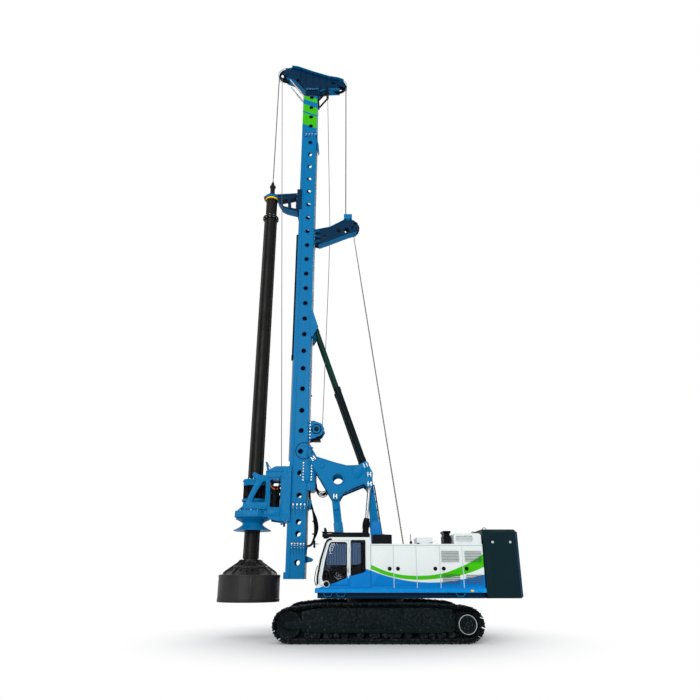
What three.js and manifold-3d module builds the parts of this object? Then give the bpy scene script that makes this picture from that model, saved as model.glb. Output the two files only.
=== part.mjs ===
// Rotary piling rig on crawler tracks: luffing arms, tilting mast, crowd-driven rotary drive and a
// bucket on a kelly bar. Millimetres, +Z up, +X to the front, +Y to the cab side.
// Every piece is drawn in machine places, counted from the slew axis at ground level, and hung in the
// group of the body that carries it, whose origin is that body's pivot.
import * as THREE from "three";
import { mergeVertices } from "three/addons/utils/BufferGeometryUtils.js";
import Module from "manifold-3d";

const wasm = await Module();
wasm.setup();

// ---------------------------------------------------------------- driving dimensions
const SEAT = 0.3; // between pieces that rest on each other
const RUN = 0.3; // radial, between a turning pin and its bore
const DOOR_GAP = 6; // round a door's edge
const ROUND = 12; // sides of a round piece
const FINE = 24; // sides of a large round piece

const TRACK = {
  gauge: 4000, shoeWidth: 900, shoes: 54, grouser: 20, grouserWidth: 36, plate: 30,
  chain: 80, chainWidth: 320, frontX: 2845, frontR: 530, rearX: -2800, rearR: 550,
  crownZ: 1185, crownFrontX: 1760, crownRearX: -1690,
};
const FRAME = {
  width: 400, floorZ: 330, topZ: 860, rearX: -2330, frontX: 2300, rollerR: 110, rollers: 9,
  motorIn: 30, motorOut: 20,
};
const CARBODY = {
  halfX: 1250, halfY: 1150, floorZ: 480, topZ: 1010, ringZ: 1080, axleX: 900, axleHalf: 300, cornerCut: 350,
};
const RING = { outerR: 1000, innerR: 820, topZ: 1280 };
const DECK = {
  frontX: 2070, rearX: -3630, halfY: 1650, floorZ: 1280, skirtZ: 1449, topZ: 1590, frameHalfY: 1450,
};
const BAY = { halfY: 950, plateY: 550, plate: 55, rearX: -600 };
const HOUSE = {
  frontX: 200, rearX: -3600, topZ: 2990, wall: 60, doorDepth: 40, sillZ: 1660, headZ: 2930, lip: 60,
  cornerPost: 25,
};
const SEAMS = [200, -566, -1339, -2126, -2899, -3589];
const COUNTERWEIGHT = { length: 1230, topZ: 3474, chamfer: 200, bevel: 90 };
const CAB = { rearX: 200, frontX: 2040, innerY: 620, outerY: 1620, topZ: 3210, wall: 60, pillarX: 920 };
const ARM = { lean: 6.5, length: 2700 };
const MAST = {
  rearX: 2505, frontX: 3080, railX: 3200, halfY: 450, railY: 120, wall: 30,
  footZ: 1868, lowTopZ: 4340, midTopZ: 21600, topZ: 24050, flange: 60, flangeLip: 45,
};
const KELLY = {
  x: 4520, outerR: 285, flangeR: 360, innerR: 255, bottomZ: 2530, flangeZ: 17200, ringZ: 18150, ring: 85,
  neckR: 130, swivelZ: 18480, topZ: 19200,
};
const BUCKET = {
  r: 1105, wall: 30, floorZ: 1125, gate: 40, shoulderZ: 2010, shoulderR: 935, coneZ: 2120, topR: 355,
};
const DRIVE = {
  gearR: 700, gearZ: 3950, gearTopZ: 4240, damperR: 440, damperZ: 4570, damperTopZ: 5390,
  bore: KELLY.outerR + 27, motorX: 3720, motorY: 280,
};
const CARRIAGE = { floorZ: 3830, topZ: 5830, plateX: 3390, claw: 100 };
const CROWD = { x: 3215, barrelR: 105, rodR: 70, barrelZ: 10350, barrelTopZ: 16300, rodTopZ: 11600 };
const GUIDE = { floorZ: 17420, topZ: 18460, armHalfY: 170, headR: 330, slide: 110, claw: 50 };
const PIN_R = 60;
const AXLE_R = 45; // of a rope wheel or drum
// Inner and outer face of the triangle frame's plates.
const TRI = { y0: MAST.halfY + 90, y1: MAST.halfY + 150 };
const CYL_Y = 380; // from the middle to each luffing or mast cylinder
const EYE_SIDE = 10; // a rod's eye is this much wider than the rod, each side
const EYE_SLACK = 24; // open end of a cylinder linkage: its eye is this much wider than the pin
const LUG = 45;
const BRACKET_PROUD = 5; // the tilt bracket's base stands this far off the mast, clear of the rods' eyes
// Along each cylinder from its foot pin: barrel from s0 to s1, bore from floor, rod from s2.
const LUFF = { r: 108, rodR: 55, s0: 160, s1: 2150, floor: 330, s2: 780, pinR: 45, eyeR: 95, eyePinR: 40 };
const TILT = { r: 130, rodR: 95, s0: 190, s1: 3340, floor: 320, s2: 860, pinR: 60, eyeR: 120, eyePinR: 50 };

const rad = (degrees) => (degrees * Math.PI) / 180;
const lean = { x: Math.sin(rad(ARM.lean)), z: Math.cos(rad(ARM.lean)) };
const from = (p, length) => ({ x: p.x + lean.x * length, z: p.z + lean.z * length });

// Pivots of the luffing gear, in the XZ plane.
const REAR_FOOT = { x: -127, z: 2823 };
const FRONT_FOOT = { x: 1137, z: 2003 };
const REAR_HEAD = from(REAR_FOOT, ARM.length);
const FRONT_HEAD = from(FRONT_FOOT, ARM.length);
const LUFF_FOOT = { x: 487, z: 1800 };
const LUFF_EYE = { x: 174, z: 5142 };
const MAST_PIVOT = { x: 2295, z: 6100 };
const TILT_FOOT = { x: 332, z: 5814 };
const TILT_EYE = { x: 2340, z: 11600 };
const AUX_WINCH = { x: 2208, z: 7298 };
const HEAD_FRONT = { x: KELLY.x - 420, z: MAST.topZ + 1780, r: 420 };
const HEAD_REAR = { x: 1490, z: MAST.topZ + 1050, r: 400 };
const BRACKET_SHEAVE = { x: 790, z: 16670, r: 320 };

// ---------------------------------------------------------------- solids
function solid(geometry) {
  const bare = geometry.index ? geometry.toNonIndexed() : geometry.clone();
  bare.deleteAttribute("normal");
  bare.deleteAttribute("uv");
  const merged = mergeVertices(bare, 1e-3);
  const mesh = { numProp: 3, vertProperties: merged.attributes.position.array };
  const made = new wasm.Manifold(new wasm.Mesh({ ...mesh, triVerts: new Uint32Array(merged.index.array) }));
  if (made.volume() > 0) return made;
  const turned = new Uint32Array(merged.index.array).reverse();
  return new wasm.Manifold(new wasm.Mesh({ ...mesh, triVerts: turned }));
}

const join = (...pieces) => pieces.flat().reduce((whole, piece) => whole.add(piece));
const cut = (piece, ...tools) => tools.flat().reduce((rest, tool) => rest.subtract(tool), piece);

function box(x0, x1, y0, y1, z0, z1) {
  const geometry = new THREE.BoxGeometry(x1 - x0, y1 - y0, z1 - z0);
  return solid(geometry.translate((x0 + x1) / 2, (y0 + y1) / 2, (z0 + z1) / 2));
}

const outline = (points) => new THREE.Shape(points.map(([a, b]) => new THREE.Vector2(a, b)));

// A side outline of [x, z] points, drawn out along Y.
function slab(points, y0, y1, holes = []) {
  const shape = outline(points);
  shape.holes = holes.map(outline);
  const geometry = new THREE.ExtrudeGeometry(shape, { depth: y1 - y0, bevelEnabled: false });
  return solid(geometry.rotateX(Math.PI / 2).translate(0, y1, 0));
}

// A plan outline of [x, y] points, drawn up along Z.
function plan(points, z0, z1) {
  const geometry = new THREE.ExtrudeGeometry(outline(points), { depth: z1 - z0, bevelEnabled: false });
  return solid(geometry.translate(0, 0, z0));
}

// A profile of [r, z] points turned round the upright line through x, y.
function turned(profile, x, y, sides = FINE) {
  const closed = profile.map(([r, z]) => new THREE.Vector2(r, z));
  const geometry = new THREE.LatheGeometry(closed, sides);
  return solid(geometry.rotateX(Math.PI / 2).translate(x, y, 0));
}

// A bore that a pin of radius r turns in, corner against flat.
const boreR = (r, sides = ROUND) => r / Math.cos(Math.PI / sides) + RUN;

const post = (x, y, r, z0, z1, sides = ROUND) =>
  solid(new THREE.CylinderGeometry(r, r, z1 - z0, sides).rotateX(Math.PI / 2).translate(x, y, (z0 + z1) / 2));

// A round piece across the machine, along Y.
const across = (p, r, y0, y1, sides = ROUND) =>
  solid(new THREE.CylinderGeometry(r, r, y1 - y0, sides).translate(p.x, (y0 + y1) / 2, p.z));

// A round piece at one Y that lies in the XZ plane, from s0 to s1 along the line from p to q.
function strut(p, q, y, r, s0, s1, sides = ROUND) {
  const tilt = Math.atan2(q.x - p.x, q.z - p.z);
  const geometry = new THREE.CylinderGeometry(r, r, s1 - s0, sides);
  geometry.translate(0, (s0 + s1) / 2, 0).rotateX(Math.PI / 2).rotateY(tilt);
  return solid(geometry.translate(p.x, y, p.z));
}

const both = (make) => [make(1), make(-1)];
const ranged = (side, a, b) => (side > 0 ? [a, b] : [-b, -a]);
const sides2 = (make) => both((side) => make((a, b) => ranged(side, a, b), side));

function circle(p, r, count = 20) {
  const step = (2 * Math.PI) / count;
  return Array.from({ length: count }, (_, i) => [p.x + r * Math.cos(i * step), p.z + r * Math.sin(i * step)]);
}

// ---------------------------------------------------------------- scene graph
const root = new THREE.Group();
const PAINT = {
  blue: [0x0078be, 0.35, 0.1], deckBlue: [0x008cd7, 0.35, 0.1], white: [0xd6dedd, 0.4, 0.05],
  dark: [0x050e12, 0.6, 0.3], counterweight: [0x193038, 0.45, 0.1], kelly: [0x262626, 0.6, 0.5],
  steel: [0x8f9598, 0.3, 0.9], glass: [0x1c2a30, 0.1, 0.0], seat: [0x1a1a1c, 0.9, 0.0],
};
const materials = Object.fromEntries(
  Object.entries(PAINT).map(([name, [color, roughness, metalness]]) => [
    name,
    new THREE.MeshStandardMaterial({ name, color, roughness, metalness }),
  ]),
);

// A body's group: its origin is its pivot, in machine places.
function body(parent, pivot = { x: 0, z: 0 }, y = 0) {
  const group = new THREE.Group();
  group.userData.pivot = new THREE.Vector3(pivot.x, y, pivot.z);
  const parentPivot = parent.userData.pivot ?? new THREE.Vector3();
  group.position.copy(group.userData.pivot).sub(parentPivot);
  parent.add(group);
  return group;
}

function add(group, name, material, piece) {
  const { vertProperties, triVerts } = piece.getMesh();
  const geometry = new THREE.BufferGeometry();
  geometry.setAttribute("position", new THREE.BufferAttribute(new Float32Array(vertProperties), 3));
  geometry.setIndex(new THREE.BufferAttribute(new Uint32Array(triVerts), 1));
  const flat = geometry.toNonIndexed();
  const { x, y, z } = group.userData.pivot;
  flat.translate(-x, -y, -z);
  flat.computeVertexNormals();
  const mesh = new THREE.Mesh(flat, materials[material]);
  mesh.name = name;
  group.add(mesh);
}

// ---------------------------------------------------------------- undercarriage
// Points along the track's closed run, d inside its outer face, with their outward directions.
function trackRun(d) {
  const front = { x: TRACK.frontX, z: TRACK.frontR, r: TRACK.frontR - d };
  const rear = { x: TRACK.rearX, z: TRACK.rearR, r: TRACK.rearR - d };
  const touch = (c, x) => {
    const dx = x - c.x;
    const dz = TRACK.crownZ - d - c.z;
    const turn = Math.acos(c.r / Math.hypot(dx, dz));
    return Math.atan2(dz, dx) + (dx < 0 ? -turn : turn);
  };
  const points = [];
  const arc = (c, a0, a1, steps) => {
    for (let i = 0; i <= steps; i++) {
      const a = a0 + ((a1 - a0) * i) / steps;
      points.push([c.x + c.r * Math.cos(a), c.z + c.r * Math.sin(a)]);
    }
  };
  arc(front, -Math.PI / 2, touch(front, TRACK.crownFrontX), 12);
  points.push([TRACK.crownFrontX, TRACK.crownZ - d], [TRACK.crownRearX, TRACK.crownZ - d]);
  arc(rear, touch(rear, TRACK.crownRearX), (3 * Math.PI) / 2, 12);
  return points;
}

// The run walked in equal steps: a raised bar on each shoe, flat plate between.
function shoeOutline() {
  const run = trackRun(TRACK.grouser);
  const curve = new THREE.CurvePath();
  const corner = ([x, z]) => new THREE.Vector2(x, z);
  run.forEach((p, i) => curve.add(new THREE.LineCurve(corner(p), corner(run[(i + 1) % run.length]))));
  const length = curve.getLength();
  const points = [];
  for (let i = 0; i < TRACK.shoes; i++) {
    const s = (i / TRACK.shoes) * length;
    const a = curve.getPointAt(Math.max(0, s / length));
    const b = curve.getPointAt(Math.min(1, (s + TRACK.grouserWidth) / length));
    const out = new THREE.Vector2(b.y - a.y, a.x - b.x).setLength(TRACK.grouser);
    points.push([a.x, a.y], [a.x + out.x, a.y + out.y], [b.x + out.x, b.y + out.y], [b.x, b.y]);
  }
  return points;
}

const PLATE_IN = TRACK.grouser + TRACK.plate;
const CHAIN_IN = PLATE_IN + TRACK.chain;
const WHEEL_SLACK = 8; // between a wheel and the chain that bends round it

function track(y) {
  const half = TRACK.shoeWidth / 2;
  const chainHalf = TRACK.chainWidth / 2;
  const plates = slab(shoeOutline(), y - half, y + half, [trackRun(PLATE_IN)]);
  const chain = slab(trackRun(PLATE_IN - 8), y - chainHalf, y + chainHalf, [trackRun(CHAIN_IN)]);
  return join(plates, chain);
}

function trackFrame(y) {
  const half = FRAME.width / 2;
  const inward = -Math.sign(y);
  const [plate0, plate1] = ranged(inward, half - FRAME.motorIn, half + FRAME.motorOut);
  const beam = slab(
    [[FRAME.rearX, FRAME.floorZ], [FRAME.frontX, FRAME.floorZ], [FRAME.frontX, 640], [2050, FRAME.topZ],
      [-2100, FRAME.topZ], [FRAME.rearX, 720]],
    y - half, y + half);
  const idler = { x: TRACK.frontX, z: TRACK.frontR };
  const idlerR = TRACK.frontR - CHAIN_IN - WHEEL_SLACK;
  const fork = both((s) => {
    const [y0, y1] = ranged(s, 110, 170);
    return slab([[2150, 400], [2900, 430], [2980, 530], [2900, 630], [2150, 640]], y + y0, y + y1);
  });
  const wheel = join(across(idler, idlerR, y - 75, y + 75, FINE), across(idler, 90, y - 170, y + 170));
  const rollers = Array.from({ length: FRAME.rollers }, (_, i) => {
    const x = -1960 + (i * (1960 + 2080)) / (FRAME.rollers - 1);
    return across({ x, z: CHAIN_IN + SEAT + FRAME.rollerR }, FRAME.rollerR, y - 130, y + 130);
  });
  const carriers = [-850, 950].map((x) => {
    const r = 85;
    const z = TRACK.crownZ - CHAIN_IN - SEAT - r;
    const stand = box(x - 60, x + 60, y - 60, y + 60, FRAME.topZ - 20, z);
    return join(across({ x, z }, r, y - 110, y + 110), stand);
  });
  const motorPlate = slab(
    [[-2960, 420], [FRAME.rearX + 60, FRAME.floorZ], [FRAME.rearX + 60, 820], [-2960, 700]],
    y + plate0, y + plate1);
  return join(beam, fork, wheel, rollers, carriers, motorPlate);
}

function sprocket(y) {
  const centre = { x: TRACK.rearX, z: TRACK.rearR };
  const wheelR = TRACK.rearR - CHAIN_IN - WHEEL_SLACK;
  const outward = Math.sign(y);
  const [hub0, hub1] = ranged(outward, SEAT + FRAME.motorIn - FRAME.width / 2, 330);
  const [ring0, ring1] = ranged(outward, 270, 370);
  return join(
    across(centre, wheelR, y - 55, y + 55, FINE),
    across(centre, 230, y + hub0, y + hub1),
    across(centre, 290, y + ring0, y + ring1));
}

function carbody() {
  const { halfX, halfY, floorZ, topZ, ringZ, axleX, axleHalf, cornerCut } = CARBODY;
  const core = plan(
    [[halfX, halfY - cornerCut], [halfX - cornerCut, halfY], [cornerCut - halfX, halfY],
      [-halfX, halfY - cornerCut], [-halfX, cornerCut - halfY], [cornerCut - halfX, -halfY],
      [halfX - cornerCut, -halfY], [halfX, cornerCut - halfY]],
    floorZ, topZ);
  const reach = TRACK.gauge / 2 - FRAME.width / 2 - SEAT;
  const axles = [axleX, -axleX].map((x) => box(x - axleHalf, x + axleHalf, -reach, reach, 520, 880));
  return join(core, axles, post(0, 0, RING.outerR + 80, topZ - 20, ringZ, FINE));
}

const undercarriage = body(root);
add(undercarriage, "carbody", "blue", carbody());
add(undercarriage, "slew_ring", "steel", turned(
  [[RING.innerR, CARBODY.ringZ + SEAT], [RING.outerR, CARBODY.ringZ + SEAT], [RING.outerR, RING.topZ - SEAT],
    [RING.innerR, RING.topZ - SEAT], [RING.innerR, CARBODY.ringZ + SEAT]], 0, 0));
for (const [side, y] of [["left", TRACK.gauge / 2], ["right", -TRACK.gauge / 2]]) {
  add(undercarriage, "track_" + side, "dark", track(y));
  add(undercarriage, "track_frame_" + side, "dark", trackFrame(y));
  add(undercarriage, "sprocket_" + side, "dark", sprocket(y));
}

// ---------------------------------------------------------------- upperstructure
const PLATE_OUT = BAY.plateY + BAY.plate;

function deck() {
  const { frontX, rearX, halfY, floorZ, skirtZ, topZ, frameHalfY } = DECK;
  const frame = box(rearX + 30, frontX - 80, -frameHalfY, frameHalfY, floorZ, skirtZ + 1);
  const skirt = box(rearX, frontX, -halfY, halfY, skirtZ, topZ);
  const armPlate = [[-560, topZ - 30], [1440, topZ - 30], [1330, 2060], [1180, 2190], [980, 2190], [500, 2330],
    [100, 2940], [-40, 3010], [-220, 3010], [-330, 2900], [-360, 2700]];
  const plates = sides2((r) => slab(armPlate, ...r(BAY.plateY, PLATE_OUT)));
  const lug = [[270, topZ - 30], [700, topZ - 30], [590, 1840], [530, 1900], [444, 1900], [384, 1840]];
  const eye = LUFF.rodR + EYE_SIDE + SEAT;
  const lugs = sides2((r) => [
    slab(lug, ...r(CYL_Y - eye - LUG, CYL_Y - eye)),
    slab(lug, ...r(CYL_Y + eye, CYL_Y + eye + LUG)),
  ]);
  const bores = [
    across(REAR_FOOT, boreR(PIN_R), -700, 700),
    across(FRONT_FOOT, boreR(PIN_R), -700, 700),
    across(LUFF_FOOT, boreR(LUFF.pinR), -500, 500),
  ];
  return cut(join(frame, skirt, plates, lugs.flat()), bores);
}

function engineHouse() {
  const { frontX, rearX, topZ, wall, doorDepth, sillZ, headZ, lip, cornerPost } = HOUSE;
  const halfY = DECK.halfY;
  const floorZ = DECK.topZ + SEAT;
  const inner = halfY - doorDepth - wall;
  const shell = box(rearX, frontX, -halfY, halfY, floorZ, topZ);
  const bay = box(BAY.rearX, frontX + 1, -BAY.halfY, BAY.halfY, floorZ - 1, topZ + 1);
  const hall = box(rearX + wall, BAY.rearX - wall, -inner, inner, floorZ - 1, topZ - wall);
  const pods = sides2((r) =>
    box(BAY.rearX - wall - 1, frontX - wall, ...r(BAY.halfY + wall, inner), floorZ - 1, topZ - wall));
  const recess = (x0, x1, s) => [
    box(x0 + lip, x1 - lip, ...ranged(s, inner - 1, halfY + 1), sillZ + lip, headZ - lip),
    box(x0, x1, ...ranged(s, halfY - doorDepth - SEAT, halfY + 1), sillZ, headZ),
  ];
  const leftDoors = SEAMS.slice(1).map((x, i) => recess(x, SEAMS[i] - (i ? 0 : cornerPost), 1));
  const rightDoors = [1, 2].map((i) => recess(SEAMS[i + 1], SEAMS[i], -1));
  const slot = box(-1150, -850, -90, 90, topZ - wall - 1, topZ + 1);
  const hoods = [
    slab([[-3590, topZ - 20], [-3590, 3280], [-3530, 3340], [-2720, 3340], [-2660, 3280], [-2660, topZ - 20]],
      -1250, 1600),
    box(-1950, -1400, 500, 1450, topZ - 20, 3210),
  ];
  return cut(join(cut(shell, bay, hall, pods), hoods), leftDoors.flat(), rightDoors.flat(), slot);
}

function door(i, side) {
  const { doorDepth, sillZ, headZ, cornerPost } = HOUSE;
  const half = DOOR_GAP / 2;
  const x1 = SEAMS[i] - half - (i || side < 0 ? 0 : cornerPost);
  const y = ranged(side, DECK.halfY - doorDepth, DECK.halfY);
  return box(SEAMS[i + 1] + half, x1, ...y, sillZ + half, headZ - half);
}

function counterweight() {
  const front = DECK.rearX - SEAT;
  const rear = front - COUNTERWEIGHT.length;
  const { topZ, chamfer, bevel } = COUNTERWEIGHT;
  const z0 = DECK.floorZ;
  const half = DECK.halfY;
  const block = plan(
    [[front, half - bevel], [front - bevel, half], [rear + chamfer, half], [rear, half - chamfer],
      [rear, chamfer - half], [rear + chamfer, -half], [front - bevel, -half], [front, bevel - half]], z0, topZ);
  const side = slab(
    [[front, z0], [front, topZ], [rear + bevel, topZ], [rear, topZ - bevel], [rear, z0 + bevel],
      [rear + bevel, z0]],
    -half, half);
  const end = outline([[-half, z0 + bevel], [-half, topZ - bevel], [bevel - half, topZ], [half - bevel, topZ],
    [half, topZ - bevel], [half, z0 + bevel], [half - bevel, z0], [bevel - half, z0]]);
  const long = new THREE.ExtrudeGeometry(end, { depth: front - rear, bevelEnabled: false });
  const alongX = new THREE.Matrix4().makeBasis(
    new THREE.Vector3(0, 1, 0), new THREE.Vector3(0, 0, 1), new THREE.Vector3(1, 0, 0));
  const liftPockets = sides2((r) => box(front - 700, front - 500, ...r(900, 1060), topZ - 40, topZ + 1));
  const ends = solid(long.applyMatrix4(alongX).translate(rear, 0, 0));
  return cut(block.intersect(side).intersect(ends), liftPockets);
}

// The cab's side outline, with its front pulled in by d.
function cabFront(d) {
  const c = CAB.frontX;
  return [[c - d, 1650 + d], [c - d, 1950], [c - 100 - d, 2500], [c - 270 - d, 3040],
    [c - 340 - d, 3150 - d / 2], [c - 460 - d, CAB.topZ - d]];
}

function cabOutline(d) {
  const floorZ = DECK.topZ + SEAT;
  return [[CAB.rearX + d, floorZ + d], [CAB.frontX - 60 - d, floorZ + d], ...cabFront(d),
    [CAB.rearX + d, CAB.topZ - d]];
}

const DOOR = { rearX: CAB.pillarX + 20, sillZ: 1680, headZ: 3110, thick: 40 };
// The door's outline, d inside its opening in the cab side.
const cabDoorOutline = (d) => [
  [DOOR.rearX + d, DOOR.sillZ + d], [CAB.frontX - 130 - d, DOOR.sillZ + d], [CAB.frontX - 125 - d, 1950],
  [CAB.frontX - 225 - d, 2500], [CAB.frontX - 395 - d, DOOR.headZ - d], [DOOR.rearX + d, DOOR.headZ - d]];
const windowOutline = (d) => [
  [DOOR.rearX + 70 + d, 1990 + d], [CAB.frontX - 215 - d, 1880 + d], [CAB.frontX - 215 - d, 1960],
  [CAB.frontX - 310 - d, 2480], [CAB.frontX - 470 - d, 3040 - d], [DOOR.rearX + 70 + d, 3040 - d]];
const QUARTER = (d) => [[390 + d, 2170 + d], [860 - d, 2060 + d], [860 - d, 3050 - d], [390 + d, 3050 - d]];
const RIGHT_WINDOW = (d) => [
  [390 + d, 2170 + d], [1600 - d, 2000 + d], [1500 - d, 3040 - d], [390 + d, 3040 - d]];
const SCREEN = { y0: 705, y1: 1535, z0: 1760, z1: 3030 };
const PANE = 10;

function cabShell() {
  const { innerY, outerY, wall } = CAB;
  const inside = slab(cabOutline(wall), innerY + wall, outerY - wall);
  const doorway = cabDoorOutline(40);
  const screen = box(1500, 2100, SCREEN.y0, SCREEN.y1, SCREEN.z0, SCREEN.z1);
  return cut(
    slab(cabOutline(0), innerY, outerY), inside, screen,
    slab(doorway, outerY - wall - 1, outerY + 1),
    slab(cabDoorOutline(0), outerY - DOOR.thick - SEAT, outerY + 1),
    slab(QUARTER(0), outerY - wall - 1, outerY + 1),
    slab(RIGHT_WINDOW(0), innerY - 1, innerY + wall + 1));
}

function windshield() {
  const front = cabFront(15);
  const back = cabFront(15 + PANE).reverse();
  const band = slab([...front, ...back], SCREEN.y0 + SEAT, SCREEN.y1 - SEAT);
  return band.intersect(box(1500, 2100, 0, 2000, SCREEN.z0 + SEAT, SCREEN.z1 - SEAT));
}

function operatorSeat() {
  const y = (CAB.innerY + CAB.outerY) / 2;
  const floorZ = DECK.topZ + SEAT + CAB.wall + SEAT;
  return join(
    box(720, 1120, y - 170, y + 170, floorZ, 2000),
    slab([[640, 1990], [1230, 1990], [1260, 2080], [1220, 2130], [640, 2110]], y - 250, y + 250),
    slab([[540, 2020], [700, 2020], [600, 2760], [500, 2860], [440, 2760]], y - 240, y + 240),
    [y - 360, y + 260].map((y0) =>
      slab([[640, 1960], [1340, 1960], [1400, 2260], [1300, 2290], [700, 2240]], y0, y0 + 100)),
    box(700, 1060, y - 340, y + 340, 1960, 2020));
}

function roofGuard() {
  const z0 = CAB.topZ + SEAT;
  const y0 = CAB.innerY + 60;
  const y1 = CAB.outerY - 60;
  const x1 = CAB.frontX - 500;
  const rim = cut(box(240, x1, y0, y1, z0 + 80, 3370), box(290, x1 - 50, y0 + 50, y1 - 50, z0, 3400));
  const bars = Array.from({ length: 5 }, (_, i) => {
    const y = y0 + ((i + 1) * (y1 - y0)) / 6;
    return box(250, x1 - 10, y - 15, y + 15, z0 + 110, 3350);
  });
  const feet = [260, x1 - 70].map((x) => [y0, y1 - 50].map((y) => box(x, x + 50, y, y + 50, z0, 3340)));
  return join(rim, bars, feet.flat());
}

function fuelTank() {
  const y1 = -(PLATE_OUT + 95);
  const z0 = DECK.topZ + SEAT;
  return join(
    slab([[320, z0], [1560, z0], [1560, 2420], [1500, 2480], [320, 2480]], -DECK.halfY + 20, y1),
    box(1550, 1960, -DECK.halfY + 20, y1 - 200, z0, 1900),
    post(900, y1 - 400, 90, 2470, 2540, 20));
}

function engineBlock() {
  const z0 = DECK.topZ + SEAT;
  const block = box(-3200, -2150, -420, 420, z0 + 160, 2450);
  const flywheel = box(-2150, -1900, -300, 300, z0 + 260, 2250);
  const feet = [-3000, -2400].map((x) => box(x, x + 160, -560, 560, z0, z0 + 260));
  return join(block, flywheel, feet, post(-2700, 0, 200, 2440, 2620, FINE));
}

function mainWinch() {
  const z0 = DECK.topZ + SEAT;
  const centre = { x: -1300, z: 2120 };
  return join(across(centre, 290, -420, 420), across(centre, 90, -560, 560),
    sides2((r) => join(across(centre, 400, ...r(420, 460)), slab(
      [[-1720, z0], [-880, z0], [-1100, 2300], [-1500, 2300]], ...r(500, 540)))));
}

function exhaustBox() {
  const z0 = HOUSE.topZ + SEAT;
  return join(box(-2640, -2300, 620, 1380, z0, 3290), post(-2480, 1000, 90, 3280, 3440, FINE));
}

function airBox() {
  const z0 = HOUSE.topZ + SEAT;
  const edge = 40;
  const side = [[-535, z0], [118, z0], [118, 3300 - edge], [118 - edge, 3300], [edge - 535, 3300],
    [-535, 3300 - edge]];
  return slab(side, BAY.halfY + 60, DECK.halfY - 60);
}

const upper = body(undercarriage);
add(upper, "deck", "deckBlue", deck());
add(upper, "engine_house", "white", engineHouse());
add(upper, "counterweight", "counterweight", counterweight());
add(upper, "cab_shell", "white", cabShell());
add(upper, "windshield", "glass", windshield());
add(upper, "quarter_glass", "glass", slab(QUARTER(SEAT), CAB.outerY - 22 - PANE, CAB.outerY - 22));
add(upper, "cab_right_glass", "glass", slab(RIGHT_WINDOW(SEAT), CAB.innerY + 22, CAB.innerY + 22 + PANE));
add(upper, "operator_seat", "seat", operatorSeat());
add(upper, "cab_roof_guard", "dark", roofGuard());
add(upper, "fuel_tank", "white", fuelTank());
add(upper, "engine_block", "dark", engineBlock());
add(upper, "main_winch", "dark", mainWinch());
add(upper, "exhaust_box", "dark", exhaustBox());
add(upper, "air_box", "dark", airBox());

const cabDoor = body(upper, { x: DOOR.rearX, z: 0 }, CAB.outerY);
const doorPanel = slab(cabDoorOutline(DOOR_GAP), CAB.outerY - DOOR.thick, CAB.outerY, [windowOutline(0)]);
add(cabDoor, "cab_door", "white", doorPanel);
add(cabDoor, "door_glass", "glass", slab(windowOutline(SEAT), CAB.outerY - 22 - PANE, CAB.outerY - 22));

const HINGE_SEAM = [0, 2, 2, 4, 5];
HINGE_SEAM.forEach((seam, i) => {
  const hung = body(upper, { x: SEAMS[seam], z: 0 }, DECK.halfY);
  add(hung, "left_door_" + (i + 1), "white", door(i, 1));
});
[1, 2].forEach((i) => {
  const hung = body(upper, { x: SEAMS[2], z: 0 }, -DECK.halfY);
  add(hung, "right_door_" + i, "white", door(i, -1));
});

// ---------------------------------------------------------------- luffing gear

// A tapering arm from foot to head, its half widths at each end.
function armOutline(foot, head, wide, narrow) {
  const n = { x: lean.z, z: -lean.x };
  return [[foot.x - n.x * wide, foot.z - n.z * wide], [foot.x + n.x * wide, foot.z + n.z * wide],
    [head.x + n.x * narrow, head.z + n.z * narrow], [head.x - n.x * narrow, head.z - n.z * narrow]];
}

function rearArm() {
  const half = 220;
  return join(
    slab(armOutline(REAR_FOOT, REAR_HEAD, 190, 105), -half, half),
    across(REAR_FOOT, 190, -half, half), across(REAR_HEAD, 120, -half, half),
    across(REAR_FOOT, 120, SEAT - BAY.plateY, BAY.plateY - SEAT),
    across(REAR_FOOT, PIN_R, -PLATE_OUT, PLATE_OUT),
    across(REAR_HEAD, 95, SEAT - TRI.y0, TRI.y0 - SEAT), across(REAR_HEAD, PIN_R, -TRI.y1, TRI.y1));
}

function frontArm() {
  const legs = sides2((r) => join(
    slab(armOutline(FRONT_FOOT, FRONT_HEAD, 150, 140), ...r(360, 520)),
    across(FRONT_FOOT, 150, ...r(360, 520)), across(FRONT_HEAD, 140, ...r(360, 520)),
    across(FRONT_FOOT, 110, ...r(500, BAY.plateY - SEAT)), across(FRONT_FOOT, PIN_R, ...r(500, PLATE_OUT)),
    across(FRONT_HEAD, 80, ...r(500, TRI.y0 - SEAT)), across(FRONT_HEAD, PIN_R, ...r(500, TRI.y1))));
  const web = slab(armOutline(from(FRONT_FOOT, 700), from(FRONT_FOOT, 1900), 40, 40), -380, 380);
  return join(legs, web);
}

function triangleFrame() {
  const edge = [[2440, 6350], [2274, 6220], [1455, 5960], [1024, 5850], [642, 5860], [300, 5930], [190, 5860],
    [40, 5560], [60, 5380], [110, 5050], [230, 5040], [380, 5170], [1163, 4855], [1280, 4660], [1340, 4570],
    [1443, 4540], [1560, 4600], [2413, 5990]];
  const window = circle({ x: 1354, z: 5342 }, 200, 24);
  const plates = sides2((r) => slab(edge, ...r(TRI.y0, TRI.y1), [window]));
  const pads = [REAR_HEAD, FRONT_HEAD, TILT_FOOT, MAST_PIVOT].map((p) =>
    sides2((r) => across(p, PIN_R + 70, ...r(TRI.y0, TRI.y1))));
  const tube = across({ x: 1979, z: 5861 }, 135, -TRI.y1 + 20, TRI.y1 - 20);
  const stubs = sides2((r) => across(LUFF_EYE, LUFF.eyePinR, ...r(CYL_Y - LUFF.rodR - EYE_SIDE, TRI.y1)));
  const bores = [REAR_HEAD, FRONT_HEAD, TILT_FOOT, MAST_PIVOT].map((p) => across(p, boreR(PIN_R), -700, 700));
  return join(cut(join(plates, pads.flat(), tube), bores), stubs);
}

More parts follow.
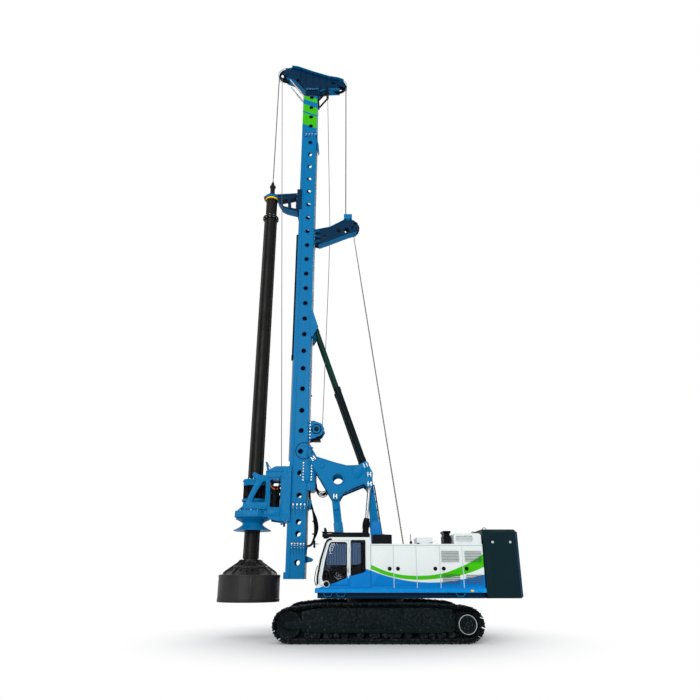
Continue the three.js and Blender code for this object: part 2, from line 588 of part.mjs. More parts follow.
// A pair of cylinder barrels joined by their foot pin, which reaches out to both sides.
function barrels(foot, eye, { r, rodR, s0, s1, floor, pinR }, reach) {
  const half = rodR + EYE_SIDE;
  return join(
    both((side) => cut(
      join(
        strut(foot, eye, side * CYL_Y, r, s0, s1),
        across(foot, pinR * 1.7, side * CYL_Y - half, side * CYL_Y + half),
        strut(foot, eye, side * CYL_Y, half - 5, 0, s0 + 20)),
      strut(foot, eye, side * CYL_Y, rodR + SEAT, floor, s1 + 20))),
    across(foot, pinR, -reach, reach));
}

function cylinderRod(foot, eye, side, { rodR, s2, eyeR, eyePinR }) {
  const length = Math.hypot(eye.x - foot.x, eye.z - foot.z);
  const y = side * CYL_Y;
  const half = rodR + EYE_SIDE;
  return cut(
    join(strut(foot, eye, y, rodR, s2, length - eyeR + 30), across(eye, eyeR, y - half, y + half)),
    across(eye, eyePinR + EYE_SLACK, y - half - 1, y + half + 1));
}

const rearArmBody = body(upper, REAR_FOOT);
add(rearArmBody, "rear_arm", "blue", rearArm());
const frontArmBody = body(upper, FRONT_FOOT);
add(frontArmBody, "front_arm", "blue", frontArm());
const triangle = body(rearArmBody, REAR_HEAD);
add(triangle, "triangle_frame", "blue", triangleFrame());
const luffBarrels = body(upper, LUFF_FOOT);
const luffReach = CYL_Y + LUFF.rodR + EYE_SIDE + LUG;
add(luffBarrels, "luff_barrels", "blue", barrels(LUFF_FOOT, LUFF_EYE, LUFF, luffReach));
const luffRods = body(luffBarrels, LUFF_EYE);
const tiltBarrels = body(triangle, TILT_FOOT);
add(tiltBarrels, "mast_cylinder_barrels", "blue", barrels(TILT_FOOT, TILT_EYE, TILT, TRI.y1));
const tiltRods = body(tiltBarrels, TILT_EYE);
for (const [name, side] of [["left", 1], ["right", -1]]) {
  add(luffRods, "luff_rod_" + name, "steel", cylinderRod(LUFF_FOOT, LUFF_EYE, side, LUFF));
  add(tiltRods, "mast_cylinder_rod_" + name, "dark", cylinderRod(TILT_FOOT, TILT_EYE, side, TILT));
}

// ---------------------------------------------------------------- mast
// A length of mast: box beam with two rails down its front and a flange at each end.
function mastLength(z0, z1, lowFlange, highFlange) {
  const { rearX, frontX, railX, halfY, railY, wall, flange, flangeLip } = MAST;
  const beam = box(rearX, frontX, -halfY, halfY, z0, z1);
  const rails = sides2((r) => box(frontX - 1, railX, ...r(halfY - railY, halfY), z0, z1));
  const collar = (z) => box(rearX - flangeLip, frontX, -halfY, halfY, z, z + flange);
  const hollow = box(rearX + wall, frontX - wall, wall - halfY, halfY - wall, z0 - 1, z1 + 1);
  const ends = [lowFlange && collar(z0), highFlange && collar(z1 - flange)].filter(Boolean);
  return cut(join(beam, rails, ...ends), hollow);
}

function mastHinge() {
  const back = [[MAST.rearX + 10, 6700], [2380, 6560], [2180, 6240], [2150, 6060], [2230, 5930], [2200, 5850],
    [2200, 5020], [2300, 4950], [MAST.rearX + 10, 4950]];
  return [
    slab(back, 20 - MAST.halfY, MAST.halfY - 20),
    across(MAST_PIVOT, 150, SEAT - TRI.y0, TRI.y0 - SEAT),
    across(MAST_PIVOT, PIN_R, -TRI.y1, TRI.y1),
  ];
}

function tiltBracket() {
  const side = [[MAST.rearX + 10, 12360], [2470, 12360], [2250, 11690], [2250, 11510], [2440, 11140],
    [MAST.rearX + 10, 11140]];
  const half = TILT.rodR + EYE_SIDE + SEAT;
  const plates = sides2((r) => [
    slab(side, ...r(CYL_Y - half - LUG, CYL_Y - half)),
    slab(side, ...r(CYL_Y + half, CYL_Y + half + LUG)),
    across(TILT_EYE, TILT.eyePinR, ...r(CYL_Y - half - LUG, CYL_Y + half + LUG)),
  ]);
  const outer = CYL_Y + half + LUG;
  return [plates.flat(), box(MAST.rearX - BRACKET_PROUD, MAST.rearX + 10, -outer, outer, 11140, 12360)].flat();
}

function mastMiddle() {
  const { rearX, frontX, halfY, wall } = MAST;
  const hollow = box(rearX + wall, frontX - wall, wall - halfY, halfY - wall, MAST.lowTopZ, MAST.midTopZ);
  const beam = mastLength(MAST.lowTopZ + SEAT, MAST.midTopZ - SEAT, true, true);
  return join(beam, cut(join(mastHinge(), tiltBracket()), hollow));
}

function mastLower() {
  const foot = box(MAST.frontX, 3270, -MAST.halfY + 30, MAST.halfY - 30, MAST.footZ, 2100);
  const sole = box(MAST.rearX, MAST.frontX + 30, -MAST.halfY, MAST.halfY, MAST.footZ, MAST.footZ + 40);
  const drain = post((MAST.rearX + MAST.frontX) / 2, 0, 60, MAST.footZ - 10, MAST.footZ + 60, 20);
  return cut(join(mastLength(MAST.footZ, MAST.lowTopZ, false, true), foot, sole), drain);
}

const HEAD_PLATE = { y0: 95, y1: 125 };
const BRACKET_PLATE = { y0: 85, y1: 115 };
const WINCH_PLATE = { y0: 300, y1: 340 };
const SHEAVE_HALF = 60;

// The head's outlines, their heights counted from the mast's top.
const onMast = (points) => points.map(([x, z]) => [x, MAST.topZ + z]);

function cathead() {
  const z0 = MAST.topZ + SEAT;
  const foot = box(MAST.rearX - 45, MAST.frontX, -MAST.halfY, MAST.halfY, z0, z0 + 60);
  const neck = slab(
    onMast([[2530, SEAT], [3060, SEAT], [3080, 450], [3120, 610], [2440, 610], [2500, 450]]), -360, 360);
  const side = onMast([[2440, 550], [3120, 550], [3700, 1280], [4200, 1510], [4330, 1650], [4310, 1950],
    [4180, 2170], [3900, 2250], [3560, 2190], [1950, 1510], [1500, 1420], [1210, 1290], [1130, 1050],
    [1200, 850], [1420, 750], [2000, 730]]);
  const plates = sides2((r) => slab(side, ...r(HEAD_PLATE.y0, HEAD_PLATE.y1)));
  const middle = slab(onMast([[2440, 550], [3120, 550], [3520, 1130], [3560, 1850], [2060, 1280], [2010, 800]]),
    -HEAD_PLATE.y0 - 5, HEAD_PLATE.y0 + 5);
  const wing = onMast([[2440, 570], [3120, 570], [3330, 910], [2420, 810]]);
  const wings = sides2((r) => slab(wing, ...r(HEAD_PLATE.y1 - 15, 330)));
  const bores = [HEAD_FRONT, HEAD_REAR].map((p) => across(p, boreR(AXLE_R), -200, 200));
  return cut(join(foot, neck, plates, middle, wings), bores);
}

// A grooved rope wheel, its hub between two plates and its pin through them.
function sheave(p, half, plateY, pinHalf) {
  const { r } = p;
  const profile = [[0, -half], [r, -half], [r - 40, -12], [r - 40, 12], [r, half], [0, half]];
  const wheel = new THREE.LatheGeometry(profile.map(([a, b]) => new THREE.Vector2(a, b)), FINE);
  const hub = across(p, AXLE_R * 2, SEAT - plateY, plateY - SEAT);
  return join(solid(wheel.translate(p.x, 0, p.z)), hub, across(p, AXLE_R, -pinHalf, pinHalf));
}

function ropeBracket() {
  const back = MAST.rearX - SEAT;
  const side = [[back, 15740], [back, 16500], [1800, 16660], [1400, 16900], [1150, 17060], [760, 17060],
    [560, 16900], [480, 16600], [600, 16380], [1000, 16260], [1900, 15860], [2300, 15700]];
  const plates = sides2((r) => slab(side, ...r(BRACKET_PLATE.y0, BRACKET_PLATE.y1)));
  const filler = slab([[back, 15800], [back, 16440], [1780, 16560], [1330, 16700], [1330, 16280]], -90, 90);
  const lampBox = box(860, 1130, -140, 140, 17050, 17340);
  return cut(join(plates, filler, lampBox), across(BRACKET_SHEAVE, boreR(AXLE_R), -200, 200));
}

function auxWinch() {
  const back = MAST.rearX - SEAT;
  const side = [[back, 6900], [back, 7620], [2320, 7640], [2010, 7520], [1890, 7300], [2010, 7080],
    [2320, 6930]];
  const plates = sides2((r) => slab(side, ...r(WINCH_PLATE.y0, WINCH_PLATE.y1)));
  const base = box(2440, back, -WINCH_PLATE.y1, WINCH_PLATE.y1, 6900, 7620);
  return cut(join(plates, base), across(AUX_WINCH, boreR(AXLE_R), -400, 400));
}

function auxDrum() {
  const flanges = sides2((r) => across(AUX_WINCH, 225, ...r(255, 285)));
  const hub = across(AUX_WINCH, AXLE_R * 2, SEAT - WINCH_PLATE.y0, WINCH_PLATE.y0 - SEAT);
  const axle = across(AUX_WINCH, AXLE_R, -WINCH_PLATE.y1, WINCH_PLATE.y1);
  return join(across(AUX_WINCH, 165, -260, 260), flanges, hub, axle);
}

function crowdBarrel() {
  const { x, barrelR, rodR, barrelZ, barrelTopZ } = CROWD;
  const seats = [[10700, 10900], [15900, 16100]].map(([z0, z1]) =>
    box(MAST.frontX + SEAT, x, -150, 150, z0, z1));
  const bore = post(x, 0, rodR + SEAT, barrelZ - 10, barrelTopZ - 80);
  return cut(join(post(x, 0, barrelR, barrelZ, barrelTopZ), seats), bore);
}

const mast = body(triangle, MAST_PIVOT);
add(mast, "mast_lower", "blue", mastLower());
add(mast, "mast_middle", "blue", mastMiddle());
add(mast, "mast_upper", "blue", mastLength(MAST.midTopZ + SEAT, MAST.topZ, true, false));
add(mast, "cathead", "blue", cathead());
add(mast, "rope_bracket", "blue", ropeBracket());
add(mast, "aux_winch", "blue", auxWinch());
add(mast, "crowd_barrel", "dark", crowdBarrel());
for (const [name, p, plate] of [
  ["head_sheave_front", HEAD_FRONT, HEAD_PLATE],
  ["head_sheave_rear", HEAD_REAR, HEAD_PLATE],
  ["bracket_sheave", BRACKET_SHEAVE, BRACKET_PLATE],
]) {
  add(body(mast, p), name, "dark", sheave(p, SHEAVE_HALF, plate.y0, plate.y1));
}
add(body(mast, AUX_WINCH), "aux_winch_drum", "dark", auxDrum());

// ---------------------------------------------------------------- rotary drive and kelly
// A slider on the mast's rails: a plate before them and a claw along each outer side.
function slider(z0, z1, plateX, claw) {
  const face = MAST.railX + SEAT;
  const halfY = MAST.halfY + claw;
  return join(
    box(face, plateX, -halfY, halfY, z0, z1),
    sides2((r) => box(MAST.frontX + 20, face + 1, ...r(MAST.halfY + SEAT, halfY), z0, z1)));
}

function carriage() {
  const { floorZ, topZ, plateX, claw } = CARRIAGE;
  const cheekY = MAST.halfY + 10;
  const cheek = [[plateX - 10, floorZ], [3900, 3900], [3960, 4300], [4000, 5300], [4060, 5390], [4060, 5650],
    [3700, topZ], [plateX - 10, topZ]];
  const opening = [[3480, 4350], [3720, 4350], [3720, 4900], [3480, 5500]];
  const cheeks = sides2((r) => slab(cheek, ...r(cheekY, cheekY + 60), [opening]));
  const beam = box(plateX - 10, 4050, -cheekY - 10, cheekY + 10, 5390, 5650);
  const hosePost = slab([[3960, 5640], [4060, 5640], [4160, 6080], [4090, 6080]], -60, 60);
  const guideSlot = post(KELLY.x, 0, DRIVE.damperR + 30, 5300, 5700, FINE);
  return cut(join(slider(floorZ, topZ, plateX, claw), cheeks, beam, hosePost), guideSlot);
}

function rotaryDrive() {
  const { gearR, gearZ, gearTopZ, damperR, damperZ, damperTopZ, bore, motorX, motorY } = DRIVE;
  const x = KELLY.x;
  const reach = CARRIAGE.plateX + SEAT;
  const stack = turned(
    [[0, gearZ], [gearR, gearZ], [gearR, gearTopZ], [gearR - 120, gearTopZ + 60], [damperR + 60, gearTopZ + 60],
      [damperR - 40, damperZ], [damperR, damperZ], [damperR, damperTopZ], [0, damperTopZ]], x, 0);
  const block = box(reach, x, -MAST.halfY - 5, MAST.halfY + 5, gearZ + 20, gearTopZ + 40);
  const motors = both((side) => join(
    post(motorX, side * motorY, 150, gearTopZ, 4900, FINE),
    post(motorX, side * motorY, 110, 4890, 5120, FINE)));
  return cut(join(stack, block, motors), post(x, 0, bore, gearZ - 10, damperTopZ + 10, FINE));
}

function crowdRod() {
  const z0 = CARRIAGE.topZ + SEAT;
  const eye = box(CROWD.x + 40 - 90, CROWD.x + 130, -90, 90, z0, z0 + 260);
  const slot = box(3000, CROWD.x + 131, -40, 40, z0 + 80, z0 + 170);
  return join(post(CROWD.x, 0, CROWD.rodR, z0 + 200, CROWD.rodTopZ), cut(eye, slot));
}

function driveSleeve() {
  const top = DRIVE.gearZ - SEAT;
  const b = DRIVE.bore;
  const profile = [[b, 3520], [700, 3520], [700, 3600], [430, 3610], [416, 3680], [416, top], [b, top], [b, 3520]];
  return turned(profile, KELLY.x, 0);
}

const HEAD_Z = KELLY.ringZ + KELLY.ring + SEAT; // underside of the guide's head, on the kelly's top ring

function kellyGuide() {
  const { floorZ, topZ, armHalfY, headR, slide, claw } = GUIDE;
  const face = MAST.railX + slide;
  const x = KELLY.x;
  const arm = [[face - 10, floorZ], [3800, 17560], [4020, 17690], [x - KELLY.innerR - 40, KELLY.ringZ - 60],
    [x - 330, HEAD_Z], [x + 300, HEAD_Z], [x + 370, HEAD_Z + 60], [x + 200, HEAD_Z + 140],
    [face - 10, topZ]];
  const windows = [
    [[face + 80, 17640], [3600, 17690], [3640, 18190], [face + 80, 18260]],
    [[3740, 17720], [3960, 17790], [4040, 18110], [3770, 18170]],
  ];
  const head = post(x, 0, headR, HEAD_Z, HEAD_Z + 120, FINE);
  const bore = post(x, 0, boreR(KELLY.neckR), HEAD_Z - 100, topZ + 100);
  return cut(join(slider(floorZ, topZ, face, claw), slab(arm, -armHalfY, armHalfY, windows), head), bore);
}

function kellyBar() {
  const { x, outerR, flangeR, innerR, bottomZ, flangeZ, ringZ, ring, neckR, swivelZ, topZ } = KELLY;
  const tube = turned(
    [[0, bottomZ + SEAT], [outerR, bottomZ + SEAT], [outerR, flangeZ - 80], [flangeR, flangeZ - 60],
      [flangeR, flangeZ + 20], [innerR, flangeZ + 40], [innerR, ringZ], [innerR + 45, ringZ],
      [innerR + 45, ringZ + ring], [0, ringZ + ring]], x, 0);
  const swivel = turned(
    [[0, swivelZ], [neckR + 25, swivelZ], [neckR + 25, swivelZ + 60], [110, swivelZ + 120], [110, 18900],
      [150, 18940], [150, 19060], [60, topZ], [0, topZ]], x, 0, ROUND);
  return join(tube, post(x, 0, neckR, ringZ + ring - 5, swivelZ + 5), swivel);
}

function drillBucket() {
  const { r, wall, floorZ, gate, shoulderZ, shoulderR, coneZ, topR } = BUCKET;
  const z0 = floorZ + gate + SEAT;
  const top = KELLY.bottomZ;
  const shell = turned(
    [[r, z0], [r, shoulderZ], [shoulderR, coneZ], [topR, top - 30], [topR, top], [0, top], [0, top - 60],
      [topR - 20, top - 70], [shoulderR - 20, coneZ - 35], [r - wall, shoulderZ - 20], [r - wall, z0], [r, z0]],
    KELLY.x, 0);
  const gussets = Array.from({ length: 6 }, (_, i) => {
    const rib = slab(
      [[topR - 30, top - 60], [topR - 5, top - 10], [shoulderR + 60, coneZ - 20], [shoulderR - 60, coneZ - 10]],
      -15, 15);
    return rib.rotate([0, 0, 60 * i + 30]).translate([KELLY.x, 0, 0]);
  });
  return join(shell, gussets);
}

function bucketGate() {
  const { r, floorZ, gate } = BUCKET;
  const plate = post(KELLY.x, 0, r, floorZ, floorZ + gate, FINE);
  return cut(plate, plan([[KELLY.x, 80], [KELLY.x + 820, 300], [KELLY.x + 820, 80]], 0, 2000),
    plan([[KELLY.x, -80], [KELLY.x - 820, -300], [KELLY.x - 820, -80]], 0, 2000));
}

const carriageBody = body(mast, { x: MAST.railX, z: CARRIAGE.floorZ });
add(carriageBody, "carriage", "blue", carriage());
add(carriageBody, "rotary_drive", "blue", rotaryDrive());
add(carriageBody, "crowd_rod", "steel", crowdRod());
const sleeve = body(carriageBody, { x: KELLY.x, z: DRIVE.gearZ });
add(sleeve, "drive_sleeve", "blue", driveSleeve());
const guide = body(mast, { x: MAST.railX, z: GUIDE.floorZ });
add(guide, "kelly_guide", "blue", kellyGuide());
const kelly = body(guide, { x: KELLY.x, z: KELLY.ringZ });
add(kelly, "kelly_bar", "kelly", kellyBar());
add(kelly, "drill_bucket", "dark", drillBucket());
const gate = body(kelly, { x: KELLY.x + BUCKET.r, z: BUCKET.floorZ + BUCKET.gate });
add(gate, "bucket_gate", "dark", bucketGate());

// The part's origin lies under the middle of its box.
root.updateMatrixWorld(true);
const bounds = new THREE.Box3().setFromObject(root, true);
root.position.set(-(bounds.min.x + bounds.max.x) / 2, -(bounds.min.y + bounds.max.y) / 2, -bounds.min.z);
const part = new THREE.Group();
part.add(root);

export default part;
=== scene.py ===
"""Rotary piling rig: the finish of every surface and the small pieces that the frame leaves out.

Lengths are in metres. Places are counted from the slew axis at ground level, x to the front and
y to the cab side, and every finished mesh is moved from there into the frame's own places.
"""

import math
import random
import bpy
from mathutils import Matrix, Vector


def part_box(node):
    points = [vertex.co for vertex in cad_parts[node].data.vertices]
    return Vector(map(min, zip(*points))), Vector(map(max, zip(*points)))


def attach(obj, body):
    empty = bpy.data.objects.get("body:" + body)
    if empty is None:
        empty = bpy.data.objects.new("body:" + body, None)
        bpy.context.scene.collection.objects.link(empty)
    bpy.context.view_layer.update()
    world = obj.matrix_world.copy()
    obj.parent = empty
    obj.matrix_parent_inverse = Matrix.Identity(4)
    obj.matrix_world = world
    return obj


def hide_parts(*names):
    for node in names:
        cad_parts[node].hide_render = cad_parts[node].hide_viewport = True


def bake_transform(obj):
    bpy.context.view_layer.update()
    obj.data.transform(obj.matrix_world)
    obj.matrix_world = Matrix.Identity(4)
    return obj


bl_info = {
    "name": "Rotary Piling Rig",
    "version": (1, 0, 0),
    "blender": (4, 5, 0),
    "location": "View3D > Sidebar > Piling Rig",
    "description": "Builds the visible pieces and finishes of a rotary piling rig around its frame",
    "category": "Object",
}

import bmesh
import bpy
from bpy.props import FloatProperty, FloatVectorProperty, IntProperty, PointerProperty
from mathutils import Matrix, Vector

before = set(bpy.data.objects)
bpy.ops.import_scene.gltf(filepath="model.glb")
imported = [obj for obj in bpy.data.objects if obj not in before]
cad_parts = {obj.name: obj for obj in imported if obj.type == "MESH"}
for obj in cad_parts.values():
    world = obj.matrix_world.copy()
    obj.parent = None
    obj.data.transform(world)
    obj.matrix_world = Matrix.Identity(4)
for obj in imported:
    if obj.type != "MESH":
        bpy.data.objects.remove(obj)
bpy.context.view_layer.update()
SLEW_AXIS_X = sum(corner.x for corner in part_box("slew_ring")) / 2
INTO_FRAME = Matrix.Translation((SLEW_AXIS_X, 0, 0))
SIDES = (1, -1)
SHARP = math.radians(32)  # a bend past this is an edge
MERGE = 1e-5


def span(node):
    """The lowest and highest corner of a frame node, counted from the slew axis."""
    low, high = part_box(node)
    shift = Vector((SLEW_AXIS_X, 0, 0))
    return low - shift, high - shift


# ---------------------------------------------------------------- sizes and colours
def colour(name, description, red, green, blue):
    return FloatVectorProperty(
        name=name, description=description, subtype="COLOR", size=3, min=0, max=1,
        default=tuple(linear(part) for part in (red, green, blue)))


def linear(part):
    """One 0 to 255 part of a screen colour as a linear value."""
    share = part / 255
    return share / 12.92 if share <= 0.04045 else ((share + 0.055) / 1.055) ** 2.4


class RigPaint(bpy.types.PropertyGroup):
    """Colours of the rig's finishes."""

    vent: colour("Vent", "Mesh behind the louvres", 84, 100, 102)
    # Painted shade: the blue paint as dark as it looks in shade, for the recessed webs of the head, the
    # bracket and the guide, the frame under the deck skirt, the rear weight's chamfers and the clamp's ring.
    navy: colour("Navy", "Webs of the head, the bracket and the deck", 0, 40, 68)
    blue: colour("Blue", "Mast, arms and drive", 0, 106, 158)
    deck_blue: colour("Deck blue", "Deck skirt and the lower house", 0, 116, 190)
    white: colour("White", "Cab and engine house", 212, 218, 216)
    seam: colour("Seam", "Strips between the house doors", 178, 190, 192)
    green: colour("Green", "Band on the house and the mast top", 58, 176, 6)
    counterweight: colour("Counterweight", "Rear weight", 8, 32, 38)
    dark: colour("Dark paint", "Guards, boxes and winches", 8, 12, 16)
    track: colour("Track steel", "Shoes, chains and side frames", 7, 17, 20)
    kelly: colour("Kelly steel", "Kelly bar", 26, 25, 24)
    bucket: colour("Bucket steel", "Drilling bucket", 46, 45, 45)
    steel: colour("Bright steel", "Bolts and turned rings", 176, 178, 176)
    chrome: colour("Chrome", "Cylinder rods", 150, 156, 158)
    tilt_rod: colour("Rod cover", "Long rods behind the mast", 6, 44, 38)
    barrel: colour("Barrel", "Barrels of the long cylinders", 5, 20, 24)
    blind: colour("Blind", "Pleated blinds in the cab", 92, 116, 148)
    seat: colour("Seat cloth", "Operator's seat", 34, 35, 39)
    yellow: colour("Yellow", "Kelly ring and reflectors", 232, 186, 24)
    orange: colour("Orange", "Hose on the drive", 205, 84, 20)


def length(name, description, default):
    return FloatProperty(name=name, description=description, default=default, unit="LENGTH")


class RigSizes(bpy.types.PropertyGroup):
    """Sizes of the rig's small pieces."""

    shoes: IntProperty(name="Shoes", description="Shoes in one track", default=54, min=12)
    bolt: length("Bolt", "Radius of a bolt's washer", 0.028)
    ease: length("Eased edge", "Width of an eased plate edge", 0.008)
    rope: length("Main rope", "Radius of the main rope", 0.024)
    aux_rope: length("Auxiliary rope", "Radius of the thin rope", 0.015)
    hose: length("Hose", "Radius of a hydraulic hose", 0.026)
    hole: length("Mast hole", "Radius of a hole in the mast", 0.098)


def paint():
    return bpy.context.scene.rig_paint


def sizes():
    return bpy.context.scene.rig_sizes


# ---------------------------------------------------------------- meshes
def put(name, data):
    made = bpy.data.objects.new(name, data)
    bpy.context.scene.collection.objects.link(made)
    return made


def baked(holder):
    """The plain mesh of an object with its modifiers; the object goes."""
    graph = bpy.context.evaluated_depsgraph_get()
    mesh = bpy.data.meshes.new_from_object(holder.evaluated_get(graph))
    bpy.data.objects.remove(holder)
    return mesh


def from_bmesh(work):
    mesh = bpy.data.meshes.new("part")
    work.to_mesh(mesh)
    work.free()
    return mesh


def moved(mesh, matrix):
    mesh.transform(matrix)
    if matrix.determinant() < 0:
        mesh.flip_normals()
    return mesh


def shifted(mesh, x, y, z):
    return moved(mesh, Matrix.Translation((x, y, z)))


def turned_to(direction):
    """The turn that takes +Z to a direction."""
    return Vector((0, 0, 1)).rotation_difference(Vector(direction)).to_matrix().to_4x4()


def box(x0, x1, y0, y1, z0, z1, ease=0.006):
    """A block with eased edges."""
    work = bmesh.new()
    place = Matrix.LocRotScale(((x0 + x1) / 2, (y0 + y1) / 2, (z0 + z1) / 2), None,
                               (x1 - x0, y1 - y0, z1 - z0))
    bmesh.ops.create_cube(work, size=1, matrix=place)
    width = min(ease, (x1 - x0) / 3, (y1 - y0) / 3, (z1 - z0) / 3)
    bmesh.ops.bevel(work, geom=work.edges[:], offset=width, segments=2, profile=0.5, affect="EDGES")
    return from_bmesh(work)


def plate(points, y0, y1, holes=(), ease=0.006):
    """A flat plate: an outline of (x, z) points drawn across from y0 to y1, its edges eased."""
    ease = min(ease, (y1 - y0) / 3)
    curve = bpy.data.curves.new("plate", "CURVE")
    curve.dimensions = "2D"
    curve.fill_mode = "BOTH"
    curve.extrude = (y1 - y0) / 2 - ease
    curve.bevel_depth = ease
    curve.bevel_resolution = 1
    curve.offset = -ease
    for loop in (points, *holes):
        spline = curve.splines.new("POLY")
        spline.points.add(len(loop) - 1)
        for corner, (x, z) in zip(spline.points, loop):
            corner.co = (x, z, 0, 1)
        spline.use_cyclic_u = True
    mesh = baked(put("plate", curve))
    mesh.transform(Matrix.Translation((0, (y0 + y1) / 2, 0)) @ Matrix.Rotation(math.radians(90), 4, "X"))
    return closed(mesh)


def closed(mesh, face_out=True, join_flats=True):
    """The mesh with its seams merged, its flats joined up and its faces pointing out."""
    work = bmesh.new()
    work.from_mesh(mesh)
    bmesh.ops.remove_doubles(work, verts=work.verts, dist=MERGE)
    if join_flats:
        bmesh.ops.dissolve_limit(work, angle_limit=0.01, verts=work.verts, edges=work.edges)
    if face_out:
        bmesh.ops.recalc_face_normals(work, faces=work.faces)
    work.to_mesh(mesh)
    work.free()
    return mesh


def joined(*meshes):
    """Several meshes as one."""
    work = bmesh.new()
    for mesh in flat(*meshes):
        work.from_mesh(mesh)
        bpy.data.meshes.remove(mesh)
    return from_bmesh(work)


def drilled(mesh, cutters):
    """A mesh with cutters taken out of it."""
    tool = put("cutters", joined(cutters))
    holder = put("drilled", mesh)
    modifier = holder.modifiers.new("holes", "BOOLEAN")
    modifier.object = tool
    modifier.solver = "EXACT"
    result = baked(holder)
    bpy.data.objects.remove(tool)
    return result


def across(x, z, y0, y1, radius, sides=32, ease=0.004):
    """A round bar across the machine."""
    return rod((x, y0, z), (x, y1, z), radius, sides, ease)


def upright(points, x0, x1, ease=0.003):
    """A flat plate that stands across the machine: an outline of (y, z) points drawn from x0 to x1."""
    return moved(plate(points, -x1, -x0, ease=ease), Matrix.Rotation(math.radians(90), 4, "Z"))


def mirrored(mesh):
    return moved(mesh, Matrix.Scale(-1, 4, (0, 1, 0)))


def on_side(side, meshes):
    """Meshes made for the cab side, mirrored when side is -1."""
    return flat(meshes) if side > 0 else [mirrored(mesh) for mesh in flat(meshes)]


def both_sides(make):
    """A piece made for the cab side and its mirror image for the other side."""
    return [make(), mirrored(make())]


def arc(x, z, radius, start, end, steps=8):
    """(x, z) points of an arc, its angles in degrees from +x towards +z."""
    turns = [math.radians(start + (end - start) * i / steps) for i in range(steps + 1)]
    return [(x + radius * math.cos(turn), z + radius * math.sin(turn)) for turn in turns]


def ring_of(x, z, radius, steps=32):
    return arc(x, z, radius, 0, 360, steps)[:-1]


def rounded(points, radius, steps=4):
    """An outline with each corner turned into a short arc; radius is one size or one for each corner."""
    count = len(points)
    radii = radius if isinstance(radius, (list, tuple)) else [radius] * count
    result = []
    for i, corner in enumerate(points):
        here, before, after = Vector(corner), Vector(points[i - 1]), Vector(points[(i + 1) % count])
        back, ahead = before - here, after - here
        reach = min(radii[i], back.length * 0.48, ahead.length * 0.48)
        if reach < 1e-4:
            result.append(tuple(here))
            continue
        a, b = here + back.normalized() * reach, here + ahead.normalized() * reach
        for step in range(steps + 1):
            t = step / steps
            result.append(tuple(a * (1 - t) ** 2 + here * 2 * t * (1 - t) + b * t * t))
    return result


def inset(points, distance):
    """An outline pulled in by a distance along each corner's bisector; it runs anticlockwise."""
    result = []
    for i, corner in enumerate(points):
        here, before, after = Vector(corner), Vector(points[i - 1]), Vector(points[(i + 1) % len(points)])
        one, two = (here - before).normalized(), (after - here).normalized()
        inward = Vector((-one.y - two.y, one.x + two.x))
        share = max(0.3, 1 + one.dot(two))
        result.append(tuple(here + inward * distance / share))
    return result


def turned(profile, centre, axis=(0, 0, 1), sides=40):
    """A profile of (radius, height) points spun round an axis through centre."""
    work = bmesh.new()
    loop = profile[0] == profile[-1]
    rows = []
    for radius, height in profile[:-1] if loop else profile:
        if radius < 1e-6:
            rows.append([work.verts.new((0, 0, height))] * sides)
            continue
        turns = [2 * math.pi * i / sides for i in range(sides)]
        rows.append([work.verts.new((radius * math.cos(a), radius * math.sin(a), height)) for a in turns])
    pairs = list(zip(rows, rows[1:])) + ([(rows[-1], rows[0])] if loop else [])
    for low, high in pairs:
        for i in range(sides):
            j = (i + 1) % sides
            corners = [low[i], low[j], high[j], high[i]]
            unique = [c for k, c in enumerate(corners) if c not in corners[:k]]
            if len(unique) > 2:
                work.faces.new(unique)
    bmesh.ops.recalc_face_normals(work, faces=work.faces)
    return moved(from_bmesh(work), Matrix.Translation(centre) @ turned_to(axis))


def rod(start, end, radius, sides=24, ease=0.006):
    """A round bar between two points, with eased ends."""
    start, end = Vector(start), Vector(end)
    length = (end - start).length
    ease = min(ease, radius / 3, length / 3)
    profile = [(0, 0), (radius - ease, 0), (radius, ease), (radius, length - ease),
               (radius - ease, length), (0, length)]
    return turned(profile, start, (end - start).normalized(), sides)


def ring(centre, axis, inner, outer, height, sides=40):
    """A turned ring standing on centre."""
    e = min(0.004, height / 3, (outer - inner) / 3)
    profile = [(inner, 0), (outer - e, 0), (outer, e), (outer, height - e), (outer - e, height),
               (inner + e, height),
               (inner, height - e), (inner, 0)]
    return turned(profile, centre, axis, sides)


def hose(points, radius, sides=10, smooth=6, loop=False):
    """A round line through points, one smooth curve with closed ends."""
    curve = bpy.data.curves.new("hose", "CURVE")
    curve.dimensions = "3D"
    curve.bevel_depth = radius
    curve.bevel_resolution = max(1, sides // 4 - 1)
    curve.use_fill_caps = not loop
    curve.resolution_u = smooth
    spline = curve.splines.new("BEZIER" if smooth > 1 else "POLY")
    knots = spline.bezier_points if smooth > 1 else spline.points
    knots.add(len(points) - 1)
    for knot, point in zip(knots, points):
        knot.co = (*point, 1)[: len(knot.co)]
        if smooth > 1:
            knot.handle_left_type = knot.handle_right_type = "AUTO"
    spline.use_cyclic_u = loop
    return closed(baked(put("hose", curve)), join_flats=False)


def loft(sections, cap=True):
    """A skin through sections of equally many points."""
    work = bmesh.new()
    rows = [[work.verts.new(point) for point in section] for section in sections]
    count = len(rows[0])
    for low, high in zip(rows, rows[1:]):
        for i in range(count):
            work.faces.new([low[i], low[(i + 1) % count], high[(i + 1) % count], high[i]])
    if cap:
        work.faces.new(rows[0])
        work.faces.new(rows[-1])
    bmesh.ops.recalc_face_normals(work, faces=work.faces)
    return from_bmesh(work)


def flat(*meshes):
    """Meshes and lists of meshes as one list."""
    return [m for group in meshes for m in (flat(*group) if isinstance(group, (list, tuple)) else [group])]


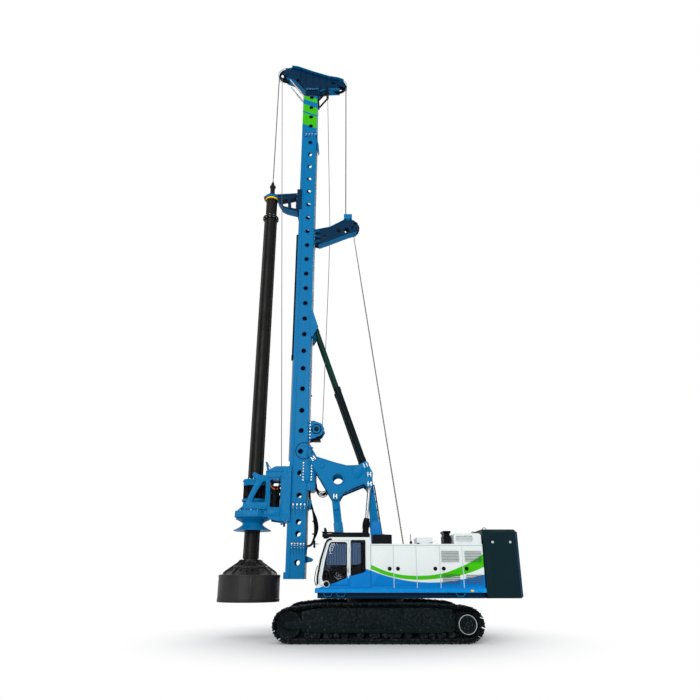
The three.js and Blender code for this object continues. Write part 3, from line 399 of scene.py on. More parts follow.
# The slot of each finish, for a piece that names none of its own
SLOTS = {
    "barrel": "tilt_rod_paint", "blind": "seat_cloth", "blue": "blue_paint", "bucket": "kelly_steel",
    "chrome": "rod_chrome", "counterweight": "counterweight_paint", "dark": "dark_paint",
    "deck": "deck_paint",
    "glass": "cab_glass", "green": "blue_paint", "kelly": "kelly_steel", "lens": "lamp_lens",
    "livery": "white_paint",
    "mast": "blue_paint", "mirror": "mirror_face", "navy": "blue_paint", "orange": "orange_trim",
    "plastic": "dark_paint", "rope": "wire_rope", "rubber": "rubber", "seam": "white_paint",
    "seat": "seat_cloth",
    "steel": "ring_steel", "tilt_rod": "tilt_rod_paint", "tint": "cab_glass", "track": "track_steel",
    "vent": "dark_paint", "white": "white_paint", "yellow": "yellow_paint",
}


def piece(name, body, finish, *meshes, slot=None, replaces=()):
    """One finished object: its meshes joined, moved into the frame, painted and hung on its body.

    A piece that runs between two bodies is made with no body. The slot, its own or the one of its finish, is
    looked up but not stored on the piece.
    """
    mesh = joined(*meshes)
    mesh.name = name
    mesh.transform(INTO_FRAME)
    mesh.shade_smooth()
    mesh.set_sharp_from_angle(angle=SHARP)
    mesh.materials.clear()
    mesh.materials.append(material(finish))
    made = put(name, mesh)
    slot = slot or SLOTS[finish]
    if body:
        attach(made, body)
    if replaces:
        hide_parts(*replaces)
    return made


def eased(node, body, finish, width=None, extra=(), holes=()):
    """A frame node's own shape with eased edges, standing for that node, with extra meshes joined to it."""
    copy = closed(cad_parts[node].data.copy(), face_out=False, join_flats=False)
    copy.transform(INTO_FRAME.inverted())
    if holes:
        copy = drilled(copy, holes)
    closed(copy, face_out=False)
    return soften(piece(node + "_skin", body, finish, [copy, *extra], replaces=[node]), width)


def soften(made, width=None):
    """A narrow bevel on every sharp edge of a piece."""
    bevel = made.modifiers.new("eased edges", "BEVEL")
    bevel.width = width or sizes().ease
    bevel.segments = 2
    bevel.limit_method = "ANGLE"
    bevel.angle_limit = SHARP
    bevel.use_clamp_overlap = True
    return made


def painted(node, finish):
    """A frame node that stays as it is, with its finish."""
    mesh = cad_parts[node].data
    mesh.materials.clear()
    mesh.materials.append(material(finish))


# ---------------------------------------------------------------- node trees that repeat a shape
class Nodes:
    """A node tree under construction: nodes are added by type and linked by socket."""

    def __init__(self, tree):
        self.tree = tree

    def add(self, kind, settings=(), **inputs):
        node = self.tree.nodes.new(kind)
        for key, value in dict(settings).items():
            setattr(node, key, value)
        for key, value in inputs.items():
            self.feed(node, key.replace("_", " "), value)
        return node

    def feed(self, node, key, value):
        index = int(key[1:]) if key[:1] == "i" and key[1:].isdigit() else key
        socket = node.inputs[index]
        if isinstance(value, bpy.types.NodeSocket):
            self.tree.links.new(value, socket)
        else:
            socket.default_value = value

    def math(self, operation, one, two=0.0, clamp=False):
        node = self.tree.nodes.new("ShaderNodeMath")
        node.operation = operation
        node.use_clamp = clamp
        for index, value in enumerate((one, two)):
            self.feed(node, f"i{index}", value)
        return node.outputs[0]

    def times(self, one, two, clamp=False):
        return self.math("MULTIPLY", one, two, clamp)

    def plus(self, one, two, clamp=False):
        return self.math("ADD", one, two, clamp)

    def mix(self, share, one, two):
        node = self.tree.nodes.new("ShaderNodeMix")
        node.data_type = "RGBA"
        for index, value in ((0, share), (6, one), (7, two)):
            self.feed(node, f"i{index}", value)
        return node.outputs[2]


def geometry_tree(name, sockets, fill):
    """A geometry tree with named inputs; fill returns the shape, which is realized and gets the material."""
    tree = bpy.data.node_groups.new(name, "GeometryNodeTree")
    tree.interface.new_socket("Geometry", in_out="INPUT", socket_type="NodeSocketGeometry")
    for label, kind, default in sockets:
        socket = tree.interface.new_socket(label, in_out="INPUT", socket_type="NodeSocket" + kind)
        if default is not None:
            socket.default_value = default
    tree.interface.new_socket("Material", in_out="INPUT", socket_type="NodeSocketMaterial")
    tree.interface.new_socket("Geometry", in_out="OUTPUT", socket_type="NodeSocketGeometry")
    nodes = Nodes(tree)
    given = nodes.add("NodeGroupInput").outputs
    shape = nodes.add("GeometryNodeRealizeInstances", Geometry=fill(nodes, given))
    coloured = nodes.add("GeometryNodeSetMaterial", Geometry=shape.outputs[0], Material=given["Material"])
    out = nodes.add("NodeGroupOutput")
    tree.links.new(coloured.outputs[0], out.inputs[0])
    return tree


def grown(make_tree, finish, source=None, **values):
    """The plain mesh that a geometry tree grows on a source mesh."""
    name = make_tree.__name__
    tree = bpy.data.node_groups.get(name) or make_tree(name)
    holder = put(name, source or bpy.data.meshes.new(name))
    modifier = holder.modifiers.new(name, "NODES")
    modifier.node_group = tree
    sockets = {s.name: s.identifier for s in tree.interface.items_tree if s.in_out == "INPUT"}
    modifier[sockets["Material"]] = material(finish)
    for label, value in values.items():
        modifier[sockets[label.replace("_", " ")]] = value
    return baked(holder)


def bolt_heads(name):
    """A washer and a hexagonal head on every point, along its own direction."""

    def fill(nodes, given):
        radius = given["Radius"]
        washer = nodes.add("GeometryNodeMeshCylinder", Vertices=14, Radius=radius,
                           Depth=nodes.times(radius, 0.3))
        head = nodes.add("GeometryNodeMeshCylinder", Vertices=6, Radius=nodes.times(radius, 0.78),
                         Depth=nodes.times(radius, 1.3))
        both = nodes.add("GeometryNodeJoinGeometry")
        nodes.tree.links.new(washer.outputs[0], both.inputs[0])
        nodes.tree.links.new(head.outputs[0], both.inputs[0])
        aim = nodes.add("GeometryNodeInputNamedAttribute", {"data_type": "FLOAT_VECTOR"}, Name="aim")
        turn = nodes.add("FunctionNodeAlignRotationToVector", {"axis": "Z"}, Vector=aim.outputs[0])
        return nodes.add("GeometryNodeInstanceOnPoints", Points=given["Geometry"], Instance=both.outputs[0],
                         Rotation=turn.outputs[0]).outputs[0]

    return geometry_tree(name, [("Radius", "Float", 0.03)], fill)


def links_on_path(name):
    """A source object repeated on each equal chord of a closed path in the XZ plane."""

    def fill(nodes, given):
        path = nodes.add("GeometryNodeMeshToCurve", Mesh=given["Geometry"])
        steps = nodes.add("GeometryNodeResampleCurve", Curve=path.outputs[0], Count=given["Count"])
        chords = nodes.add("GeometryNodeCurveToMesh", Curve=steps.outputs[0])
        ends = nodes.add("GeometryNodeInputMeshEdgeVertices")
        along = nodes.add("ShaderNodeVectorMath", {"operation": "SUBTRACT"}, i0=ends.outputs["Position 2"],
                          i1=ends.outputs["Position 1"])
        kept = nodes.add("GeometryNodeStoreNamedAttribute", {"data_type": "FLOAT_VECTOR", "domain": "EDGE"},
                         Geometry=chords.outputs[0], Name="along")
        nodes.tree.links.new(along.outputs[0], kept.inputs["Value"])
        middles = nodes.add("GeometryNodeMeshToPoints", {"mode": "EDGES"}, Mesh=kept.outputs[0])
        aim = nodes.add("GeometryNodeInputNamedAttribute", {"data_type": "FLOAT_VECTOR"}, Name="along")
        turn = nodes.add("FunctionNodeAlignRotationToVector", {"axis": "X", "pivot_axis": "Y"},
                         Vector=aim.outputs[0])
        link = nodes.add("GeometryNodeObjectInfo", Object=given["Link"])
        return nodes.add("GeometryNodeInstanceOnPoints", Points=middles.outputs[0],
                         Instance=link.outputs["Geometry"],
                         Rotation=turn.outputs[0]).outputs[0]

    return geometry_tree(name, [("Count", "Int", 54), ("Link", "Object", None)], fill)


def slats(name):
    """A column of tilted slats, each a thin block, stacked upwards from the origin."""

    def fill(nodes, given):
        size = nodes.add("ShaderNodeCombineXYZ", X=given["Width"], Y=given["Depth"], Z=given["Thickness"])
        slat = nodes.add("GeometryNodeMeshCube", Size=size.outputs[0])
        step = nodes.add("ShaderNodeCombineXYZ", Z=given["Pitch"])
        line = nodes.add("GeometryNodeMeshLine", Count=given["Count"], Offset=step.outputs[0])
        lean = nodes.add("ShaderNodeCombineXYZ", X=given["Tilt"])
        return nodes.add("GeometryNodeInstanceOnPoints", Points=line.outputs[0], Instance=slat.outputs[0],
                         Rotation=lean.outputs[0]).outputs[0]

    floats = [(label, "Float", 0.1) for label in ("Width", "Depth", "Thickness", "Pitch", "Tilt")]
    return geometry_tree(name, [*floats, ("Count", "Int", 8)], fill)


def copies_at_points(name):
    """A source object repeated unturned on every point."""

    def fill(nodes, given):
        link = nodes.add("GeometryNodeObjectInfo", Object=given["Source"])
        return nodes.add("GeometryNodeInstanceOnPoints", Points=given["Geometry"],
                         Instance=link.outputs["Geometry"]).outputs[0]

    return geometry_tree(name, [("Source", "Object", None)], fill)


def spokes(name):
    """A source object repeated round the Z axis in equal turns."""

    def fill(nodes, given):
        centre = nodes.add("GeometryNodeMeshLine", Count=given["Count"], Offset=(0.0, 0.0, 0.0))
        share = nodes.math("DIVIDE", nodes.add("GeometryNodeInputIndex").outputs[0], given["Count"])
        turn = nodes.add("ShaderNodeCombineXYZ", Z=nodes.times(share, 2 * math.pi))
        link = nodes.add("GeometryNodeObjectInfo", Object=given["Source"])
        return nodes.add("GeometryNodeInstanceOnPoints", Points=centre.outputs[0],
                         Instance=link.outputs["Geometry"],
                         Rotation=turn.outputs[0]).outputs[0]

    return geometry_tree(name, [("Count", "Int", 6), ("Source", "Object", None)], fill)


def pleats(name):
    """A hanging blind: a grid whose columns swing to and fro."""

    def fill(nodes, given):
        grid = nodes.add("GeometryNodeMeshGrid", Size_X=given["Width"], Size_Y=given["Height"],
                         Vertices_X=nodes.times(given["Pleats"], 6.0), Vertices_Y=2)
        place = nodes.add("GeometryNodeInputPosition")
        parts = nodes.add("ShaderNodeSeparateXYZ", Vector=place.outputs[0])
        turn = nodes.times(nodes.math("DIVIDE", parts.outputs[0], given["Width"]),
                          nodes.times(given["Pleats"], 2 * math.pi))
        swing = nodes.add("ShaderNodeCombineXYZ", Z=nodes.times(nodes.math("SINE", turn), given["Depth"]))
        return nodes.add("GeometryNodeSetPosition", Geometry=grid.outputs[0],
                         Offset=swing.outputs[0]).outputs[0]

    floats = [("Width", "Float", 0.6), ("Height", "Float", 0.6), ("Depth", "Float", 0.01)]
    return geometry_tree(name, [*floats, ("Pleats", "Int", 12)], fill)


def repeated(make_tree, finish, source, **values):
    """Copies of a mesh through one of the trees above that take a source object."""
    holder = put("source", source)
    points = values.pop("points", None)
    shape = None
    if points is not None:
        shape = bpy.data.meshes.new("points")
        shape.from_pydata([tuple(p) for p in points], values.pop("edges", []), [])
    key = "Link" if make_tree is links_on_path else "Source"
    mesh = grown(make_tree, finish, shape, **{key: holder}, **values)
    bpy.data.objects.remove(holder)
    bpy.data.meshes.remove(source)
    return mesh


def round_about(mesh, count, centre, axis=(0, 0, 1), finish="steel"):
    """A mesh drawn round the Z axis, repeated in equal turns and set on an axis through centre."""
    return moved(repeated(spokes, finish, mesh, Count=count), Matrix.Translation(centre) @ turned_to(axis))


BOLTS = {}  # body name: places and directions of the bolts it carries


def bolt(body, places, aim):
    """Notes bolts for a body; the bolt operator makes them all."""
    BOLTS.setdefault(body, []).extend((tuple(place), tuple(aim)) for place in places)


def bolt_circle(body, centre, axis, radius, count, phase=0.0):
    turn = turned_to(axis)
    turns = [2 * math.pi * (i + phase) / count for i in range(count)]
    places = [Vector(centre) + turn @ Vector((radius * math.cos(a), radius * math.sin(a), 0)) for a in turns]
    bolt(body, places, axis)


def line_of(start, end, count):
    start, end = Vector(start), Vector(end)
    return [start.lerp(end, i / max(1, count - 1)) for i in range(count)]


# ---------------------------------------------------------------- finishes
def shader_group(name, inputs, outputs, fill):
    """A shader group with named inputs and outputs, built once; fill returns its output sockets by name."""
    tree = bpy.data.node_groups.get(name)
    if tree is None:
        tree = bpy.data.node_groups.new(name, "ShaderNodeTree")
        for label, kind, default in inputs:
            tree.interface.new_socket(label, in_out="INPUT",
                                      socket_type="NodeSocket" + kind).default_value = default
        for label, kind in outputs:
            tree.interface.new_socket(label, in_out="OUTPUT", socket_type="NodeSocket" + kind)
        nodes = Nodes(tree)
        results = fill(nodes, nodes.add("NodeGroupInput").outputs)
        out = nodes.add("NodeGroupOutput")
        for label, socket in results.items():
            tree.links.new(socket, out.inputs[label])
    return tree


def use(nodes, tree, **values):
    node = nodes.tree.nodes.new("ShaderNodeGroup")
    node.node_tree = tree
    for key, value in values.items():
        nodes.feed(node, key.replace("_", " "), value)
    return node.outputs


def place(nodes, stretch=(1, 1, 1)):
    """Object coordinates, stretched along each axis."""
    coordinates = nodes.add("ShaderNodeTexCoord").outputs["Object"]
    return nodes.add("ShaderNodeMapping", Vector=coordinates, Scale=stretch).outputs[0]


def noise(nodes, vector, scale, detail=4.0, roughness=0.55):
    return nodes.add("ShaderNodeTexNoise", Vector=vector, Scale=scale, Detail=detail,
                     Roughness=roughness).outputs[0]


def ramp(nodes, value, low, high):
    """0 below low, 1 above high and a smooth rise between."""
    node = nodes.add("ShaderNodeMapRange", {"interpolation_type": "SMOOTHSTEP"}, Value=value)
    nodes.feed(node, "From Min", low)
    nodes.feed(node, "From Max", high)
    return node.outputs[0]


def bump(nodes, height, strength, distance, normal=None):
    node = nodes.add("ShaderNodeBump", Strength=strength, Distance=distance, Height=height)
    if normal is not None:
        nodes.feed(node, "Normal", normal)
    return node.outputs[0]


def edge_wear():
    """Rubbed edges: where the surface turns outwards sharply, broken up by a grain."""

    def fill(nodes, given):
        outward = nodes.add("ShaderNodeNewGeometry").outputs["Pointiness"]
        grain = noise(nodes, place(nodes), given["Grain"], 6.0)
        sharp = ramp(nodes, outward, 0.51, 0.60)
        rubbed = nodes.times(sharp, ramp(nodes, grain, 0.42, 0.66))
        return {"Mask": nodes.times(rubbed, given["Amount"], clamp=True)}

    return shader_group("edge wear", [("Grain", "Float", 8.0), ("Amount", "Float", 0.5)],
                        [("Mask", "Float")], fill)


def settled_dust():
    """Dust on faces that look up, and faint streaks down the faces that stand."""

    def fill(nodes, given):
        up = nodes.add("ShaderNodeSeparateXYZ",
                       Vector=nodes.add("ShaderNodeNewGeometry").outputs["Normal"]).outputs[2]
        patches = ramp(nodes, noise(nodes, place(nodes), 2.2, 6.0), 0.35, 0.75)
        lying = nodes.times(ramp(nodes, up, 0.3, 0.95), patches)
        runs = ramp(nodes, noise(nodes, place(nodes, (5.0, 5.0, 0.45)), 1.6, 5.0), 0.52, 0.85)
        standing = nodes.times(runs, given["Streaks"])
        return {"Mask": nodes.math("MAXIMUM", nodes.times(lying, given["Dust"]), standing, clamp=True)}

    return shader_group("settled dust", [("Dust", "Float", 0.3), ("Streaks", "Float", 0.1)],
                        [("Mask", "Float")], fill)


def enamel():
    """Sprayed paint: slow drift in tone, a fine orange peel and a faint wave in the sheet."""

    def fill(nodes, given):
        drift = noise(nodes, place(nodes), 0.7, 5.0)
        tone = nodes.plus(nodes.times(drift, given["Drift"]), nodes.math(
            "SUBTRACT", 1.0, nodes.times(given["Drift"], 0.5)))
        shaded = nodes.add("ShaderNodeHueSaturation", Value=tone, Color=given["Paint"]).outputs[0]
        peel = noise(nodes, place(nodes), 95.0, 2.0)
        wave = noise(nodes, place(nodes), 1.9, 1.0)
        relief = nodes.plus(nodes.times(wave, 3.0), nodes.times(peel, 0.12))
        rough = nodes.plus(nodes.times(noise(nodes, place(nodes), 6.0, 4.0), 0.16), given["Roughness"])
        return {"Color": shaded, "Roughness": rough, "Normal": bump(nodes, relief, 0.35, 0.004)}

    inputs = [("Paint", "Color", (0.5, 0.5, 0.5, 1)), ("Drift", "Float", 0.12), ("Roughness", "Float", 0.25)]
    return shader_group("enamel", inputs,
                        [("Color", "Color"), ("Roughness", "Float"), ("Normal", "Vector")], fill)


def rolled_steel():
    """Bare worked steel: lengthwise scoring, soft blotches and a pitted grain."""

    def fill(nodes, given):
        score = noise(nodes, place(nodes, (26.0, 26.0, 0.8)), 1.0, 5.0)
        blotch = noise(nodes, place(nodes), 1.7, 7.0, 0.65)
        pits = noise(nodes, place(nodes), 38.0, 6.0, 0.7)
        light = nodes.times(ramp(nodes, score, 0.5, 0.74), given["Scoring"])
        base = nodes.mix(ramp(nodes, blotch, 0.4, 0.72), given["Steel"], given["Blotch"])
        bright = nodes.add("ShaderNodeHueSaturation", Value=2.4, Color=given["Steel"]).outputs[0]
        rough = nodes.plus(nodes.times(blotch, 0.35), 0.26)
        relief = nodes.plus(pits, nodes.times(score, 0.8))
        return {"Color": nodes.mix(light, base, bright), "Roughness": rough,
                "Normal": bump(nodes, relief, 0.4, 0.003)}

    inputs = [("Steel", "Color", (0.1, 0.1, 0.1, 1)), ("Blotch", "Color", (0.1, 0.1, 0.1, 1)),
              ("Scoring", "Float", 0.5)]
    return shader_group("rolled steel", inputs,
                        [("Color", "Color"), ("Roughness", "Float"), ("Normal", "Vector")], fill)


def rgba(colour_value):
    return (*colour_value[:3], 1.0)


DUST = (0.42, 0.40, 0.36, 1.0)


def paint_over(nodes, shader, base, metallic=0.0, dust=0.05, streaks=0.01, wear=0.3,
               roughness=0.3, drift=0.08):
    """Enamel on a shader, with its dust and rubbed edges."""
    film = use(nodes, enamel(), Paint=base, Drift=drift, Roughness=roughness)
    rubbed = use(nodes, edge_wear(), Grain=9.0, Amount=wear)["Mask"]
    dusty = use(nodes, settled_dust(), Dust=dust, Streaks=streaks)["Mask"]
    lighter = nodes.add("ShaderNodeHueSaturation", Saturation=0.95, Value=1.3, Color=film["Color"]).outputs[0]
    worn = nodes.mix(rubbed, film["Color"], lighter)
    nodes.feed(shader, "Base Color", nodes.mix(dusty, worn, DUST))
    nodes.feed(shader, "Roughness", nodes.plus(film["Roughness"], nodes.times(dusty, 0.4), clamp=True))
    nodes.feed(shader, "Normal", film["Normal"])
    nodes.feed(shader, "Metallic", metallic)
    nodes.feed(shader, "Specular IOR Level", 0.05)


def plain_enamel(colour_name, **values):
    def fill(nodes, shader):
        paint_over(nodes, shader, rgba(getattr(paint(), colour_name)), **values)
    return fill


def between(nodes, value, low, high, softness=0.006):
    """1 where value lies between low and high."""
    above = nodes.times(nodes.math("SUBTRACT", value, low), 1 / softness, clamp=True)
    below = nodes.times(nodes.math("SUBTRACT", high, value), 1 / softness, clamp=True)
    return nodes.times(above, below)


def machine_xz(nodes):
    """The x and z of a point, counted from the slew axis."""
    parts = nodes.add("ShaderNodeSeparateXYZ", Vector=place(nodes)).outputs
    return nodes.math("SUBTRACT", parts[0], SLEW_AXIS_X), parts[2]


LIVERY_X = (-3.8, 2.2)
LIVERY_Z = (1.4, 3.0)
BLUE_TOP = [(2.04, 1.57), (0.36, 2.20), (-0.57, 1.915), (-1.33, 1.795), (-2.07, 1.780), (-2.85, 1.872),
            (-3.65, 2.04)]
GREEN_LOW = [(2.04, 2.86), (0.19, 2.177), (-0.57, 1.931), (-1.33, 1.853), (-2.07, 1.891), (-2.85, 2.004),
             (-3.65, 2.28)]
GREEN_TOP = [(2.04, 3.00), (0.19, 2.323), (-0.57, 2.060), (-1.33, 1.982), (-2.07, 2.038), (-2.85, 2.277),
             (-3.65, 2.70)]


def sweep_line(nodes, share, points, corner):
    """The height of a livery line at a point along the machine; corner is the index of its sharp bend."""
    node = nodes.add("ShaderNodeFloatCurve", Value=share)
    curve = node.mapping.curves[0]
    for x, z in sorted(points)[1:-1]:
        curve.points.new(0.5, 0.5)
    for knot, (x, z) in zip(curve.points, sorted(points)):
        knot.location = ((x - LIVERY_X[0]) / (LIVERY_X[1] - LIVERY_X[0]),
                         (z - LIVERY_Z[0]) / (LIVERY_Z[1] - LIVERY_Z[0]))
    curve.points[len(points) - 1 - corner].handle_type = "VECTOR"
    node.mapping.update()
    return nodes.plus(nodes.times(node.outputs[0], LIVERY_Z[1] - LIVERY_Z[0]), LIVERY_Z[0])


def livery(nodes, shader):
    """White house and cab over blue, parted by a sweeping line with a green band above it."""
    x, z = machine_xz(nodes)
    share = nodes.math("DIVIDE", nodes.math("SUBTRACT", x, LIVERY_X[0]), LIVERY_X[1] - LIVERY_X[0])
    lines = [sweep_line(nodes, share, points, 1) for points in (BLUE_TOP, GREEN_LOW, GREEN_TOP)]
    blue = between(nodes, z, 0.0, lines[0])
    on_house = between(nodes, x, -9.0, 0.2)
    green = nodes.times(between(nodes, z, lines[1], lines[2]), on_house)
    base = nodes.mix(blue, rgba(paint().white), rgba(paint().deck_blue))
    paint_over(nodes, shader, nodes.mix(green, base, rgba(paint().green)), drift=0.05, wear=0.2, streaks=0.03)


BANDS = [(23.82, 24.10), (23.07, 23.53), (22.26, 22.99)]
BAND_SLOPE = 0.42


def mast_enamel(nodes, shader):
    """Blue, with three slanted green bands round the top of the mast's sides."""
    x, z = machine_xz(nodes)
    slant = nodes.math("SUBTRACT", z, nodes.times(nodes.math("SUBTRACT", x, span("mast_upper")[0].x + 0.6),
                                                 BAND_SLOPE))
    bands = [between(nodes, slant, low, high, 0.012) for low, high in BANDS]
    green = nodes.plus(nodes.plus(bands[0], bands[1]), bands[2], clamp=True)
    across = nodes.add("ShaderNodeSeparateXYZ",
                       Vector=nodes.add("ShaderNodeNewGeometry").outputs["Normal"]).outputs[1]
    beside = nodes.math("GREATER_THAN", nodes.math("ABSOLUTE", across), 0.5)
    base = nodes.mix(nodes.times(green, beside), rgba(paint().blue), rgba(paint().green))
    paint_over(nodes, shader, base)


DECK_EDGE = (1.46, 1.585)  # under the skirt's lower strip, and the top of the strip


def deck_enamel(nodes, shader):
    """Blue skirt with a paler strip along its lower edge, over its frame in painted shade blue."""
    _, z = machine_xz(nodes)
    strip = between(nodes, z, *DECK_EDGE)
    paler = rgba([part * 1.35 for part in paint().deck_blue[:2]] + [min(1.0, paint().deck_blue[2] * 1.2)])
    skirt = nodes.mix(strip, rgba(paint().deck_blue), paler)
    # Below the skirt the frame is painted shade: the blue darkened for the shade under the deck.
    paint_over(nodes, shader, nodes.mix(between(nodes, z, 0.0, DECK_EDGE[0]), skirt, rgba(paint().navy)))


def bare_steel(colour_name, scoring=0.5, metallic=0.75, blotch=0.55):
    def fill(nodes, shader):
        base = getattr(paint(), colour_name)
        darker = rgba([part * blotch for part in base])
        steel = use(nodes, rolled_steel(), Steel=rgba(base), Blotch=darker, Scoring=scoring)
        nodes.feed(shader, "Base Color", steel["Color"])
        nodes.feed(shader, "Roughness", steel["Roughness"])
        nodes.feed(shader, "Normal", steel["Normal"])
        nodes.feed(shader, "Specular IOR Level", 0.1)
        nodes.feed(shader, "Metallic", metallic)
    return fill


def track_finish(nodes, shader):
    """Black steel with dry soil low down and bright rubbed edges."""
    steel = use(nodes, rolled_steel(), Steel=rgba(paint().track),
                Blotch=(0.004, 0.007, 0.008, 1), Scoring=0.12)
    _, z = machine_xz(nodes)
    low = nodes.math("SUBTRACT", 1.0, ramp(nodes, z, 0.0, 0.5))
    soil = nodes.times(low, ramp(nodes, noise(nodes, place(nodes), 5.0, 7.0), 0.5, 0.8))
    rubbed = use(nodes, edge_wear(), Grain=14.0, Amount=0.6)["Mask"]
    worn = nodes.mix(rubbed, steel["Color"], (0.07, 0.08, 0.08, 1))
    nodes.feed(shader, "Base Color", nodes.mix(nodes.times(soil, 0.25), worn, (0.06, 0.055, 0.042, 1)))
    nodes.feed(shader, "Roughness", nodes.plus(steel["Roughness"], 0.12, clamp=True))
    nodes.feed(shader, "Normal", steel["Normal"])
    nodes.feed(shader, "Specular IOR Level", 0.03)


def chrome_finish(nodes, shader):
    """Hard chrome with fine rings and a faint oil film."""
    rings = noise(nodes, place(nodes, (2.0, 2.0, 60.0)), 1.0, 3.0)
    film = noise(nodes, place(nodes), 3.0, 4.0)
    nodes.feed(shader, "Base Color", nodes.mix(ramp(nodes, film, 0.45, 0.8), rgba(paint().chrome),
                                               (0.26, 0.28, 0.28, 1)))
    nodes.feed(shader, "Roughness", nodes.plus(nodes.times(film, 0.2), 0.22))
    nodes.feed(shader, "Normal", bump(nodes, rings, 0.1, 0.0004))
    nodes.feed(shader, "Metallic", 0.9)


def safety_glass(clear, hazy):
    """Tinted safety glass with a little haze."""

    def fill(nodes, shader):
        film = noise(nodes, place(nodes), 7.0, 5.0)
        nodes.feed(shader, "Base Color", nodes.mix(ramp(nodes, film, 0.55, 0.9), rgba(clear), rgba(hazy)))
        nodes.feed(shader, "Roughness", nodes.times(ramp(nodes, film, 0.5, 0.9), 0.06))
        nodes.feed(shader, "Transmission Weight", 1.0)
        nodes.feed(shader, "IOR", 1.18)
        nodes.feed(shader, "Specular IOR Level", 0.05)
        nodes.feed(shader, "Metallic", 0.0)

    return fill


def rubber_finish(nodes, shader):
    """Black rubber: dull, slightly chalky, with a moulded grain."""
    chalk = noise(nodes, place(nodes), 4.0, 6.0)
    grain = noise(nodes, place(nodes), 120.0, 3.0)
    nodes.feed(shader, "Base Color", nodes.mix(ramp(nodes, chalk, 0.45, 0.8), (0.004, 0.004, 0.005, 1),
                                               (0.012, 0.013, 0.014, 1)))
    nodes.feed(shader, "Roughness", nodes.plus(nodes.times(chalk, 0.25), 0.42))
    nodes.feed(shader, "Normal", bump(nodes, grain, 0.25, 0.001))
    nodes.feed(shader, "Specular IOR Level", 0.03)


def rope_finish(nodes, shader):
    """Greased wire rope: strands wound round the line and a dark film between them."""
    parts = nodes.add("ShaderNodeSeparateXYZ", Vector=place(nodes)).outputs
    wind = nodes.math("SINE",
                      nodes.times(nodes.plus(parts[2], nodes.times(nodes.plus(parts[0], parts[1]), 0.7)),
                                  62.0))
    nodes.feed(shader, "Base Color", nodes.mix(ramp(nodes, wind, -0.6, 0.6), (0.035, 0.032, 0.028, 1),
                                               (0.17, 0.16, 0.145, 1)))
    nodes.feed(shader, "Roughness", nodes.plus(nodes.times(noise(nodes, place(nodes), 9.0), 0.2), 0.35))
    nodes.feed(shader, "Normal", bump(nodes, wind, 0.6, 0.004))
    nodes.feed(shader, "Metallic", 0.7)


def weave():
    """Crossed threads, as a height and a tone."""

    def fill(nodes, given):
        parts = nodes.add("ShaderNodeSeparateXYZ", Vector=place(nodes)).outputs
        waves = [nodes.math("SINE", nodes.times(part, given["Threads"])) for part in parts]
        along = nodes.plus(waves[0], waves[2])
        height = nodes.times(nodes.plus(along, waves[1]), 0.33)
        return {"Height": height, "Tone": ramp(nodes, height, -0.5, 0.6)}

    return shader_group("weave", [("Threads", "Float", 900.0)],
                        [("Height", "Float"), ("Tone", "Float")], fill)


def seat_finish(nodes, shader):
    """Coarse dark upholstery cloth with a soft bloom."""
    cloth = use(nodes, weave(), Threads=900.0)
    base = rgba(paint().seat)
    fade = noise(nodes, place(nodes), 5.0, 4.0)
    lighter = rgba([part * 2.2 + 0.01 for part in base])
    thread = nodes.mix(cloth["Tone"], base, lighter)
    nodes.feed(shader, "Base Color", nodes.mix(ramp(nodes, fade, 0.4, 0.9), thread, base))
    nodes.feed(shader, "Roughness", nodes.plus(nodes.times(fade, 0.1), 0.8))
    nodes.feed(shader, "Normal", bump(nodes, cloth["Height"], 0.35, 0.001))
    nodes.feed(shader, "Sheen Weight", 0.3)


def blind_finish(nodes, shader):
    """Pleated cloth blind, with painted shade in its folds and a painted glow of daylight through it."""
    cloth = use(nodes, weave(), Threads=700.0)
    parts = nodes.add("ShaderNodeSeparateXYZ", Vector=place(nodes)).outputs
    pleat_shading = ramp(nodes, nodes.math("SINE", nodes.times(parts[0], 2 * math.pi / 0.055)), -0.9, 0.9)
    base = rgba(paint().blind)
    painted_fold_shade = rgba([part * 0.3 for part in base])
    nodes.feed(shader, "Base Color", nodes.mix(pleat_shading, painted_fold_shade, base))
    nodes.feed(shader, "Roughness", nodes.plus(nodes.times(cloth["Tone"], 0.08), 0.75))
    nodes.feed(shader, "Normal", bump(nodes, cloth["Height"], 0.2, 0.001))
    # Painted light: emission makes the blind glow, standing in for the daylight that shines through it from
    # behind, since the cab is dark inside.
    nodes.feed(shader, "Emission Color", nodes.mix(pleat_shading, painted_fold_shade, base))
    nodes.feed(shader, "Emission Strength", 1.9)


def lens_finish(nodes, shader):
    """Clear moulded lens over a bright reflector, with upright flutes."""
    parts = nodes.add("ShaderNodeSeparateXYZ", Vector=place(nodes)).outputs
    flutes = nodes.math("SINE", nodes.times(nodes.plus(parts[0], parts[1]), 420.0))
    nodes.feed(shader, "Base Color", nodes.mix(ramp(nodes, flutes, -0.5, 0.8), (0.55, 0.57, 0.58, 1),
                                               (0.86, 0.87, 0.86, 1)))
    nodes.feed(shader, "Roughness", nodes.plus(nodes.times(noise(nodes, place(nodes), 12.0), 0.1), 0.08))
    nodes.feed(shader, "Normal", bump(nodes, flutes, 0.3, 0.001))
    nodes.feed(shader, "Metallic", 0.5)


def mirror_finish(nodes, shader):
    film = noise(nodes, place(nodes), 6.0, 4.0)
    nodes.feed(shader, "Base Color", nodes.mix(ramp(nodes, film, 0.5, 0.9), (0.82, 0.84, 0.85, 1),
                                               (0.6, 0.62, 0.63, 1)))
    nodes.feed(shader, "Roughness", nodes.times(film, 0.08))
    nodes.feed(shader, "Metallic", 1.0)


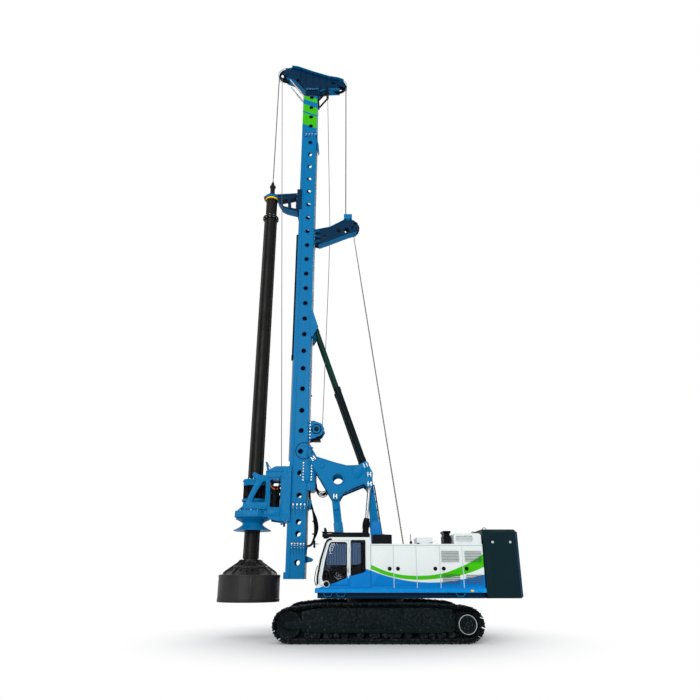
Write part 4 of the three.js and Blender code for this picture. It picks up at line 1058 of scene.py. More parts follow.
def plastic_finish(nodes, shader):
    """Dark moulded plastic with a leathery grain."""
    cells = nodes.add("ShaderNodeTexVoronoi", Vector=place(nodes), Scale=160.0).outputs["Distance"]
    shade = noise(nodes, place(nodes), 3.0, 4.0)
    nodes.feed(shader, "Base Color", nodes.mix(ramp(nodes, shade, 0.3, 0.8), (0.005, 0.006, 0.007, 1),
                                               (0.012, 0.013, 0.016, 1)))
    nodes.feed(shader, "Roughness", nodes.plus(nodes.times(shade, 0.2), 0.45))
    nodes.feed(shader, "Normal", bump(nodes, cells, 0.25, 0.0008))
    nodes.feed(shader, "Specular IOR Level", 0.03)


FINISHES = {
    "blue": plain_enamel("blue"),
    "navy": plain_enamel("navy", dust=0.06),
    "mast": mast_enamel,
    "deck": deck_enamel,
    "livery": livery,
    "white": plain_enamel("white", drift=0.05, wear=0.2),
    "seam": plain_enamel("seam", drift=0.05, wear=0.2),
    "vent": plain_enamel("vent", drift=0.05, wear=0.2),
    "counterweight": plain_enamel("counterweight", dust=0.03, roughness=0.34),
    "dark": plain_enamel("dark", dust=0.02, roughness=0.36),
    "green": plain_enamel("green"),
    "yellow": plain_enamel("yellow", dust=0.05),
    "orange": plain_enamel("orange", dust=0.02),
    "tilt_rod": plain_enamel("tilt_rod", dust=0.05, roughness=0.28),
    "barrel": plain_enamel("barrel", dust=0.05, roughness=0.28),
    "kelly": bare_steel("kelly", 0.45, 0.3),
    "bucket": bare_steel("bucket", 0.3, 0.4, 0.75),
    "steel": bare_steel("steel", 0.25, 0.9, 0.7),
    "track": track_finish,
    "chrome": chrome_finish,
    "glass": safety_glass((0.30, 0.33, 0.36), (0.25, 0.27, 0.29)),
    # Painted shade: near-black glass for the cab's far window, as dark as the shaded cab seen through it.
    "tint": safety_glass((0.03, 0.04, 0.05), (0.02, 0.03, 0.035)),
    "rubber": rubber_finish,
    "rope": rope_finish,
    "seat": seat_finish,
    "blind": blind_finish,
    "lens": lens_finish,
    "mirror": mirror_finish,
    "plastic": plastic_finish,
}


def material(finish):
    """A finish by name, built the first time that it is asked for."""
    made = bpy.data.materials.get(finish)
    if made is None:
        made = bpy.data.materials.new(finish)
        made.use_nodes = True
        FINISHES[finish](Nodes(made.node_tree), made.node_tree.nodes["Principled BSDF"])
    return made


# ---------------------------------------------------------------- stage
class RIG_OT_stage(bpy.types.Operator):
    """Set the pale floor, the soft lamps, the white world and the camera"""

    bl_idname = "rig.stage"
    bl_label = "Stage"

    def execute(self, context):
        scene = context.scene
        scene.view_settings.view_transform = "Standard"
        self.set_world(scene)
        self.lay_floor()
        self.hang_lamps()
        camera = bpy.data.objects.new("camera", bpy.data.cameras.new("camera"))
        camera.data.lens = 29.57
        camera.data.sensor_width = 36
        camera.data.clip_end = 500
        camera.location = (0.51765, 22.3, 1.957)
        camera.rotation_euler = (math.radians(111.5), 0, math.radians(180))
        scene.collection.objects.link(camera)
        scene.camera = camera
        return {"FINISHED"}

    def set_world(self, scene):
        world = bpy.data.worlds.new("studio")
        world.use_nodes = True
        world.node_tree.nodes.clear()
        nodes = Nodes(world.node_tree)
        seen = self.straight_look(nodes)
        lit = nodes.add("ShaderNodeBackground", Color=(0.93, 0.96, 1.0, 1), Strength=0.62)
        white = nodes.add("ShaderNodeBackground", Color=(1, 1, 1, 1), Strength=1.0)
        both = nodes.add("ShaderNodeMixShader", i0=seen, i1=lit.outputs[0], i2=white.outputs[0])
        nodes.add("ShaderNodeOutputWorld", Surface=both.outputs[0])
        scene.world = world

    def straight_look(self, nodes):
        path = nodes.add("ShaderNodeLightPath").outputs
        mirrored = nodes.math("MAXIMUM", path["Is Glossy Ray"], path["Is Transmission Ray"])
        return nodes.math("MAXIMUM", path["Is Camera Ray"], mirrored)

    def lay_floor(self):
        work = bmesh.new()
        bmesh.ops.create_circle(work, cap_ends=True, radius=60, segments=96)
        floor = put("floor", from_bmesh(work))
        made = bpy.data.materials.new("floor")
        made.use_nodes = True
        nodes = Nodes(made.node_tree)
        shader = made.node_tree.nodes["Principled BSDF"]
        grain = noise(nodes, place(nodes), 0.4, 5.0)
        nodes.feed(shader, "Base Color", nodes.mix(grain, (0.88, 0.88, 0.87, 1), (0.93, 0.93, 0.92, 1)))
        nodes.feed(shader, "Roughness", 0.8)
        reach = nodes.add("ShaderNodeVectorMath", {"operation": "LENGTH"}, i0=place(nodes)).outputs["Value"]
        far = nodes.times(ramp(nodes, reach, 3.0, 8.5), self.straight_look(nodes))
        white = nodes.add("ShaderNodeEmission", Color=(1, 1, 1, 1), Strength=1.0)
        blend = nodes.add("ShaderNodeMixShader", i0=far, i1=shader.outputs[0], i2=white.outputs[0])
        out = next(n for n in made.node_tree.nodes if n.bl_idname == "ShaderNodeOutputMaterial")
        made.node_tree.links.new(blend.outputs[0], out.inputs[0])
        floor.data.materials.append(made)

    def hang_lamps(self):
        for name, kind, energy, size, spot, aim in (
                ("key", "SUN", 1.7, 0.3, (5, 19, 12), (0, 0, 6)),
                ("fill", "SUN", 0.35, 0.6, (-12, 10, 8), (0, 0, 6)),
                ("rear", "SUN", 0.5, 0.5, (-6, -14, 12), (0, 0, 6))):
            lamp = bpy.data.lights.new(name, kind)
            lamp.energy = energy
            lamp.angle = size
            hung = bpy.data.objects.new(name, lamp)
            hung.location = spot
            hung.rotation_euler = (Vector(spot) - Vector(aim)).to_track_quat("Z", "Y").to_euler()
            bpy.context.scene.collection.objects.link(hung)


# ---------------------------------------------------------------- undercarriage
TRACK_CROWN = 1.185
# X, radius and the x where its slope meets the top
TRACK_WHEELS = ((2.845, 0.53, 1.76), (-2.80, 0.55, -1.69))
TRACK_Y = 2.0
SHOE_HALF = 0.45


def track_path(depth):
    """The closed run of a track, a depth inside its outer face, anticlockwise from under the front wheel."""
    points = []
    for (x, radius, crown_x), steps, sign in zip(TRACK_WHEELS, (14, 14), (1, -1)):
        dx, dz = crown_x - x, TRACK_CROWN - depth - radius
        r = radius - depth
        swing = math.acos(r / math.hypot(dx, dz))
        touch = math.degrees(math.atan2(dz, dx) + (-swing if dx < 0 else swing))
        ends = (-90, touch) if sign > 0 else (touch, 270)
        bend = arc(x, radius, r, *ends, steps)
        points += bend + [(crown_x, TRACK_CROWN - depth)] if sign > 0 else [(crown_x,
            TRACK_CROWN - depth)] + bend
    return points


def track_shoe():
    """One shoe with its grouser, two chain links and their pin; it lies with its outer face down."""
    profile = [(-0.124, -0.040), (-0.124, -0.064), (-0.090, -0.070), (-0.020, -0.070), (-0.012, -0.089),
               (0.014, -0.089),
               (0.022, -0.070), (0.100, -0.070), (0.128, -0.078), (0.136, -0.066), (0.120, -0.040)]
    shoe = plate(profile, -SHOE_HALF, SHOE_HALF, ease=0.004)
    side = rounded([(-0.150, 0.038), (-0.150, -0.028), (-0.080, -0.040), (0.090, -0.040), (0.150, -0.026),
                    (0.150, 0.038)],
                   0.03, 2)
    links = both_sides(lambda: plate(side, 0.075, 0.125, ease=0.004))
    pin = rod((0.135, -0.150, 0.004), (0.135, 0.150, 0.004), 0.032, 8, 0.003)
    return joined(shoe, links, pin)


class RIG_OT_undercarriage(bpy.types.Operator):
    """Make the tracks from single shoes, the side frames, the drive sprockets and the middle body"""

    bl_idname = "rig.undercarriage"
    bl_label = "Undercarriage"

    def execute(self, context):
        for name, side in (("left", 1), ("right", -1)):
            self.track(name, side)
            self.side_frame(name, side)
            self.sprocket(name, side)
        self.carbody()
        return {"FINISHED"}

    def track(self, name, side):
        run = track_path(0.09)
        edges = [(i, (i + 1) % len(run)) for i in range(len(run))]
        loop = repeated(links_on_path, "track", track_shoe(), points=[(x, 0, z) for x, z in run], edges=edges,
                        Count=sizes().shoes)
        piece("track_shoes_" + name, "undercarriage", "track",
              shifted(loop, 0, side * TRACK_Y, 0), replaces=["track_" + name])

    def side_frame(self, name, side):
        eased("track_frame_" + name, "undercarriage", "track", 0.012)
        face = TRACK_Y + 0.20
        guard = rounded([(-2.28, 0.36), (-1.90, 0.30), (1.86, 0.30), (2.26, 0.36), (2.05, 0.47),
                         (-2.05, 0.47)], 0.03)
        middle = [(-0.60, 0.36), (0.52, 0.36), (0.68, 0.52), (0.68, 1.01), (-0.78, 1.01), (-0.78, 0.52)]
        parts = [plate(guard, face - 0.01, face + 0.035),
                 plate(rounded(middle, 0.09), face - 0.01, face + 0.045),
                 plate(rounded(inset(middle, 0.07), 0.07), face + 0.03, face + 0.06),
                 plate(track_path(0.075), TRACK_Y - 0.175, TRACK_Y - 0.16),
                 plate([(-2.36, 0.34), (2.42, 0.34), (2.42, 0.93), (1.80, 1.03), (-1.70, 1.03),
                        (-2.36, 0.98)],
                       TRACK_Y + 0.14, TRACK_Y + 0.16)]
        for outline, depth in (([(0.70, 0.38), (1.28, 0.38), (1.28, 1.01), (0.70, 1.01)], 0.015),
                               ([(-1.40, 0.38), (-0.80, 0.38), (-0.80, 1.01), (-1.40, 1.01)], 0.015),
                               ([(1.30, 0.36), (2.30, 0.36), (2.34, 0.76), (2.00, 0.98), (1.30, 0.98)], 0.03),
                               ([(-2.42, 0.36), (-1.42, 0.36), (-1.42, 0.98), (-2.10, 0.98),
                                 (-2.44, 0.80)], 0.03)):
            parts.append(plate(rounded(outline, 0.05), face - 0.01, face + depth))
        for x in (1.44, 1.80, 2.16, -1.56, -1.92, -2.28):
            bolt("undercarriage", [(x, side * (face + 0.03), z) for z in (0.46, 0.74)], (0, side, 0))
        bolt("undercarriage",
             [(x, side * (face + 0.035), 0.385) for x in (-1.9, -1.3, -0.7, -0.1, 0.5, 1.1, 1.7)],
             (0, side, 0))
        yoke = rounded([(2.10, 0.38), (2.92, 0.42), (3.02, 0.53), (2.92, 0.64), (2.10, 0.68)], 0.05)
        parts.append(plate(yoke, TRACK_Y + 0.165, TRACK_Y + 0.205))
        for x in (2.24, 1.94, 1.64, 1.34, 0.57, 0.18, -0.22, -0.62, -1.39, -1.70, -2.02, -2.33):
            z = 0.2403
            parts.append(rod((x, TRACK_Y - 0.135, z), (x, TRACK_Y + 0.135, z), 0.111, 28, 0.02))
            parts.append(rod((x, TRACK_Y - 0.19, z), (x, TRACK_Y + 0.19, z), 0.05, 16))
        for x in (-0.85, 0.95):
            parts.append(rod((x, TRACK_Y - 0.115, 0.9697), (x, TRACK_Y + 0.115, 0.9697), 0.086, 28, 0.015))
            parts.append(rod((x, TRACK_Y - 0.14, 0.9697), (x, TRACK_Y + 0.14, 0.9697), 0.045, 16))
        idler = [(0.0, -0.19), (0.10, -0.19), (0.10, -0.09), (0.17, -0.08), (0.30, -0.045), (0.34, -0.08),
                 (0.391, -0.078),
                 (0.391, 0.078), (0.34, 0.08), (0.30, 0.045), (0.17, 0.08), (0.10, 0.09),
                 (0.10, 0.19), (0.0, 0.19)]
        parts.append(turned(idler, (2.845, TRACK_Y, 0.53), (0, 1, 0), 48))
        piece("frame_covers_" + name, "undercarriage", "track", on_side(side, parts))

    def sprocket(self, name, side):
        centre = (-2.80, side * TRACK_Y, 0.55)
        teeth = []
        for i in range(22):
            turn = 360 * i / 22
            for shift, radius in ((-4.2, 0.345), (-2.4, 0.408), (2.4, 0.408), (4.2, 0.345)):
                teeth += ring_of(-2.80, 0.55, radius, 360)[int(round(turn + shift)) % 360:][:1]
        wheel = plate(teeth, -0.055, 0.055)
        hub = turned([(0, -0.17), (0.23, -0.17), (0.235, 0.24), (0.27, 0.27), (0.29, 0.275), (0.29, 0.36),
                      (0.275, 0.372),
                      (0.20, 0.372), (0.19, 0.35), (0.10, 0.35), (0.09, 0.372), (0, 0.372)], (0, 0, 0),
                     (0, 1, 0), 48)
        hub = shifted(hub, -2.80, 0, 0.55)
        meshes = [shifted(part, 0, TRACK_Y, 0) for part in (wheel, hub)]
        piece("sprocket_wheel_" + name, "undercarriage", "track", on_side(side, meshes),
              replaces=["sprocket_" + name])
        rim = ring((centre[0], TRACK_Y + 0.365, centre[2]), (0, 1, 0), 0.268, 0.288, 0.012, 48)
        piece("sprocket_rim_" + name, "undercarriage", "steel", on_side(side, [rim]))
        bolt_circle("undercarriage", (centre[0], side * (TRACK_Y + 0.35), centre[2]), (0, side, 0), 0.145, 8)

    def carbody(self):
        extra = []
        for x in (-0.9, 0.9):
            for side in SIDES:
                y = side * 1.77
                flange = rounded([(x - 0.36, 0.46), (x + 0.36, 0.46), (x + 0.36, 0.92),
                                  (x - 0.36, 0.92)], 0.05)
                extra.append(plate(flange, min(y, y + 0.03 * side), max(y, y + 0.03 * side)))
        eased("carbody", "undercarriage", "dark", 0.015, extra)
        painted("slew_ring", "dark")
        bolt_circle("undercarriage", (0, 0, 1.08), (0, 0, 1), 1.04, 40)


# ---------------------------------------------------------------- upper body
HOUSE_SIDE = 1.65
SEAMS = (0.200, -0.566, -1.339, -2.126, -2.899, -3.589)
LATCHES = {1: -0.432, 2: -0.710, 3: -1.965, 4: -2.247, 5: -3.018}
LOUVRES = ((4, -2.805, -2.166), (5, -3.565, -2.955))  # door, rear and front edge
LOUVRE_HEIGHTS = ((2.38, 2.79), (1.695, 2.04))
HOOD_VENT = (-3.315, -2.715, 3.055, 3.282)
DOOR_LOW, DOOR_HIGH = 1.663, 2.927
WEIGHT_LOW, WEIGHT_TOP = 1.283, 3.471


def louvre_frame(x0, x1, z0, z1, y):
    """The rounded rim of a louvred opening on a face at y."""
    outer = rounded([(x0, z0), (x1, z0), (x1, z1), (x0, z1)], 0.07)
    return plate(outer, y - 0.012, y + 0.014, [inset(outer, 0.022)], 0.004)


def opening_line(x0, x1, z0, z1):
    """The outline of a louvred opening, just inside its rim."""
    return rounded(inset([(x0, z0), (x1, z0), (x1, z1), (x0, z1)], 0.015), 0.055)


def louvre_slats(x0, x1, z0, z1, y):
    """Tilted slats in an opening on a face at y."""
    count = round((z1 - z0 - 0.02) / 0.05)
    pitch = (z1 - z0 - 0.02) / count
    column = grown(slats, "livery", Width=x1 - x0 - 0.03, Depth=0.042, Thickness=0.006, Pitch=pitch,
                   Tilt=0.75, Count=count)
    return shifted(column, (x0 + x1) / 2, y - 0.012, z0 + 0.01 + pitch / 2)


class RIG_OT_house(bpy.types.Operator):
    """Make the deck, the engine house with its hoods, the rear weight and the boxes on the roof"""

    bl_idname = "rig.house"
    bl_label = "Deck, house and rear weight"

    def execute(self, context):
        self.deck()
        self.shell()
        self.rear_weight()
        self.roof_boxes()
        painted("engine_block", "dark")
        painted("main_winch", "dark")
        return {"FINISHED"}

    def deck(self):
        steps = []
        for line in (((1.793, 1.45), (1.72, 1.335), (1.539, 1.335), (1.486, 1.45)),
                     ((1.369, 1.45), (1.287, 1.335), (1.106, 1.335), (1.044, 1.45)),
                     ((-2.611, 1.45), (-2.689, 1.338), (-2.858, 1.338), (-2.941, 1.45))):
            steps += both_sides(lambda: hose([(x, 1.60, z) for x, z in line], 0.016, 10, 1))
        edge = both_sides(lambda: joined(box(-3.63, 2.07, 1.628, 1.656, 1.45, 1.478, 0.004),
                                         box(-3.63, 2.07, 1.628, 1.653, 1.565, 1.588, 0.004)))
        bow = [box(2.045, 2.074, -1.64, 1.64, 1.45, 1.478, 0.004)]
        hole = [across(1.30, 1.86, -0.7, 0.7, 0.05, 20, 0.001)]
        piece("deck_steps", "upperstructure", "blue", steps, slot="deck_paint")
        eased("deck", "upperstructure", "deck", 0.01, edge + bow, hole)
        reflectors = both_sides(lambda: box(-3.205, -3.109, 1.65, 1.658, 1.487, 1.545, 0.003))
        piece("deck_reflectors", "upperstructure", "yellow", reflectors)
        for side in SIDES:
            bolt("upperstructure",
                 [(x, side * 0.606, z) for x, z in ((0.05, 2.72), (-0.31, 2.72), (0.05, 2.93), (-0.31, 2.93),
                                                                     (1.02, 2.08), (1.25, 2.08))],
                 (0, side, 0))

    def shell(self):
        top = 2.99
        trims = [box(-3.60, 0.198, 1.640, 1.656, 2.925, 2.955, 0.005)]
        for x in SEAMS[1:5]:
            trims.append(box(x - 0.012, x + 0.012, 1.641, 1.655, 1.60, 2.925, 0.003))
        trims.append(box(-3.60, -0.60, -1.656, -1.640, 2.925, 2.955, 0.005))
        roof = [box(x - 0.02, x + 0.02, -1.60, 1.60, 2.985, 3.004, 0.004) for x in (-0.70, -1.37, -2.20)]
        rail = [plate(rounded([(x, top), (x + 0.30, top), (x + 0.30, top + 0.10), (x, top + 0.10)],
                              0.04), y, y + 0.012,
                      [rounded([(x + 0.03, top + 0.012), (x + 0.27, top + 0.012), (x + 0.27, top + 0.07),
                                (x + 0.03, top + 0.07)],
                               0.02)], 0.003) for x in (-0.50, -2.10) for y in (-1.55, 1.54)]
        hood = [louvre_frame(*HOOD_VENT, 1.60)]
        rear_vents = [mirrored(louvre_frame(x0, x1, z0, z1, HOUSE_SIDE)) for _, x0, x1 in LOUVRES
                      for z0, z1 in LOUVRE_HEIGHTS]
        blades = [louvre_slats(*HOOD_VENT, 1.60)]
        blades += [mirrored(louvre_slats(x0, x1, z0, z1, HOUSE_SIDE)) for _, x0, x1 in LOUVRES
                   for z0, z1 in LOUVRE_HEIGHTS]
        openings = [plate(opening_line(*HOOD_VENT), 1.555, 1.7)]
        openings += [plate(opening_line(x0, x1, z0, z1), -1.75, -1.605) for _, x0, x1 in LOUVRES
                     for z0, z1 in LOUVRE_HEIGHTS]
        piece("house_seams", "upperstructure", "seam", trims)
        eased("engine_house", "upperstructure", "livery", 0.01, roof + rail + hood + rear_vents + blades,
              openings)
        slot = [plate([(-1.16, 2.985), (-0.84, 2.985), (-0.84, 3.012), (-1.16, 3.012)], -0.12, -0.09),
                plate([(-1.16, 2.985), (-0.84, 2.985), (-0.84, 3.012), (-1.16, 3.012)], 0.09, 0.12)]
        piece("roof_slot_lips", "upperstructure", "rubber", slot)
        lamp = [rod((-1.215, 1.30, 2.99), (-1.215, 1.30, 3.10), 0.045, 20, 0.012),
                rod((-1.215, 1.30, 3.10), (-1.195, 1.30, 3.335), 0.012, 10)]
        lamp += [rod((-1.44, 1.56, 2.92), (-1.44, 1.60, 2.92), 0.05, 20),
                 rod((-1.44, 1.50, 2.99), (-1.44, 1.50, 3.03), 0.05)]
        piece("roof_aerial", "upperstructure", "plastic", lamp)

    def rear_weight(self):
        half = [(-3.635, 1.65), (-4.745, 1.65), (-4.855, 1.54)]
        rows = []
        for z, d in ((WEIGHT_LOW, 0.05), (WEIGHT_LOW + 0.05, 0), (WEIGHT_TOP - 0.09, 0), (WEIGHT_TOP, 0.09)):
            line = [(x + a * d, y + b * d) for (x, y), (a, b) in zip(half, ((0, -1), (0.4, -1), (1, -0.4)))]
            rows.append([(x, y, z) for x, y in line] + [(x, -y, z) for x, y in reversed(line)])
        eyes = both_sides(lambda: hose([(-3.80, 0.98, WEIGHT_TOP - 0.01), (-3.80, 0.98, WEIGHT_TOP + 0.07),
                                        (-3.92, 0.98, WEIGHT_TOP + 0.07), (-3.92, 0.98, WEIGHT_TOP - 0.01)],
                                       0.014, 10))
        soften(piece("rear_weight", "upperstructure", "counterweight", loft(rows), eyes,
                     replaces=["counterweight"]), 0.02)
        # Painted shade: dark strips on the chamfered rear corners, where the side turns away from the light.
        strip = [(-4.749, 1.648), (-4.7485, 1.6515), (-4.8585, 1.5415), (-4.855, 1.5385)]
        edges = both_sides(lambda: loft([[(x, y, z) for x, y in strip] for z in (WEIGHT_LOW + 0.05,
            WEIGHT_TOP - 0.09)]))
        piece("weight_edges", "upperstructure", "navy", edges, slot="dark_paint")
        plugs = both_sides(lambda: joined(*[turned(
            [(0, 0), (0.045, 0), (0.045, 0.012), (0.032, 0.022), (0, 0.024)], (x, 1.652, 3.048),
            (0, 1, 0), 24)
            for x in (-3.964, -4.564)]))
        piece("weight_plugs", "upperstructure", "steel", plugs)

    def roof_boxes(self):
        corners = ((-1, -1), (1, -1), (1, 1), (-1, 1))
        rows = [(0.120, 0.34, 2.992), (0.120, 0.34, 3.25), (0.100, 0.28, 3.30), (0.100, 0.28, 3.335),
                (0.130, 0.36, 3.40),
                (0.130, 0.36, 3.436), (0.115, 0.345, 3.436), (0.090, 0.26, 3.34)]
        stack = [loft([[(-2.475 + a * dx, 1.0 + b * dy, z) for a, b in corners] for dx, dy, z in rows])]
        stack += [box(-2.60, -2.35, y - 0.02, y + 0.02, 3.00, 3.24, 0.006) for y in (0.72, 1.0, 1.28)]
        piece("exhaust_outlet", "upperstructure", "dark", stack, replaces=["exhaust_box"])
        lid = [box(-0.542, 0.125, 1.00, 1.60, 3.255, 3.285, 0.008)]
        lid += [hose([(-0.30, 1.40, 3.30), (-0.29, 1.40, 3.325), (-0.21, 1.40, 3.325),
                      (-0.20, 1.40, 3.30)], 0.01, 8, 1)]
        eased("air_box", "upperstructure", "dark", 0.02, lid)
        cap = [turned([(0.0, 2.48), (0.12, 2.48), (0.12, 2.50), (0.10, 2.51), (0.10, 2.55),
                       (0.085, 2.56), (0, 2.56)],
                      (0.90, -1.10, 0))]
        straps = [box(x, x + 0.05, -1.632, -0.698, 1.60, 2.484, 0.006) for x in (0.55, 1.15)]
        eased("fuel_tank", "upperstructure", "livery", 0.015, cap + straps)


class RIG_OT_doors(bpy.types.Operator):
    """Make the side doors of the engine house with their louvres and latches"""

    bl_idname = "rig.doors"
    bl_label = "House doors"

    def execute(self, context):
        vents = {door: (x0, x1) for door, x0, x1 in LOUVRES}
        for i in range(5):
            front = SEAMS[i] - 0.003 - (0 if i else 0.025)
            self.door(f"left_door_{i + 1}", SEAMS[i + 1] + 0.003, front, 1, LATCHES[i + 1], vents.get(i + 1))
        for i, latch in ((1, -0.710), (2, -1.965)):
            self.door(f"right_door_{i}", SEAMS[i + 1] + 0.003, SEAMS[i] - 0.003, -1, latch, None)
        return {"FINISHED"}

    def door(self, name, x0, x1, side, latch_x, vent):
        outline = rounded([(x0, DOOR_LOW), (x1, DOOR_LOW), (x1, DOOR_HIGH), (x0, DOOR_HIGH)], 0.02)
        openings, parts = [], []
        if vent:
            for z0, z1 in LOUVRE_HEIGHTS:
                openings.append(opening_line(*vent, z0, z1))
                parts += [louvre_frame(*vent, z0, z1, HOUSE_SIDE), louvre_slats(*vent, z0, z1, HOUSE_SIDE)]
        parts.append(plate(outline, HOUSE_SIDE - 0.040, HOUSE_SIDE, openings, 0.006))
        piece(name + "_panel", name, "livery", on_side(side, parts), replaces=[name])
        backs = [plate(line, HOUSE_SIDE - 0.0395, HOUSE_SIDE - 0.031, ease=0.001) for line in openings]
        if backs:
            piece(name + "_mesh", name, "vent", on_side(side, backs))
        latch = [turned([(0, 0), (0.062, 0), (0.066, 0.004), (0.066, 0.010), (0.056, 0.014),
                         (0.050, 0.006), (0, 0.006)],
                        (latch_x, HOUSE_SIDE - 0.001, 2.202), (0, 1, 0), 32),
                 box(latch_x - 0.045, latch_x + 0.045, HOUSE_SIDE, HOUSE_SIDE + 0.014, 2.190, 2.214, 0.004)]
        piece(name + "_latch", name, "plastic", on_side(side, latch))


# ---------------------------------------------------------------- cab
CAB_SIDE = 1.62
QUARTER_PANE = [(0.39, 2.17), (0.86, 2.06), (0.86, 3.05), (0.39, 3.05)]


def cab_front(depth):
    x = 2.04 - depth
    return [(x, 1.65 + depth), (x, 1.95), (x - 0.10, 2.50), (x - 0.27, 3.04), (x - 0.34, 3.15 - depth / 2),
            (x - 0.46, 3.21 - depth)]


def band(outline, depth, y0, y1, ease=0.004):
    """A rim of even width round a window, just outside its outline."""
    return plate(inset(outline, -depth), y0, y1, [outline], ease)


class RIG_OT_cab(bpy.types.Operator):
    """Make the cab shell, its door, windows, blinds, roof guard, lamps and mirror"""

    bl_idname = "rig.cab"
    bl_label = "Cab"

    def execute(self, context):
        self.shell()
        self.door()
        self.inside()
        self.blinds()
        self.outside()
        return {"FINISHED"}

    def shell(self):
        strip = [*cab_front(0.088), *reversed(cab_front(0.022))]
        post = [plate(strip, y, y + 0.008) for y in (1.614, 0.614)]
        quarter_area = rounded([(0.372, 2.10), (0.88, 1.965), (0.88, 3.12), (0.372, 3.12)], 0.05)
        black = [plate(quarter_area, 1.615, 1.6265, [QUARTER_PANE]), band(QUARTER_PANE, 0.02, 1.56, 1.60)]
        # Painted shade: a black strip in the gap at the cab's rear edge, for the shade between cab and house.
        black.append(box(0.190, 0.206, 1.600, 1.622, 1.62, 3.00, 0.002))
        piece("cab_black_trim", "upperstructure", "rubber", post + black)
        mouldings = [box(0.20, 2.04, 1.612, 1.626, 1.60, 1.63, 0.004),
                     box(0.196, 0.215, 0.64, 1.60, 1.62, 3.18, 0.006)]
        mouldings.append(plate(rounded([(0.892, 1.62), (0.935, 1.62), (0.935, 3.16), (0.892, 3.16)], 0.01),
                               1.612, 1.632))
        eased("cab_shell", "upperstructure", "livery", 0.022, mouldings)
        # The far window takes the near-black glass: painted shade for the dark cab inside.
        for node, finish in (("windshield", "glass"), ("quarter_glass", "glass"),
                             ("cab_right_glass", "tint")):
            painted(node, finish)

    def door(self):
        leaf = rounded([(0.946, 1.686), (1.904, 1.686), (1.909, 1.95), (1.809, 2.50), (1.639, 3.104),
                        (0.946, 3.104)],
                       [0.03, 0.06, 0.05, 0.05, 0.10, 0.05])
        opening = rounded([(1.01, 1.925), (1.54, 1.725), (1.82, 1.83), (1.825, 1.96), (1.73, 2.48),
                           (1.585, 3.045),
                           (1.01, 3.045)], [0.07, 0.10, 0.07, 0.05, 0.05, 0.10, 0.08])
        panel = plate(leaf, 1.58, CAB_SIDE, [opening], 0.007)
        rim = plate(inset(opening, -0.03), 1.615, 1.629, [inset(opening, -0.012)], 0.004)
        piece("cab_door_panel", "cab_door", "livery", panel, rim, replaces=["cab_door"])
        seal = [plate(inset(opening, -0.014), 1.587, 1.626, [inset(opening, 0.012)], 0.004)]
        piece("door_seal", "cab_door", "rubber", seal)
        dark_pane = plate(inset(opening, -0.004), 1.588, 1.592, ease=0.001)
        piece("door_pane", "cab_door", "glass", dark_pane, replaces=["door_glass"])
        piece("door_grip", "cab_door", "plastic", box(0.958, 1.005, 1.614, 1.624, 2.08, 2.20, 0.004))
        axis = span("cab_door")[0].x
        hinges = [rod((axis, CAB_SIDE, z), (axis, CAB_SIDE, z + 0.11), 0.014, 14) for z in (1.90, 2.86)]
        hinges.append(box(0.875, axis - 0.012, 1.616, 1.632, 2.744, 2.90, 0.006))
        piece("door_hinges", "upperstructure", "white", hinges[2])
        piece("door_pivots", "cab_door", "white", hinges[:2])

    def inside(self):
        lining = [box(0.262, 1.90, 0.682, 1.558, 1.652, 1.668, 0.004),
                  box(0.262, 0.275, 0.682, 1.558, 1.66, 3.145, 0.004),
                  box(0.27, 1.55, 0.682, 1.558, 3.125, 3.147, 0.004),
                  box(0.27, 1.85, 0.682, 0.694, 1.66, 2.16, 0.003),
                  plate([(1.40, 1.66), (1.93, 1.66), (1.93, 1.95), (1.86, 2.00), (1.62, 1.86),
                         (1.45, 1.80)], 0.70, 1.50),
                  box(0.62, 1.10, 1.39, 1.50, 1.66, 2.22, 0.02),
                  box(1.00, 1.34, 1.40, 1.50, 2.16, 2.26, 0.02),
                  box(1.00, 1.34, 0.76, 0.86, 2.16, 2.26, 0.02),
                  rod((1.26, 1.45, 2.24), (1.30, 1.45, 2.42), 0.012),
                  rod((1.26, 0.81, 2.24), (1.30, 0.81, 2.42), 0.012),
                  turned([(0, 0), (0.024, 0.01), (0.026, 0.05), (0.012, 0.08), (0, 0.08)],
                         (1.30, 1.45, 2.40)),
                  turned([(0, 0), (0.024, 0.01), (0.026, 0.05), (0.012, 0.08), (0, 0.08)],
                         (1.30, 0.81, 2.40)),
                  moved(box(-0.012, 0.012, -0.14, 0.14, -0.10, 0.10, 0.008),
                        Matrix.Translation((1.60, 1.38, 2.16)) @ Matrix.Rotation(math.radians(-20), 4, "Y"))]
        piece("cab_lining", "upperstructure", "plastic", lining)

    def blinds(self):
        def hung(x0, x1, z0, z1, y):
            width = x1 - x0
            sheet = grown(pleats, "blind", Width=width, Height=z1 - z0, Depth=0.010,
                          Pleats=max(4, round(width / 0.055)))
            back = sheet.copy()
            thick = shifted(back, 0, 0, -0.003)
            thick.flip_normals()
            both = joined(sheet, thick)
            place = Matrix.Translation(((x0 + x1) / 2, y,
                                        (z0 + z1) / 2)) @ Matrix.Rotation(math.radians(-90), 4, "X")
            return moved(both, place)
        rails = [box(1.03, 1.64, 1.545, 1.572, 3.00, 3.03, 0.004),
                 box(1.03, 1.74, 1.545, 1.572, 2.295, 2.315, 0.004)]
        piece("door_blind", "cab_door", "blind", hung(1.04, 1.70, 2.313, 3.00, 1.558))
        piece("door_blind_rails", "cab_door", "plastic", rails)
        piece("quarter_blind", "upperstructure", "blind", hung(0.53, 0.80, 2.34, 3.03, 1.545))
        piece("right_blind", "upperstructure", "blind", hung(0.40, 1.56, 2.34, 3.05, 0.70))
